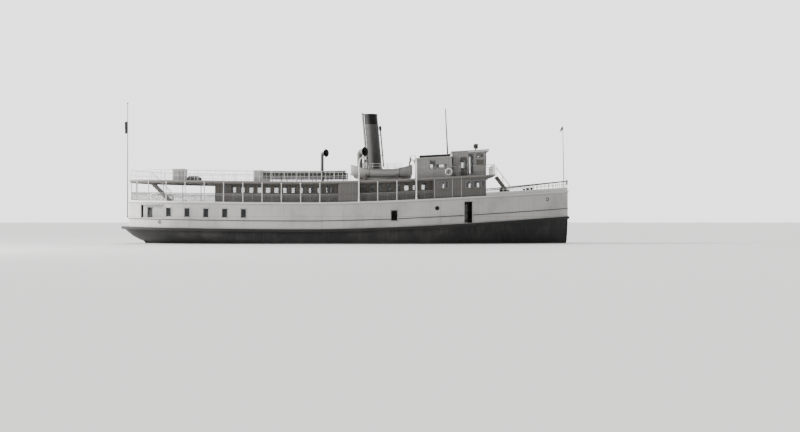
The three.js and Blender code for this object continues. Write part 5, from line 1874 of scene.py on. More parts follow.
@dataclass(frozen=True)
class SideLobbies(Assembly):
    """The closed lobbies abreast of the funnel, with a way through along the deck."""

    way: tuple[float, float] = (4.02, 4.65)
    head: float = 1.9

    def build(self) -> Pieces:
        """Builds both lobbies."""
        storey, walls = PROMENADE_STOREY, []
        for _, side in SIDES:
            # The lobbies' sides take the darkened staves, which are partly painted shade.
            walls.append(storey.side(HOUSE_SIDE, side, *SIDE_LOBBY, SHADE_DARKENED_PANELS))
            for x, facing in zip(SIDE_LOBBY, (-1, 1)):
                ys = sorted((side * SALOON_HALF, side * (HOUSE_SIDE.half(x) - 0.04)))
                hole = Hole(*sorted(side * y for y in self.way), 0.02, self.head, Fill.FRAMED)
                walls.append(storey.crossing(x, facing, *ys, STAVES_CROSS, [hole]))
        yield from House("side_lobbies", walls, ["side_lobby_starboard", "side_lobby_port"]).build()


@dataclass(frozen=True)
class ForwardHouse(Assembly):
    """The full-width house at the saloon's fore end, with its windows, doors and mouldings."""

    windows: tuple[Hole, ...] = (
        Hole(10.72, 10.98, 1.1, 1.86),
        Hole(11.12, 11.38, 1.1, 1.86),
        Hole(13.35, 13.88, 1.0, 1.75),
        Hole(14.17, 14.82, 1.0, 1.75),
        Hole(15.1, 15.46, 1.0, 1.75),
    )
    front: tuple[Hole, ...] = (
        Hole(-3.4, -2.6, 1.0, 1.75),
        Hole(-2.0, -1.2, 1.0, 1.75),
        Hole(-0.4, 0.4, 0.05, 1.98, Fill.DOOR),
        Hole(1.2, 2.0, 1.0, 1.75),
        Hole(2.6, 3.4, 1.0, 1.75),
    )
    ways: tuple[Hole, ...] = (
        Hole(-4.65, -4.02, 0.02, 1.9, Fill.FRAMED),
        Hole(-3.3, 3.3, 0.02, 1.98, Fill.FRAMED),
        Hole(4.02, 4.65, 0.02, 1.9, Fill.FRAMED),
    )
    mouldings: tuple[tuple[float, float], ...] = ((0.12, 0.025), (0.9, 0.035), (2.02, 0.025))
    battens: tuple[float, ...] = (9.9, 11.85, 12.85)

    def build(self) -> Pieces:
        """Builds the walls, then the mouldings along them and along the side lobbies."""
        storey, (aft, fore) = PROMENADE_STOREY, FORWARD_HOUSE
        # The house's sides take the darkened staves, which are partly painted shade.
        walls = [storey.side(HOUSE_SIDE, side, aft, fore, SHADE_DARKENED_PANELS, self.windows) for _, side in SIDES]
        for x, facing, holes in ((fore, 1, self.front), (aft, -1, self.ways)):
            half = HOUSE_SIDE.half(x) - 0.01
            walls.append(storey.crossing(x, facing, -half, half, STAVES_CROSS, holes))
        nodes = ["forward_house_starboard", "forward_house_port"]
        # The frames take the darker paint, which is painted shade.
        yield from House("forward_house", walls, nodes, frames=PAINTED_SHADE_RAIL).build()
        deck, trim = storey.deck, Work()
        for height, proud in self.mouldings:
            line = HOUSE_SIDE.moved_in(-proud)
            for run in (FORWARD_HOUSE, SIDE_LOBBY):
                trim.band(line, proud, deck.curve(height - 0.04), deck.curve(height + 0.03), *run)
        yield trim.finish("house_mouldings", DARK_WOOD)
        battens = Work()
        for x in self.battens:
            battens.band(HOUSE_SIDE.moved_in(-0.04), 0.04, deck.curve(FOOT), storey.head, x - 0.03, x + 0.03)
        yield battens.finish("house_battens", TRIM)


@dataclass(frozen=True)
class BoilerCasing(Assembly):
    """The casing over the boiler, which carries the funnel, with the light rail round its top."""

    doorway: Hole = Hole(2.2, 3.0, 0.1, 2.0, Fill.DOOR)
    rail_height: float = 0.59
    rail_pitch: float = 0.78

    def build(self) -> Pieces:
        """Builds the casing's walls, then its lid and rail."""
        aft, fore, half, top = CASING_AFT, CASING_FORE, CASING_HALF, CASING_TOP
        storey = Storey(Deck.MAIN, lambda x: CASING_TOP)
        walls = storey.room(aft, fore, half, PLATES, PLATES, ([self.doorway], (), ()))
        yield from House("boiler_casing", walls, ["boiler_casing"]).build()
        lid = Work().block((aft, -half, top - 0.08), (fore, half, top), 0.01)
        lid.block((aft - 0.03, -half - 0.03, top - 0.14), (fore + 0.03, half + 0.03, top - 0.05), 0.015)
        aft, fore, half = aft + 0.04, fore - 0.04, half - 0.04
        corners = [(x, y) for x in (aft, fore) for y in (half, -half)]
        sides = [(x, y) for x in spaced(aft, fore, self.rail_pitch)[1:-1] for y in (-half, half)]
        for x, y in (*corners, (aft, 0.0), (fore, 0.0), *sides):
            lid.rod((x, y, top), (x, y, top + self.rail_height), 0.02)
        ring = [corners[0], corners[1], corners[3], corners[2]]
        for height in (0.3, self.rail_height):
            lid.path([(x, y, top + height) for x, y in ring], 0.018, closed=True)
        yield lid.finish("casing_top_and_rail", BRIGHT)


@dataclass(frozen=True)
class Funnel(Assembly):
    """The raked funnel with its bands, the steam pipe on its after side and the whistle on its fore side."""

    x: float = 3.35
    radius: float = 0.755
    top_radius: float = 0.74
    band_radius: float = 0.775
    lip: float = 0.79
    bore: float = 0.68
    height: float = 6.26
    rake: float = 0.087
    bands: tuple[float, ...] = (1.55, 3.1, 4.65)
    steam_x: float = -0.92
    steam: float = 0.13
    steam_top: float = 6.4
    whistle_x: float = 0.95
    whistle: float = 0.075
    whistle_top: float = 4.4
    pipe_foot: float = 0.3
    clamps: tuple[float, ...] = (1.6, 3.9)
    bell: float = 0.15

    def build(self) -> Pieces:
        """Builds the shell, the pipes with their clamps, and the whistle."""
        lean = Matrix(((1, 0, -self.rake, 0), (0, 1, 0, 0), (0, 0, 1, 0), (0, 0, 0, 1)))
        place = at(self.x, 0, CASING_TOP) @ lean
        shell = [(self.bore, 0), (0.84, 0), (0.84, 0.1), (self.radius, 0.14)]
        for band in self.bands:
            near, far = self.radius, self.band_radius
            shell += [(near, band - 0.05), (far, band - 0.045), (far, band + 0.045), (near, band + 0.05)]
        shell += [(self.top_radius, 6.14), (self.lip, 6.16), (self.lip, self.height)]
        shell += [(0.7, self.height), (self.bore, 6.2)]
        yield Work().turned(shell, place, 64).finish("funnel_shell", FUNNEL_PAINT, replaces=["funnel"])
        yield self.pipe(self.steam_x, self.steam, self.steam_top, place).finish("steam_pipe", GREY)
        yield self.pipe(self.whistle_x, self.whistle, self.whistle_top, place).finish("whistle_pipe", IRON)
        top, bell = self.whistle_top, self.bell
        profile = [
            (0, top - 0.05), (0.07, top - 0.05), (0.07, top), (bell, top + 0.04), (bell, top + 0.46),
            (0.09, top + 0.53), (0.02, top + 0.55), (0, top + 0.55),
        ]
        yield Work().turned(profile, place @ at(self.whistle_x, 0, 0)).finish("whistle_bell", IRON)

    def pipe(self, x: float, radius: float, high: float, place: Matrix) -> Work:
        """Returns an upright pipe, open at its top, with the clamps that hold it.

        Args:
            x: Its distance forward of the funnel's axis.
            radius: Its radius.
            high: Its top.
            place: The funnel's place.

        Returns:
            The pipe and its clamps.
        """
        inner, low = radius * 0.8, self.pipe_foot
        pipe = Work().turned(
            [(inner, low), (radius, low), (radius, high), (inner, high)], place @ at(x, 0, 0), 20
        )
        near, far = sorted((x, x * 0.8))
        for z in self.clamps:
            pipe.join(Work().block((near, -0.03, z - 0.03), (far, 0.03, z + 0.03)), place)
        return pipe


@dataclass(frozen=True)
class Cowl(Assembly):
    """A cowl ventilator: a bent pipe that flares into a mouth, on the coaming that it turns on."""

    node: str
    x: float
    y: float
    neck: float
    mouth: float
    reach: float
    finish: Finish
    height: float = 3.05
    turn: float = -40.0
    skin: float = 0.025
    handle: tuple[float, ...] = (1.1, 1.14, 1.36, 1.4)
    handle_reach: float = 0.07
    coaming: float = 0.25
    sides: int = 28
    steps: int = 8

    def circle(self, place: Vector, angle: float, radius: float) -> list[Point]:
        """Works out a ring of points across the pipe.

        Args:
            place: The ring's centre.
            angle: Its tilt forward, in radians.
            radius: Its radius.

        Returns:
            The points.
        """
        turn = Matrix.Rotation(angle, 3, "Y")
        spots = (i * 2 * math.pi / self.sides for i in range(self.sides))
        return [place + turn @ Vector((radius * math.cos(a), radius * math.sin(a), 0)) for a in spots]

    def rings(self) -> list[tuple[Vector, float, float]]:
        """Lists the pipe's cross-sections from its foot to its mouth.

        Returns:
            The place, angle and radius of each.
        """
        bend = self.neck * 1.05
        straight = self.height - bend
        rings = [(Vector((0, 0, straight * share)), 0.0, self.neck) for share in (0.0, 0.3, 0.7, 1.0)]
        for i in range(1, self.steps + 1):
            angle = math.pi / 2 * i / self.steps
            place = Vector((bend * (1 - math.cos(angle)), 0, straight + bend * math.sin(angle)))
            rings.append((place, angle, self.neck * (1 + 0.12 * i / self.steps)))
        start, wide = rings[-1][0], rings[-1][2]
        for i in range(1, self.steps + 1):
            share = i / self.steps
            place = start + Vector(((self.reach - bend) * share, 0, 0))
            rings.append((place, math.pi / 2, wide + (self.mouth - wide) * share**1.6))
        return rings

    def shell(self, rings: list[tuple[Vector, float, float]], outer: float, inner: float) -> Work:
        """Makes a pipe through rings.

        Args:
            rings: The rings by their place, angle and radius.
            outer: How far inside them its outer face lies.
            inner: How far inside them its inner face lies.

        Returns:
            The pipe.
        """
        outside = [self.circle(place, angle, radius - outer) for place, angle, radius in rings]
        inside = [self.circle(place, angle, radius - inner) for place, angle, radius in rings]
        loops = [*outside, *reversed(inside), outside[0]]
        part = Work()
        part.sheet(len(loops) - 1, self.sides, lambda column, row: loops[column][row % self.sides])
        bmesh.ops.remove_doubles(part.bm, verts=part.bm.verts, dist=1e-5)
        return part

    def build(self) -> Pieces:
        """Builds the coaming, the cowl with its rim and handles, and a black liner inside its mouth, painted
        shade.
        """
        foot = Deck.HURRICANE.at(self.x)
        bore, outer, tall = self.neck - 0.02, self.neck + 0.05, self.coaming
        flange = outer + 0.05
        profile = [(bore, 0), (flange, 0), (flange, 0.02), (outer, 0.04), (outer, tall), (bore, tall)]
        coaming = Work().turned(profile, at(self.x, self.y, foot), 32)
        yield coaming.finish(f"{self.node}_coaming", PAINT)
        place = at(self.x, self.y, foot + tall + 0.0006) @ Matrix.Rotation(math.radians(self.turn), 4, "Z")
        rings = self.rings()
        cowl = Work().join(self.shell(rings, 0.0, self.skin))
        rim = rings[-1][0]
        cowl.ring(rim, (1, 0, 0), self.mouth - 0.01, 0.022, 36)
        cowl.ring((0, 0, 0.05), (0, 0, 1), self.neck, 0.02, 28)
        for side in (-1, 1):
            near, far = side * self.neck, side * (self.neck + self.handle_reach)
            cowl.path([(0, y, z) for y, z in zip((near, far, far, near), self.handle)], 0.012)
        yield Work().join(cowl, place).finish(f"{self.node}_cowl", self.finish, self.node, [self.node])
        # A black liner inside the mouth: painted shade of the cowl's throat.
        painted_shade_liner = self.shell(rings[6:], self.skin + 0.002, self.skin + 0.008)
        yield Work().join(painted_shade_liner, place).finish(f"{self.node}_throat", BLACK, self.node)


@dataclass(frozen=True)
class Lifeboat(Assembly):
    """An open double-ended lifeboat of clinker planking, lashed down on its chocks."""

    name: str
    side: int
    x: float = 4.1
    y: float = 3.75
    keel: float = 7.3
    length: float = 6.8
    beam: float = 2.05
    depth: float = 0.75
    end_rise: float = 0.6
    keel_rise: float = 0.3
    bilge: float = 0.62
    fullness: float = 0.55
    columns: int = 36
    strakes: int = 8
    thwarts: tuple[float, ...] = (-0.62, -0.3, 0.02, 0.34, 0.64)
    gripes: tuple[float, ...] = (-1.34, 1.98)
    oar: float = 1.9
    rope_reach: float = 0.86
    bights: int = 8
    bight_depth: float = 0.13

    def edge(self, t: float, share: float, inward: float = 0.0) -> tuple[float, float]:
        """Returns the boat's half-breadth and height above its keel line.

        Args:
            t: The place along the boat, from -1 to 1.
            share: The place up its side, from 0 to 1.
            inward: How far inside the planking.

        Returns:
            The half-breadth and the height.
        """
        low, high = self.keel_rise * t**6, self.depth + self.end_rise * t * t
        fair = math.sin(math.pi / 2 * min(1.0, share * 1.02 + 0.02)) ** self.bilge
        half = self.beam / 2 * fair * max(0.0, 1 - t * t) ** self.fullness
        return max(0.02, half - inward), low + (high - low) * share

    def section(self, t: float) -> list[Point]:
        """Works out the planking's cross-section, with its lapped strakes.

        Args:
            t: The place along the boat, from -1 to 1.

        Returns:
            The cross-section's corners.
        """
        x = t * (self.length / 2 - 0.03)
        upper = []
        for i in range(self.strakes + 1):
            half, height = self.edge(t, i / self.strakes)
            upper.append((x, half, height))
            if 0 < i < self.strakes:
                upper.append((x, max(0.02, half - 0.022), height + 0.004))
        for i in range(4, -1, -1):
            half, height = self.edge(t, 0.06 + 0.92 * i / 4, 0.06)
            upper.append((x * 0.985, half, height + 0.05))
        return [*upper, *((x0, -y0, z0) for x0, y0, z0 in reversed(upper))]

    def build(self) -> Pieces:
        """Builds the planking, the woodwork, the grab lines and the gripes."""
        place = at(self.x, self.side * self.y, self.keel)
        ts = [-math.cos(math.pi * i / self.columns) for i in range(self.columns + 1)]
        shell = Work().loft([self.section(t) for t in ts])
        shell.path([(t * (self.length / 2 - 0.02), 0, self.keel_rise * t**6 - 0.01) for t in ts], 0.03)
        node = f"lifeboat_{self.name}"
        # The planking's darker paint is painted shade of the boat's sides.
        yield Work().join(shell, place).finish(f"{node}_planking", SHADED_BOAT_PAINT, replaces=[node])
        yield Work().join(self.woodwork(ts), place).finish(f"{node}_gunwale", DARK_WOOD)
        yield Work().join(self.stems(), place).finish(f"{node}_stems", BRIGHT)
        yield Work().join(self.lines(), place).finish(f"{node}_grab_line", ROPE)
        yield Work().join(self.lashings(), place).finish(f"{node}_gripes", IRON)

    def woodwork(self, ts: Sequence[float]) -> Work:
        """Makes the gunwales, the thwarts and the oars that lie on them.

        Args:
            ts: The planking's places along the boat.

        Returns:
            The woodwork.
        """
        wood = Work()
        for way in (-1, 1):
            rim = []
            for t in ts[1:-1]:
                half, height = self.edge(t, 1.0)
                rim.append((t * (self.length / 2 - 0.03), way * (half - 0.005), height + 0.01))
            wood.path(rim, 0.038)
            wood.rod((-self.oar, way * 0.3, 0.72), (self.oar, way * 0.34, 0.78), 0.022)
        for t in self.thwarts:
            half, height = self.edge(t, 0.72, 0.06)
            x = t * self.length / 2
            wood.block((x - 0.11, -half, height - 0.02), (x + 0.11, half, height + 0.02), 0.006)
        return wood

    def stems(self) -> Work:
        """Makes the light stem and sternpost, which rise a little over the gunwale.

        Returns:
            The posts.
        """
        posts = Work()
        line = ((-0.03, 0.34), (-0.02, 0.9), (-0.03, 1.38))
        for way in (-1, 1):
            posts.path([(way * (self.length / 2 + x), 0, z) for x, z in line], 0.03)
        return posts

    def lines(self) -> Work:
        """Makes the grab lines, which hang in bights along both sides.

        Returns:
            The lines.
        """
        ropes = Work()
        steps = 48
        for way in (-1, 1):
            line = []
            for i in range(steps + 1):
                t = self.rope_reach * (2 * i / steps - 1)
                half, height = self.edge(t, 0.93)
                dip = self.bight_depth * abs(math.sin(math.pi * self.bights * i / steps))
                line.append((t * self.length / 2, way * (half + 0.02), height - dip))
            ropes.path(line, 0.012)
        return ropes

    def lashings(self) -> Work:
        """Makes the gripes, which run down the outer side to the chocks.

        Returns:
            The gripes.
        """
        straps = Work()
        steps = 12
        for dx in self.gripes:
            t = dx / (self.length / 2)
            spots = [self.edge(t, i / steps) for i in range(steps + 1)]
            line = [(dx, self.side * (half + 0.014), height) for half, height in spots]
            half, height = spots[-1]
            line.append((dx, self.side * (half - 0.25), height + 0.06))
            straps.path(line, 0.022)
        return straps


@dataclass(frozen=True)
class Davit(Assembly):
    """A round-headed davit in its socket, turned towards the middle of its boat, with its tackle."""

    end: str
    name: str
    side: int
    x: float
    way: int
    y: float = 5.02
    radius: float = 0.068
    straight: float = 3.85
    reach: float = 1.05
    shoulder: float = 0.4
    rises: tuple[float, float, float] = (0.85, 1.15, 0.95)
    turn: float = 40.0
    lower_block: float = 8.95
    eye: float = 2.36
    block: tuple[float, float, float] = (0.1, 0.2, 0.26)
    falls: tuple[float, ...] = (-0.05, 0.0, 0.05)
    fall: float = 0.018
    steps: int = 12

    def arm(self) -> list[Point]:
        """Works out the line of the davit's arm in its own axes.

        Returns:
            The line's points, from its foot to its head.
        """
        line = [(0, 0, 0), (0, 0, self.straight / 2), (0, 0, self.straight)]
        for i in range(1, self.steps + 1):
            t = i / self.steps
            shares = (3 * t * (1 - t) ** 2, 3 * t * t * (1 - t), t**3)
            reach = -self.side * (shares[1] * self.shoulder + shares[2] * self.reach)
            rise = sum(share * height for share, height in zip(shares, self.rises))
            line.append((0, reach, self.straight + rise))
        return line

    def build(self) -> Pieces:
        """Builds the arm with its socket and eye, then the tackle."""
        node = f"davit_{self.end}_{self.name}"
        foot = Deck.PROMENADE.at(self.x, 0.006)
        turn = Matrix.Rotation(math.radians(self.side * self.way * self.turn), 4, "Z")
        place = at(self.x, self.side * self.y, foot) @ turn
        arm = Work().path(self.arm(), self.radius)
        socket = [(0, 0), (0.11, 0), (0.11, 0.22), (0.085, 0.28), (0, 0.28)]
        arm.turned(socket, Matrix.Identity(4), 20)
        arm.ring((0, 0, self.eye), (0, 0, 1), 0.075, 0.02, 18)
        head = -self.side * (self.reach - 0.01)
        top = self.straight + self.rises[2]
        arm.rod((0, head, top + 0.04), (0, head, top - 0.2), 0.045, 12)
        arm.rod((-0.05, head, top), (0.05, head, top), 0.03)
        yield Work().join(arm, place).finish(f"{node}_arm", BRIGHT, node, [node])
        tackle = Work()
        high, low = top - 0.2, self.lower_block - foot
        for z in (high - 0.1, low + 0.1):
            tackle.plank((0, head, z), self.block, 0.0, 0.02)
        for dy in self.falls:
            tackle.rod((0, head + dy, high - 0.18), (0, head + dy, low + 0.18), self.fall, 6)
        tackle.rod((0, head, low + 0.02), (0, head, low - 0.1), self.fall, 6)
        yield Work().join(tackle, place).finish(f"{node}_tackle", TACKLE, node)


@dataclass(frozen=True)
class OfficersHouse(Assembly):
    """The officers' house on the hurricane deck, with its roof and bare nameboards."""

    aft: float = 7.9
    fore: float = 11.95
    half: float = 3.6
    height: float = 2.2
    eave: float = 0.15
    roof: float = 0.1
    starboard: tuple[Hole, ...] = (Hole(9.42, 10.0, 1.05, 1.9), Hole(10.1, 11.26, 1.08, 1.48))
    port: tuple[Hole, ...] = (
        Hole(8.35, 9.05, 0.1, 1.95, Fill.DOOR), Hole(9.42, 10.0, 1.05, 1.9), Hole(10.65, 11.3, 1.05, 1.9),
    )
    board_aft: float = 8.25
    board_fore: float = 11.66
    board_height: float = 0.27
    board: float = 0.05

    def build(self) -> Pieces:
        """Builds the walls, the roof and the nameboards."""
        deck = Deck.HURRICANE
        storey, holes = Storey(deck, deck.curve(self.height)), (self.starboard, self.port, ())
        walls = storey.room(self.aft, self.fore, self.half, HOUSE_PANELS, STAVES_CROSS, holes)
        yield from House("officers_house", walls, ["officers_house"], frames=EDGE_PAINT).build()
        edge, top = self.half + self.eave, self.height + self.roof
        xs = spaced(self.aft - self.eave, self.fore, 0.85)
        roof = Work().run(xs, -edge, edge, deck.curve(self.height), deck.curve(top))
        yield roof.finish("officers_house_roof_canvas", TRIM, replaces=["officers_house_roof"])
        yield from self.nameboards(edge, top)

    def nameboards(self, edge: float, top: float) -> Pieces:
        """Builds the bare boards along the roof's sides, their edges and stays.

        Args:
            edge: The roof's half-breadth.
            top: The height of its upper side over the deck.
        """
        deck = Deck.HURRICANE
        boards, trim = Work(), Work()
        xs = spaced(self.board_aft, self.board_fore, 0.85)
        middle = (self.board_aft + self.board_fore) / 2
        for _, side in SIDES:
            outer, inner = side * edge, side * (edge - self.board)
            low, high = top - 0.02, top + self.board_height
            boards.run(xs, inner, outer, deck.curve(low), deck.curve(high))
            for z in (low, high - 0.03):
                trim.run(xs, inner, outer + side * 0.012, deck.curve(z), deck.curve(z + 0.03))
            for x in (self.board_aft + 0.25, middle, self.board_fore - 0.25):
                y = side * (edge - 0.075)
                trim.rod((x, y, deck.at(x, top - 0.02)), (x, y, deck.at(x, high - 0.03)), 0.02)
        yield boards.finish("nameboards", BLACK)
        yield trim.finish("nameboard_edges", TRIM)


@dataclass(frozen=True)
class SignalMast(Assembly):
    """The short raked mast between the houses."""

    x: float = 11.55
    step: float = 2.3
    height: float = 5.5
    radius: float = 0.09
    top_radius: float = 0.05
    lean: float = 0.05

    def build(self) -> Pieces:
        """Builds the mast."""
        base = Deck.HURRICANE.at(self.x, self.step)
        step = [(0, 0), (0.2, 0), (0.2, 0.04), (0.16, 0.06), (0.16, 0.12), (0, 0.12)]
        mast = Work().turned(step, at(self.x, 0, base))
        foot = base + 0.121
        top = Vector((self.x - self.lean * self.height, 0, foot + self.height))
        mast.rod((self.x, 0, foot), top, self.radius, 16, self.top_radius)
        cap = [(0, 0), (0.085, 0.01), (0.085, 0.04), (0, 0.05)]
        mast.turned(cap, Matrix.Translation(top - Vector((0, 0, 0.05))), 16)
        yield mast.finish("signal_mast_pole", SHADED_SPAR, replaces=["signal_mast"])


@dataclass(frozen=True)
class Pilothouse(Assembly):
    """The pilothouse: its glazed walls, doorways, roof with a visor, and its floor."""

    aft: float = 11.9506
    fore: float = 15.7
    half: float = 2.5
    height: float = 2.8
    roof: float = 0.12
    eave: float = 0.12
    visor: float = 0.33
    floor: float = 0.2
    fascia_aft: float = 13.7
    side_holes: tuple[Hole, ...] = (
        Hole(12.83, 13.6, 0.2, 2.2, Fill.OPEN),
        Hole(13.76, 14.3, 0.3, 2.5),
        Hole(14.62, 14.96, 2.08, 2.5),
        Hole(15.07, 15.35, 2.08, 2.5),
        Hole(14.62, 15.45, 1.2, 1.8, Fill.SHUTTER),
    )
    window_pitch: float = 0.94
    window_half: float = 0.38
    sill: float = 1.2
    head: float = 2.1
    pedestal: tuple[float, float] = (14.51, 14.81)
    telegraph_x: float = 14.9
    telegraph_y: float = 0.9
    roof_step: float = 0.84
    fascia_step: float = 0.6
    bracket_pitch: float = 0.5

    def build(self) -> Pieces:
        """Builds the walls, the roof with its edges and brackets, and what stands inside."""
        storey, half = Storey(Deck.HURRICANE, Deck.HURRICANE.curve(self.height)), self.window_half
        places = [i * self.window_pitch for i in range(-2, 3)]
        front = [Hole(y - half, y + half, self.sill, self.head, Fill.SASH) for y in places]
        holes = (self.side_holes, self.side_holes, front)
        walls = storey.room(self.aft, self.fore, self.half, HOUSE_PANELS, STAVES_CROSS, holes)
        yield from House("pilothouse", walls, ["pilothouse"], frames=EDGE_PAINT).build()
        yield from self.roofing()
        yield self.inside().finish("pilothouse_floor_and_stands", DARK_WOOD, replaces=["helm_stand"])

    def roofing(self) -> Pieces:
        """Builds the roof, its light edge and the brackets under its eaves."""
        deck, edge = Deck.HURRICANE, self.half + self.eave
        low, high = self.height, self.height + self.roof
        sections = []
        for x in spaced(self.aft - self.eave, self.fore + self.visor, self.roof_step):
            bottom, top = deck.at(x, low), deck.at(x, high)
            side = [(x, edge, bottom), (x, edge, top - 0.03), (x, edge - 0.04, top)]
            sections.append([(x, -y, z) for x, y, z in side] + [(x, y, z) for x, y, z in reversed(side)])
        roof = Work().loft(sections)
        mount = [(0, -0.02), (0.2, -0.02), (0.2, 0), (0.16, 0.03), (0.16, 0.1), (0, 0.1)]
        roof.turned(mount, at(Searchlight.x, 0, deck.at(Searchlight.x, high)))
        yield roof.finish("pilothouse_roof_canvas", GREY, replaces=["pilothouse_roof"])
        fascia, brackets = Work(), Work()
        front, foot, head = self.fore + self.visor, deck.curve(low - 0.1), deck.curve(low + 0.02)
        for _, side in SIDES:
            xs = spaced(self.fascia_aft, front, self.fascia_step)
            fascia.run(xs, side * (edge - 0.03), side * (edge + 0.005), foot, head)
            for x in spaced(self.aft + 0.1, self.fore - 0.1, self.bracket_pitch):
                y = side * (self.half + 0.05)
                brackets.plank((x, y, deck.at(x, low - 0.035)), (0.05, 0.1, 0.05), 0.0)
        fascia.block((front - 0.03, -edge, foot(front)), (front + 0.005, edge, head(front)))
        for y in spaced(-self.half, self.half, self.bracket_pitch):
            brackets.plank((self.fore + 0.15, y, deck.at(self.fore, low - 0.04)), (0.27, 0.04, 0.06), 0.0)
        yield fascia.finish("pilothouse_fascia", BRIGHT)
        yield brackets.finish("pilothouse_brackets", TRIM)

    def inside(self) -> Work:
        """Makes the floor, the helm's pedestal and the two telegraph stands.

        Returns:
            The floor and the stands.
        """
        deck, margin = Deck.HURRICANE, WALL + 0.01
        within = self.half - margin
        xs = spaced(self.aft + margin, self.fore - margin, 0.9)
        work = Work().run(xs, -within, within, deck.curve(FOOT), deck.curve(self.floor))
        axis, (aft, fore) = Helm().centre.z, self.pedestal
        work.block((aft, -0.13, axis - 1.1), (fore, 0.13, axis + 0.15), 0.02)
        work.rod((aft - 0.079, 0, axis), (aft + 0.11, 0, axis), 0.05, 16)
        stand = [
            (0, 0), (0.14, 0), (0.14, 0.05), (0.05, 0.09), (0.05, 0.85), (0.17, 0.92), (0.17, 1.1), (0, 1.14)
        ]
        x = self.telegraph_x
        for y in (-self.telegraph_y, self.telegraph_y):
            work.turned(stand, at(x, y, deck.at(x, self.floor)))
        return work


@dataclass(frozen=True)
class Helm(Assembly):
    """The steering wheel, with turned spokes that reach out past its rim as handles."""

    x: float = 14.35
    height: float = 1.22
    rim: float = 0.56
    rim_width: float = 0.08
    spokes: int = 8

    @property
    def centre(self) -> Vector:
        """The wheel's centre."""
        return Vector((self.x, 0, Deck.HURRICANE.at(self.x, self.height)))

    def build(self) -> Pieces:
        """Builds the wheel."""
        middle = Matrix.Translation(self.centre)
        inner, outer = self.rim - self.rim_width, self.rim
        rim = [(inner, -0.02), (inner + 0.01, -0.03), (outer - 0.01, -0.03), (outer, -0.02)]
        wheel = Work().turned([*rim, *((r, -h) for r, h in reversed(rim))], middle @ ON_SIDE, 48)
        hub = [(0, -0.08), (0.07, -0.08), (0.09, -0.05), (0.09, 0.05), (0.07, 0.08), (0, 0.08)]
        wheel.turned(hub, middle @ ON_SIDE)
        spoke = [
            (0, 0.05), (0.025, 0.06), (0.018, 0.2), (0.026, 0.3), (0.018, 0.46), (0.018, 0.58), (0.028, 0.66),
            (0, 0.72),
        ]
        for i in range(self.spokes):
            wheel.turned(spoke, middle @ Matrix.Rotation(i * 2 * math.pi / self.spokes, 4, "X"), 10)
        yield wheel.finish("helm_wheel_rim", DARK_WOOD, "helm_wheel", ["helm_wheel"])


@dataclass(frozen=True)
class PilothouseDoor(Assembly):
    """A hinged pilothouse door outside its doorway, with a panel, a window, hinges and knobs."""

    name: str
    side: int
    aft: float = 12.84
    fore: float = 13.59
    low: float = 0.21
    high: float = 2.19
    thickness: float = 0.05
    frame: float = 0.12
    sill: float = 1.0
    head: float = 1.85
    pin_x: float = 12.79
    pin_y: float = 2.5206
    pin: float = 0.02
    pins: tuple[float, ...] = (0.35, 1.75)
    pin_length: float = 0.16
    plate: float = 0.25
    knob_inset: float = 0.06
    knob_height: float = 0.85
    knob_reach: float = 0.045

    def build(self) -> Pieces:
        """Builds the leaf with its hinges, its pane and its knobs."""
        level = Deck.HURRICANE.at((self.aft + self.fore) / 2)
        low, high, sill, head = (level + z for z in (self.low, self.high, self.sill, self.head))
        face = self.side * (self.pin_y - 0.75 * self.pin)
        y0, y1 = sorted((face, face - self.side * self.thickness))
        x0, x1, frame = self.aft, self.fore, self.frame
        leaf = Work()
        for a, b in ((x0, x0 + frame), (x1 - frame, x1)):
            leaf.block((a, y0, low), (b, y1, high), 0.005)
        near, far = x0 + frame - 0.01, x1 - frame + 0.01
        for a, b in ((head, high), (sill - 0.1, sill), (low, low + 0.16)):
            leaf.block((near, y0, a), (far, y1, b), 0.005)
        middle = (y0 + y1) / 2
        leaf.block((near, middle - 0.012, low + 0.14), (far, middle + 0.012, sill - 0.08))
        axis = self.side * self.pin_y
        ya, yb = sorted((axis, axis - self.side * self.pin))
        for z in self.pins:
            foot = level + z
            leaf.rod((self.pin_x, axis, foot), (self.pin_x, axis, foot + self.pin_length), self.pin, 12)
            leaf.block((self.pin_x, ya, foot), (self.pin_x + self.plate, yb, foot + self.pin_length))
        body = f"pilothouse_door_{self.name}"
        yield leaf.finish(f"{body}_leaf", DARK_WOOD, body, [body])
        pane = Work().block((near, middle - 0.006, sill - 0.01), (far, middle + 0.006, head + 0.01))
        yield pane.finish(f"{body}_pane", GLASS, body)
        x, z = self.fore - self.knob_inset, low + self.knob_height
        knob = Work().rod((x, y0 - 0.03, z), (x, y1 + 0.03, z), 0.015)
        ball = [(0, -0.025), (0.02, -0.017), (0.026, 0), (0.02, 0.017), (0, 0.025)]
        for y in (y0 - self.knob_reach, y1 + self.knob_reach):
            knob.turned(ball, at(x, y, z) @ ACROSS, 12)
        yield knob.finish(f"{body}_knobs", BRONZE, body)


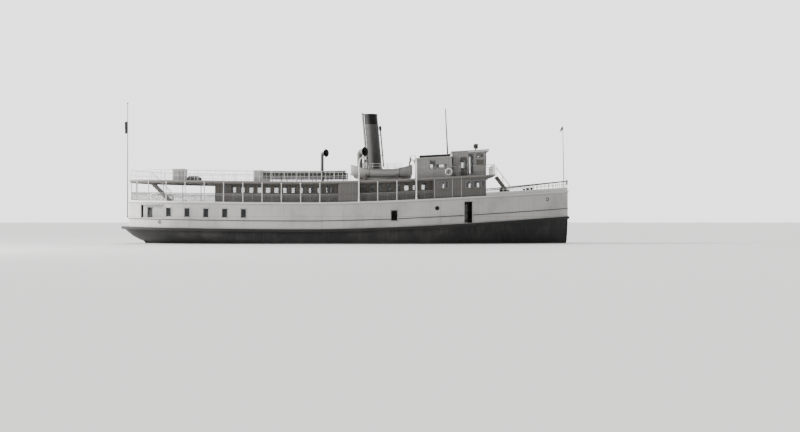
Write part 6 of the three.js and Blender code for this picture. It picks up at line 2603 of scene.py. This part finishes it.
@dataclass(frozen=True)
class Searchlight(Assembly):
    """The searchlight on the pilothouse's roof: a drum in a yoke, on a swivel post."""

    x: float = 14.7
    foot: float = 3.0215
    radius: float = 0.31
    half: float = 0.26
    axis: float = 0.46
    post: float = 0.08

    def build(self) -> Pieces:
        """Builds the drum with its yoke, then the lens."""
        base = Vector((self.x, 0, Deck.HURRICANE.at(self.x, self.foot)))
        lamp = Work()
        post = [(0, 0), (0.13, 0), (0.13, 0.03), (self.post, 0.06), (self.post, 0.2), (0, 0.2)]
        lamp.turned(post, Matrix.Translation(base), 20)
        yoke = ((0.02, 0.13), (0.2, 0.14), (0.315, 0.26), (0.315, self.axis))
        for way in (-1, 1):
            lamp.path([base + Vector((0, way * y, z)) for y, z in yoke], 0.022)
            near, far = (base + Vector((0, way * y, self.axis)) for y in (0.24, 0.335))
            lamp.rod(near, far, 0.04, 12)
        drum = Matrix.Translation(base + Vector((0, 0, self.axis))) @ ON_SIDE
        half, radius = self.half, self.radius
        shell = [
            (0, -half), (0.15, 0.02 - half), (0.235, 0.07 - half), (0.265, 0.13 - half), (0.285, 0.1),
            (0.285, half - 0.04), (radius, half - 0.03), (radius, half), (0.26, half), (0.26, 0.16),
            (0, 0.16),
        ]
        lamp.turned(shell, drum, 40)
        yield lamp.finish("searchlight_drum", DRUM_PAINT, "searchlight", ["searchlight"])
        lens = Work().turned([(0, 0.17), (0.255, 0.17), (0.255, 0.2), (0.13, 0.225), (0, 0.235)], drum, 40)
        yield lens.finish("searchlight_lens", LENS, "searchlight")


@dataclass(frozen=True)
class Stair(Assembly):
    """A ship's stair between the two upper decks, with stringers, treads, risers and handrails."""

    node: str
    top_x: float
    foot_x: float
    y0: float
    y1: float
    finish: Finish
    steps: int = 8
    stringer: float = 0.34
    rail_height: float = 0.85
    rail: float = 0.026
    inset: float = 0.04
    tread: float = 0.04
    post: float = 0.02
    posts: tuple[float, ...] = (0.0, 0.5, 1.0)

    def build(self) -> Pieces:
        """Builds the steps with their stringers, then the handrails."""
        high, low = Deck.HURRICANE.at(self.top_x), Deck.PROMENADE.at(self.foot_x)
        rise, going = (high - low) / (self.steps + 1), (self.foot_x - self.top_x) / self.steps
        y0, y1 = self.y0, self.y1
        near, far = y0 + self.inset, y1 - self.inset
        flight, rails = Work(), Work()
        for i in range(1, self.steps + 1):
            x, z = self.top_x + (i - 0.5) * going, high - i * rise
            flight.block((x - 0.02, near, z - self.tread), (x + going * 0.98, far, z), 0.008)
            flight.block((x - 0.01, near, z - rise + 0.01), (x + 0.015, far, z - 0.03))
        slope = math.atan2(low - high, self.foot_x - self.top_x)
        upper = Vector((self.top_x + going, 0, high + self.rail_height))
        lower = Vector((self.foot_x, 0, low + rise + self.rail_height))
        for way, y in ((1, y0), (-1, y1)):
            start = Vector((self.top_x + 0.14, y + way * 0.025, high - 0.27))
            end = Vector((self.foot_x + 0.02, y + way * 0.025, low + 0.14))
            flight.plank((start + end) / 2, ((end - start).length, 0.045, self.stringer), 0.0, 0.006, -slope)
            aside = Vector((0, y + way * 0.03, 0))
            a, b = upper + aside, lower + aside
            rails.path([a, b, b + Vector((0.04, 0, -0.1))], self.rail)
            for share in self.posts:
                spot = a.lerp(b, share)
                rails.rod(spot, spot - Vector((0, 0, self.rail_height + 0.12)), self.post)
        yield flight.finish(f"{self.node}_steps", self.finish, replaces=[self.node])
        yield rails.finish(f"{self.node}_handrails", BRIGHT)


@dataclass(frozen=True)
class BenchRow(Assembly):
    """A long two-sided bench on the hurricane deck, with the locker at its after end.

    Each of the irons is a line of places across the row and heights over the deck, with its radius.
    """

    name: str
    side: int
    aft: float = -9.0
    fore: float = 0.1
    y: float = 2.9
    seat: float = 0.4
    seats: tuple[float, ...] = (-0.4, -0.3, -0.2, -0.1, 0.1, 0.2, 0.3, 0.4)
    backs: tuple[float, ...] = (0.5, 0.69, 0.88, 1.07)
    slat: float = 0.075
    board: float = 0.03
    back_half: float = 0.028
    back_board: float = 0.175
    leg_pitch: float = 1.8
    irons: tuple[tuple[tuple[Point, ...], float], ...] = (
        (((0.38, 0), (0.34, 0.38), (0, 0.38)), 0.02),
        (((0.3, 0.39), (0.05, 0.5), (0.03, 1.2)), 0.018),
    )
    locker_aft: float = -10.05
    locker: float = 1.2
    locker_half: float = 0.45
    lid_half: float = 0.47
    lid: float = 0.08

    def build(self) -> Pieces:
        """Builds the slats, the iron legs and the locker."""
        deck, y = Deck.HURRICANE, self.side * self.y
        xs = spaced(self.aft, self.fore, 1.3)
        slats, legs = Work(), Work()
        for offset in self.seats:
            a, b = y + offset - self.slat / 2, y + offset + self.slat / 2
            slats.run(xs, a, b, deck.curve(self.seat), deck.curve(self.seat + self.board))
        for height in self.backs:
            foot, head = deck.curve(height), deck.curve(height + self.back_board)
            slats.run(xs, y - self.back_half, y + self.back_half, foot, head)
        for x in spaced(self.aft + 0.3, self.fore - 0.25, self.leg_pitch):
            low = deck.at(x)
            for way in (-1, 1):
                for line, radius in self.irons:
                    legs.path([(x, y + way * dy, low + dz) for dy, dz in line], radius)
        yield slats.finish(f"bench_row_{self.name}_slats", BENCH_PAINT, replaces=[f"bench_row_{self.name}"])
        yield legs.finish(f"bench_row_{self.name}_legs", IRON)
        aft, fore = self.locker_aft, self.aft + 0.02
        low = deck.at(aft)
        top, half, lid_half = low + self.locker, self.locker_half, self.lid_half
        box = Work().block((aft, y - half, low - 0.02), (fore, y + half, top), 0.015)
        box.block((aft - 0.02, y - lid_half, top), (fore, y + lid_half, top + self.lid), 0.012)
        for x in (aft + 0.25, fore - 0.25):
            box.plank((x, y, low + self.locker / 2), (0.05, 0.93, self.locker - 0.1), 0.0)
        yield box.finish(f"locker_{self.name}", GREY)


@dataclass(frozen=True)
class DeckBox(Assembly):
    """The big box with a lid near the stern."""

    aft: float = -18.88
    fore: float = -17.5
    y0: float = -3.9
    y1: float = -2.5
    height: float = 1.19

    def build(self) -> Pieces:
        """Builds the box, then its lid."""
        low = Deck.HURRICANE.at(self.aft)
        high = low + self.height
        box = self.layer(0.0, low - 0.03, high, 0.012)
        for z in (low, high - 0.1):
            box.join(self.layer(0.012, z, z + 0.08, 0.008))
        yield box.finish("deck_box_sides", BOX_PAINT, replaces=["deck_box"])
        yield self.layer(0.02, high, high + 0.09, 0.015).finish("deck_box_lid", GREY)

    def layer(self, proud: float, low: float, high: float, bevel: float) -> Work:
        """Returns a block of the box's outline, proud of it by a distance, between two heights."""
        start = (self.aft - proud, self.y0 - proud, low)
        return Work().block(start, (self.fore + proud, self.y1 + proud, high), bevel)


@dataclass(frozen=True)
class LifeRaft(Assembly):
    """A raft of two canvas-covered floats joined by a grating."""

    aft: float = -17.35
    fore: float = -15.85
    y: float = -3.3
    spread: float = 0.5
    tube: float = 0.2
    slat_pitch: float = 0.21
    slat_inset: float = 0.21
    straps: tuple[float, ...] = (-16.95, -16.2)
    strap_half: float = 0.035

    def build(self) -> Pieces:
        """Builds the floats, then the grating with the straps."""
        level = Deck.HURRICANE.at(self.aft, self.tube + 0.003)
        half, radius = (self.fore - self.aft) / 2, self.tube
        end = [(0.0, half), (0.6 * radius, half - 0.02), (0.9 * radius, half - 0.09), (radius, half - 0.2)]
        profile = [*((r, -h) for r, h in end), *reversed(end)]
        raft, grating = Work(), Work()
        for dy in (-self.spread, self.spread):
            raft.turned(profile, at((self.aft + self.fore) / 2, self.y + dy, level) @ ON_SIDE)
            for x in self.straps:
                outer, wide = radius + 0.012, self.strap_half
                strap = [(radius, -wide), (outer, -wide), (outer, wide), (radius, wide)]
                grating.turned(strap, at(x, self.y + dy, level) @ ON_SIDE)
        for x in spaced(self.aft + self.slat_inset, self.fore - self.slat_inset, self.slat_pitch):
            y = self.spread + 0.05
            grating.block((x - 0.06, self.y - y, level + 0.12), (x + 0.06, self.y + y, level + 0.16), 0.006)
            grating.block((x - 0.05, self.y - y + 0.1, level - 0.04), (x + 0.05, self.y + y - 0.1, level))
        wide, aft, fore = self.spread - 0.02, self.aft + 0.16, self.fore - 0.2
        raft.block((aft, self.y - wide, level + 0.1), (fore, self.y + wide, level + 0.32), 0.08)
        yield raft.finish("life_raft_floats", BENCH_PAINT, replaces=["life_raft"])
        yield grating.finish("life_raft_grating", BENCH_PAINT)


@dataclass(frozen=True)
class Windlass(Assembly):
    """The windlass on the foredeck: a barrel with whelps and warping ends between two cheeks."""

    x: float = 17.7
    half: float = 0.5
    bed: float = 0.65
    cheek: float = 0.31
    height: float = 0.6
    drum: float = 0.28
    core: float = 0.2
    barrel: tuple[float, float] = (0.22, 0.27)
    whelps: tuple[float, ...] = (-0.2, 0.0, 0.2)

    def build(self) -> Pieces:
        """Builds the windlass."""
        x, half, drum, base = self.x, self.half, self.drum, Deck.PROMENADE.at(self.x)
        axis = base + self.height
        winch = Work().block((x - half, -self.bed, base - 0.02), (x + half, self.bed, base + 0.11), 0.02)
        for y in (-self.cheek, self.cheek):
            winch.block((x - 0.25, y - 0.04, base + 0.08), (x + 0.25, y + 0.04, axis + 0.15), 0.03)
        turn = at(x, 0, axis) @ ACROSS
        end = ((0, 0.36), (0.24, 0.36), (0.17, 0.44), (0.17, 0.56), (drum, 0.62), (drum, 0.65), (0, 0.65))
        for way in (-1, 1):
            winch.turned([(r, way * h) for r, h in end], turn, 28)
        radius, reach = self.barrel
        winch.turned([(0, -reach), (radius, -reach), (radius, reach), (0, reach)], turn)
        core = self.core
        for y in self.whelps:
            winch.turned([(core, y - 0.02), (drum, y - 0.02), (drum, y + 0.02), (core, y + 0.02)], turn, 28)
        yield winch.finish("windlass_barrel", IRON, replaces=["windlass"])


@dataclass(frozen=True)
class Lifebuoys(Assembly):
    """The lifebuoys outside the after rail and on the officers' house, with their straps."""

    radius: float = 0.335
    tube: float = 0.095
    strap: float = 0.01
    rail_x: float = -20.8
    rail_gap: float = 0.11
    rail_z: float = 0.5
    house_x: float = 11.5
    house_z: float = 7.93

    def build(self) -> Pieces:
        """Builds the buoys, then their straps."""
        buoys, straps = Work(), Work()
        for _, side in SIDES:
            rail_y = side * (RAIL_LINE.half(self.rail_x) + self.rail_gap)
            on_rail = (self.rail_x, rail_y, Deck.PROMENADE.at(self.rail_x, self.rail_z))
            on_house = (self.house_x, side * (OfficersHouse.half + self.tube + 0.01), self.house_z)
            for centre in (on_rail, on_house):
                buoys.ring(centre, (0, side, 0), self.radius, self.tube, 36)
                for i in range(4):
                    angle = math.pi / 4 + i * math.pi / 2
                    out = Vector((math.cos(angle), 0, math.sin(angle)))
                    along = (-math.sin(angle), 0, math.cos(angle))
                    place = Vector(centre) + out * self.radius
                    straps.ring(place, along, self.tube + 0.004, self.strap, 14)
        yield buoys.finish("lifebuoys", BUOY)
        yield straps.finish("lifebuoy_straps", DARK_WOOD)


@dataclass(frozen=True)
class EnsignStaff(Assembly):
    """The tall ensign staff at the stern, with its ball, its brackets and its halyard."""

    x: float = -24.75
    foot: float = 2.9
    top: float = 15.85
    radius: float = 0.06
    top_radius: float = 0.035
    bracket: float = 0.05
    hull_bracket_to: float = -24.5
    deck_bracket_to: float = -24.6

    def build(self) -> Pieces:
        """Builds the staff, then the halyard."""
        x, foot, top = self.x, self.foot, self.top
        pole = Work().rod((x, 0, foot), (x, 0, top), self.radius, 16, self.top_radius)
        ball = [(0, -0.09), (0.05, -0.075), (0.085, -0.03), (0.085, 0.03), (0.05, 0.075), (0, 0.09)]
        pole.turned(ball, at(x, 0, top), 20)
        on_deck = Deck.PROMENADE.at(self.deck_bracket_to, -0.14)
        for z, face in ((foot, self.hull_bracket_to), (on_deck, self.deck_bracket_to)):
            pole.block((x - 0.07, -self.bracket, z), (face, self.bracket, z + 0.1), 0.01)
            pole.turned([(0.055, 0), (0.085, 0), (0.085, 0.1), (0.055, 0.1)], at(x, 0, z), 20)
        yield pole.finish("ensign_staff_pole", SHADED_SPAR, replaces=["ensign_staff"])
        halyard = Work().rod((x - 0.02, 0.065, foot + 0.4), (x - 0.02, 0.045, top - 0.1), 0.006, 6)
        halyard.block((x - 0.03, 0.04, foot + 0.35), (x + 0.03, 0.085, foot + 0.42), 0.005)
        yield halyard.finish("ensign_halyard", ROPE)


@dataclass(frozen=True)
class Jackstaff(Assembly):
    """The jackstaff at the stem with its vane, and the short post on the stem head."""

    x: float = 24.72
    height: float = 7.2
    radius: float = 0.05
    top_radius: float = 0.03
    lean: float = 0.02
    vane_z: float = 12.95
    post_x: float = 25.08
    post: tuple[float, float] = (6.6, 7.2)

    def build(self) -> Pieces:
        """Builds the staff, the vane and the post."""
        step = Deck.PROMENADE.at(self.x)
        jack = Work().turned([(0, 0), (0.1, 0), (0.1, 0.12), (0, 0.12)], at(self.x, 0, step), 20)
        low = step + 0.1206
        top = Vector((self.x - self.lean * self.height, 0, low + self.height))
        jack.rod((self.x, 0, low), top, self.radius, 16, self.top_radius)
        cap = [(0, 0), (0.05, 0.01), (0.05, 0.05), (0, 0.06)]
        jack.turned(cap, Matrix.Translation(top - Vector((0, 0, 0.06))), 16)
        yield jack.finish("jackstaff_pole", SHADED_SPAR, replaces=["jackstaff"])
        x = self.x - self.lean * (self.vane_z - low)
        vane = Work().rod((x, 0, self.vane_z - 0.2), (x, 0, self.vane_z + 0.28), 0.045, 10)
        outline = ((0.0, 0.27), (-0.14, 0.2), (-0.36, -0.38), (-0.2, -0.3), (0.0, -0.02))
        vane.loft([[(x + dx, y, self.vane_z + dz) for dx, dz in outline] for y in (-0.008, 0.008)])
        yield vane.finish("jackstaff_vane", IRON)
        foot, head = self.post
        post = Work().rod((self.post_x, 0, foot), (self.post_x - 0.02, 0, head), 0.07, 12, 0.055)
        yield post.finish("stem_post", DARK_WOOD)


@dataclass(frozen=True)
class Ensign(Assembly):
    """The limp ensign, a sheet that hangs in upright pleats from its hoist."""

    hoist_x: float = -24.797
    low: float = 12.42
    high: float = 13.78
    reach: float = 0.29
    pleats: float = 3.5
    deep: float = 0.042
    columns: int = 64
    rows: int = 24

    def point(self, column: int, row: int) -> Point:
        """Works out a point of the cloth.

        Args:
            column: Its column from the hoist.
            row: Its row from the foot.

        Returns:
            The point.
        """
        u, v = column / self.columns, row / self.rows
        x = self.hoist_x - self.reach * u * (1 - 0.12 * (1 - v))
        y = self.deep * math.sin(2 * math.pi * self.pleats * u + 0.5 * math.sin(3 * v)) * min(1.0, 6 * u)
        z = self.low + (self.high - self.low) * v - 0.06 * u * u + 0.01 * math.sin(9 * u)
        return (x, y, z)

    def build(self) -> Pieces:
        cloth = Work()
        cloth.sheet(self.columns, self.rows, self.point)
        across = [Vector(self.point(i, self.rows // 2)) for i in range(self.columns + 1)]
        width = sum((b - a).length for a, b in zip(across, across[1:]))
        flag = cloth.finish("ensign_cloth", CLOTH, replaces=["ensign"], angle=80.0)
        yield flag


@dataclass(frozen=True)
class Stage:
    """The floor at the waterline, the soft light that is brighter behind the ship, the sun and the camera."""

    floor_half: float = 900.0
    dark: tuple[float, float, float, float] = (0.62, 0.62, 0.61, 1.0)
    light: tuple[float, float, float, float] = (0.68, 0.68, 0.67, 1.0)
    bright_sky: tuple[float, float, float, float] = (1.12, 1.12, 1.13, 1.0)
    dim_sky: tuple[float, float, float, float] = (0.13, 0.13, 0.132, 1.0)
    sky_strength: float = 2.2
    sun_strength: float = 7.0
    sun_angle: float = 16.0
    sun_from: tuple[float, float, float] = (-0.92, 0.02, 0.33)
    side_light: float = 5600.0
    side_light_size: float = 9.0
    side_light_at: tuple[float, float, float] = (-26.0, -20.0, 9.0)
    side_light_aim: tuple[float, float, float] = (-9.0, 0.0, 2.0)
    camera_at: tuple[float, float, float] = (3.065, -62.35, 1.25)
    pitch: float = 0.00455
    lens: float = 49.5
    sensor: float = 36.0

    def build(self) -> None:
        """Sets up the floor, the light and the camera."""
        self.floor()
        self.light_up()
        self.camera()

    def floor(self) -> None:
        """Lays the floor."""
        mesh = bpy.data.meshes.new("floor")
        bm = bmesh.new()
        bmesh.ops.create_grid(bm, x_segments=1, y_segments=1, size=self.floor_half)
        bm.to_mesh(mesh)
        bm.free()
        floor = add_object("floor", mesh)
        material = bpy.data.materials.new("floor")
        material.use_nodes = True
        board = Board(material.node_tree)
        spot = board.add("ShaderNodeTexCoord").outputs["Object"]
        color = board.blend(board.noise(spot, 0.02), self.dark, self.light)
        surface = board.add("ShaderNodeBsdfPrincipled", {"Base Color": color, "Roughness": 0.7})
        board.add("ShaderNodeOutputMaterial", {"Surface": surface.outputs[0]})
        mesh.materials.append(material)

    def light_up(self) -> None:
        """Sets the sky, dimmer on the camera's side, the low soft sun astern and a soft lamp aft."""
        world = bpy.data.worlds.new("sky")
        bpy.context.scene.world = world
        world.use_nodes = True
        board = Board(world.node_tree)
        way = board.add("ShaderNodeSeparateXYZ", {0: board.add("ShaderNodeTexCoord").outputs["Generated"]})
        color = board.blend(board.ramp(way.outputs["Y"], -0.5, 0.6), self.dim_sky, self.bright_sky)
        sky = board.add("ShaderNodeBackground", {"Color": color, "Strength": self.sky_strength})
        board.add("ShaderNodeOutputWorld", {"Surface": sky.outputs[0]})
        sun = bpy.data.lights.new("sun", "SUN")
        sun.energy = self.sun_strength
        sun.angle = math.radians(self.sun_angle)
        sun.color = (1.0, 0.99, 0.96)
        lamp = add_object("sun", sun)
        lamp.rotation_euler = Vector(self.sun_from).to_track_quat("Z", "Y").to_euler()
        area = bpy.data.lights.new("side_light", "AREA")
        area.energy = self.side_light
        area.size = self.side_light_size
        soft = add_object("side_light", area)
        soft.location = self.side_light_at
        aim = soft.location - Vector(self.side_light_aim)
        soft.rotation_euler = aim.to_track_quat("Z", "Y").to_euler()

    def camera(self) -> None:
        """Places the camera abeam of the ship, near the water."""
        lens = bpy.data.cameras.new("camera")
        lens.lens = self.lens
        lens.sensor_width = self.sensor
        lens.clip_end = 3000.0
        camera = add_object("camera", lens)
        camera.location = self.camera_at
        camera.rotation_euler = (math.pi / 2 + self.pitch, 0.0, 0.0)
        bpy.context.scene.camera = camera


def paint_frame_nodes() -> None:
    """Gives every node of the frame a material of its slot, those that pieces stand for too."""
    coatings = (BLACK, PAINT, GREY, PLANKS, CANVAS, DARK_WOOD, IRON, BRONZE, CLOTH)
    by_slot = {coating.slot: coating for coating in coatings}
    slots = {part["node"]: part["material_slot"] for part in frame["record"]["subparts"]}
    for name, node in frame["nodes"].items():
        material = by_slot[slots[name]].material()
        if not node.material_slots:
            node.data.materials.append(material)
        for place in node.material_slots:
            place.material = material


def sub_assemblies() -> Iterator[Assembly]:
    """Gives the ship's sub-assemblies in the order they are built."""
    yield from (Hull(), Propeller(), Rudder(), Machinery(), MainDeck(), Plating(), SternLobby())
    yield from (FreightDoor(name, side) for name, side in SIDES)
    yield from (PromenadeDeck(), HurricaneDeck())
    front = HURRICANE_FORE - 0.06
    for name, side in SIDES:
        yield PromenadeRail(name, side, "aft", None, SIDE_LOBBY[0])
        # The forward run's bars and cap take the darker paint, which is painted shade.
        yield PromenadeRail(name, side, "fore", SIDE_LOBBY[1], FORWARD_HOUSE[0], PAINTED_SHADE_RAIL)
        yield ForedeckRail(name, side)
        yield HurricaneRail(name, side, "aft", None, BOAT_GAP[0])
        yield HurricaneRail(name, side, "fore", BOAT_GAP[1], front, EDGE_PAINT)
    yield from (Saloon(), SideLobbies(), ForwardHouse(), BoilerCasing(), Funnel())
    yield Cowl("ventilator_starboard", 1.66, -2.15, 0.3, 0.52, 0.75, COWL_PAINT)
    yield Cowl("ventilator_port", 2.2, 2.15, 0.3, 0.52, 0.75, COWL_PAINT)
    yield Cowl("ventilator_aft", -2.6, -1.2, 0.17, 0.44, 0.6, DULL_PAINT)
    for name, side in SIDES:
        yield Lifeboat(name, side)
        yield Davit("aft", name, side, 1.67, 1)
        yield Davit("fore", name, side, 7.93, -1)
    yield from (OfficersHouse(), SignalMast(), Pilothouse(), Helm())
    yield from (PilothouseDoor(name, side) for name, side in SIDES)
    yield Searchlight()
    well_aft, _, well_y0, well_y1 = STAIRWELL
    yield Stair("stern_stair", well_aft, -19.3, well_y0 + 0.1, well_y1 - 0.1, WORN_WOOD)
    yield Stair("foredeck_stair", HURRICANE_FORE, 18.25, -2.94, -2.06, DARK_WOOD)
    yield from (BenchRow(name, side) for name, side in SIDES)
    yield from (DeckBox(), LifeRaft(), Windlass(), Lifebuoys(), EnsignStaff(), Jackstaff(), Ensign())


def main() -> None:
    logging.basicConfig(level=logging.INFO, format="%(name)s: %(message)s")
    GROUPS.update(weathering=weathering_group(), boarding=boarding_group(), grain=grain_group())
    paint_frame_nodes()
    for assembly in sub_assemblies():
        for piece in assembly.build():
            LOG.info("%s: %s, %d faces", type(assembly).__name__, piece.name, len(piece.data.polygons))
    Stage().build()


if __name__ == "__main__":
    main()
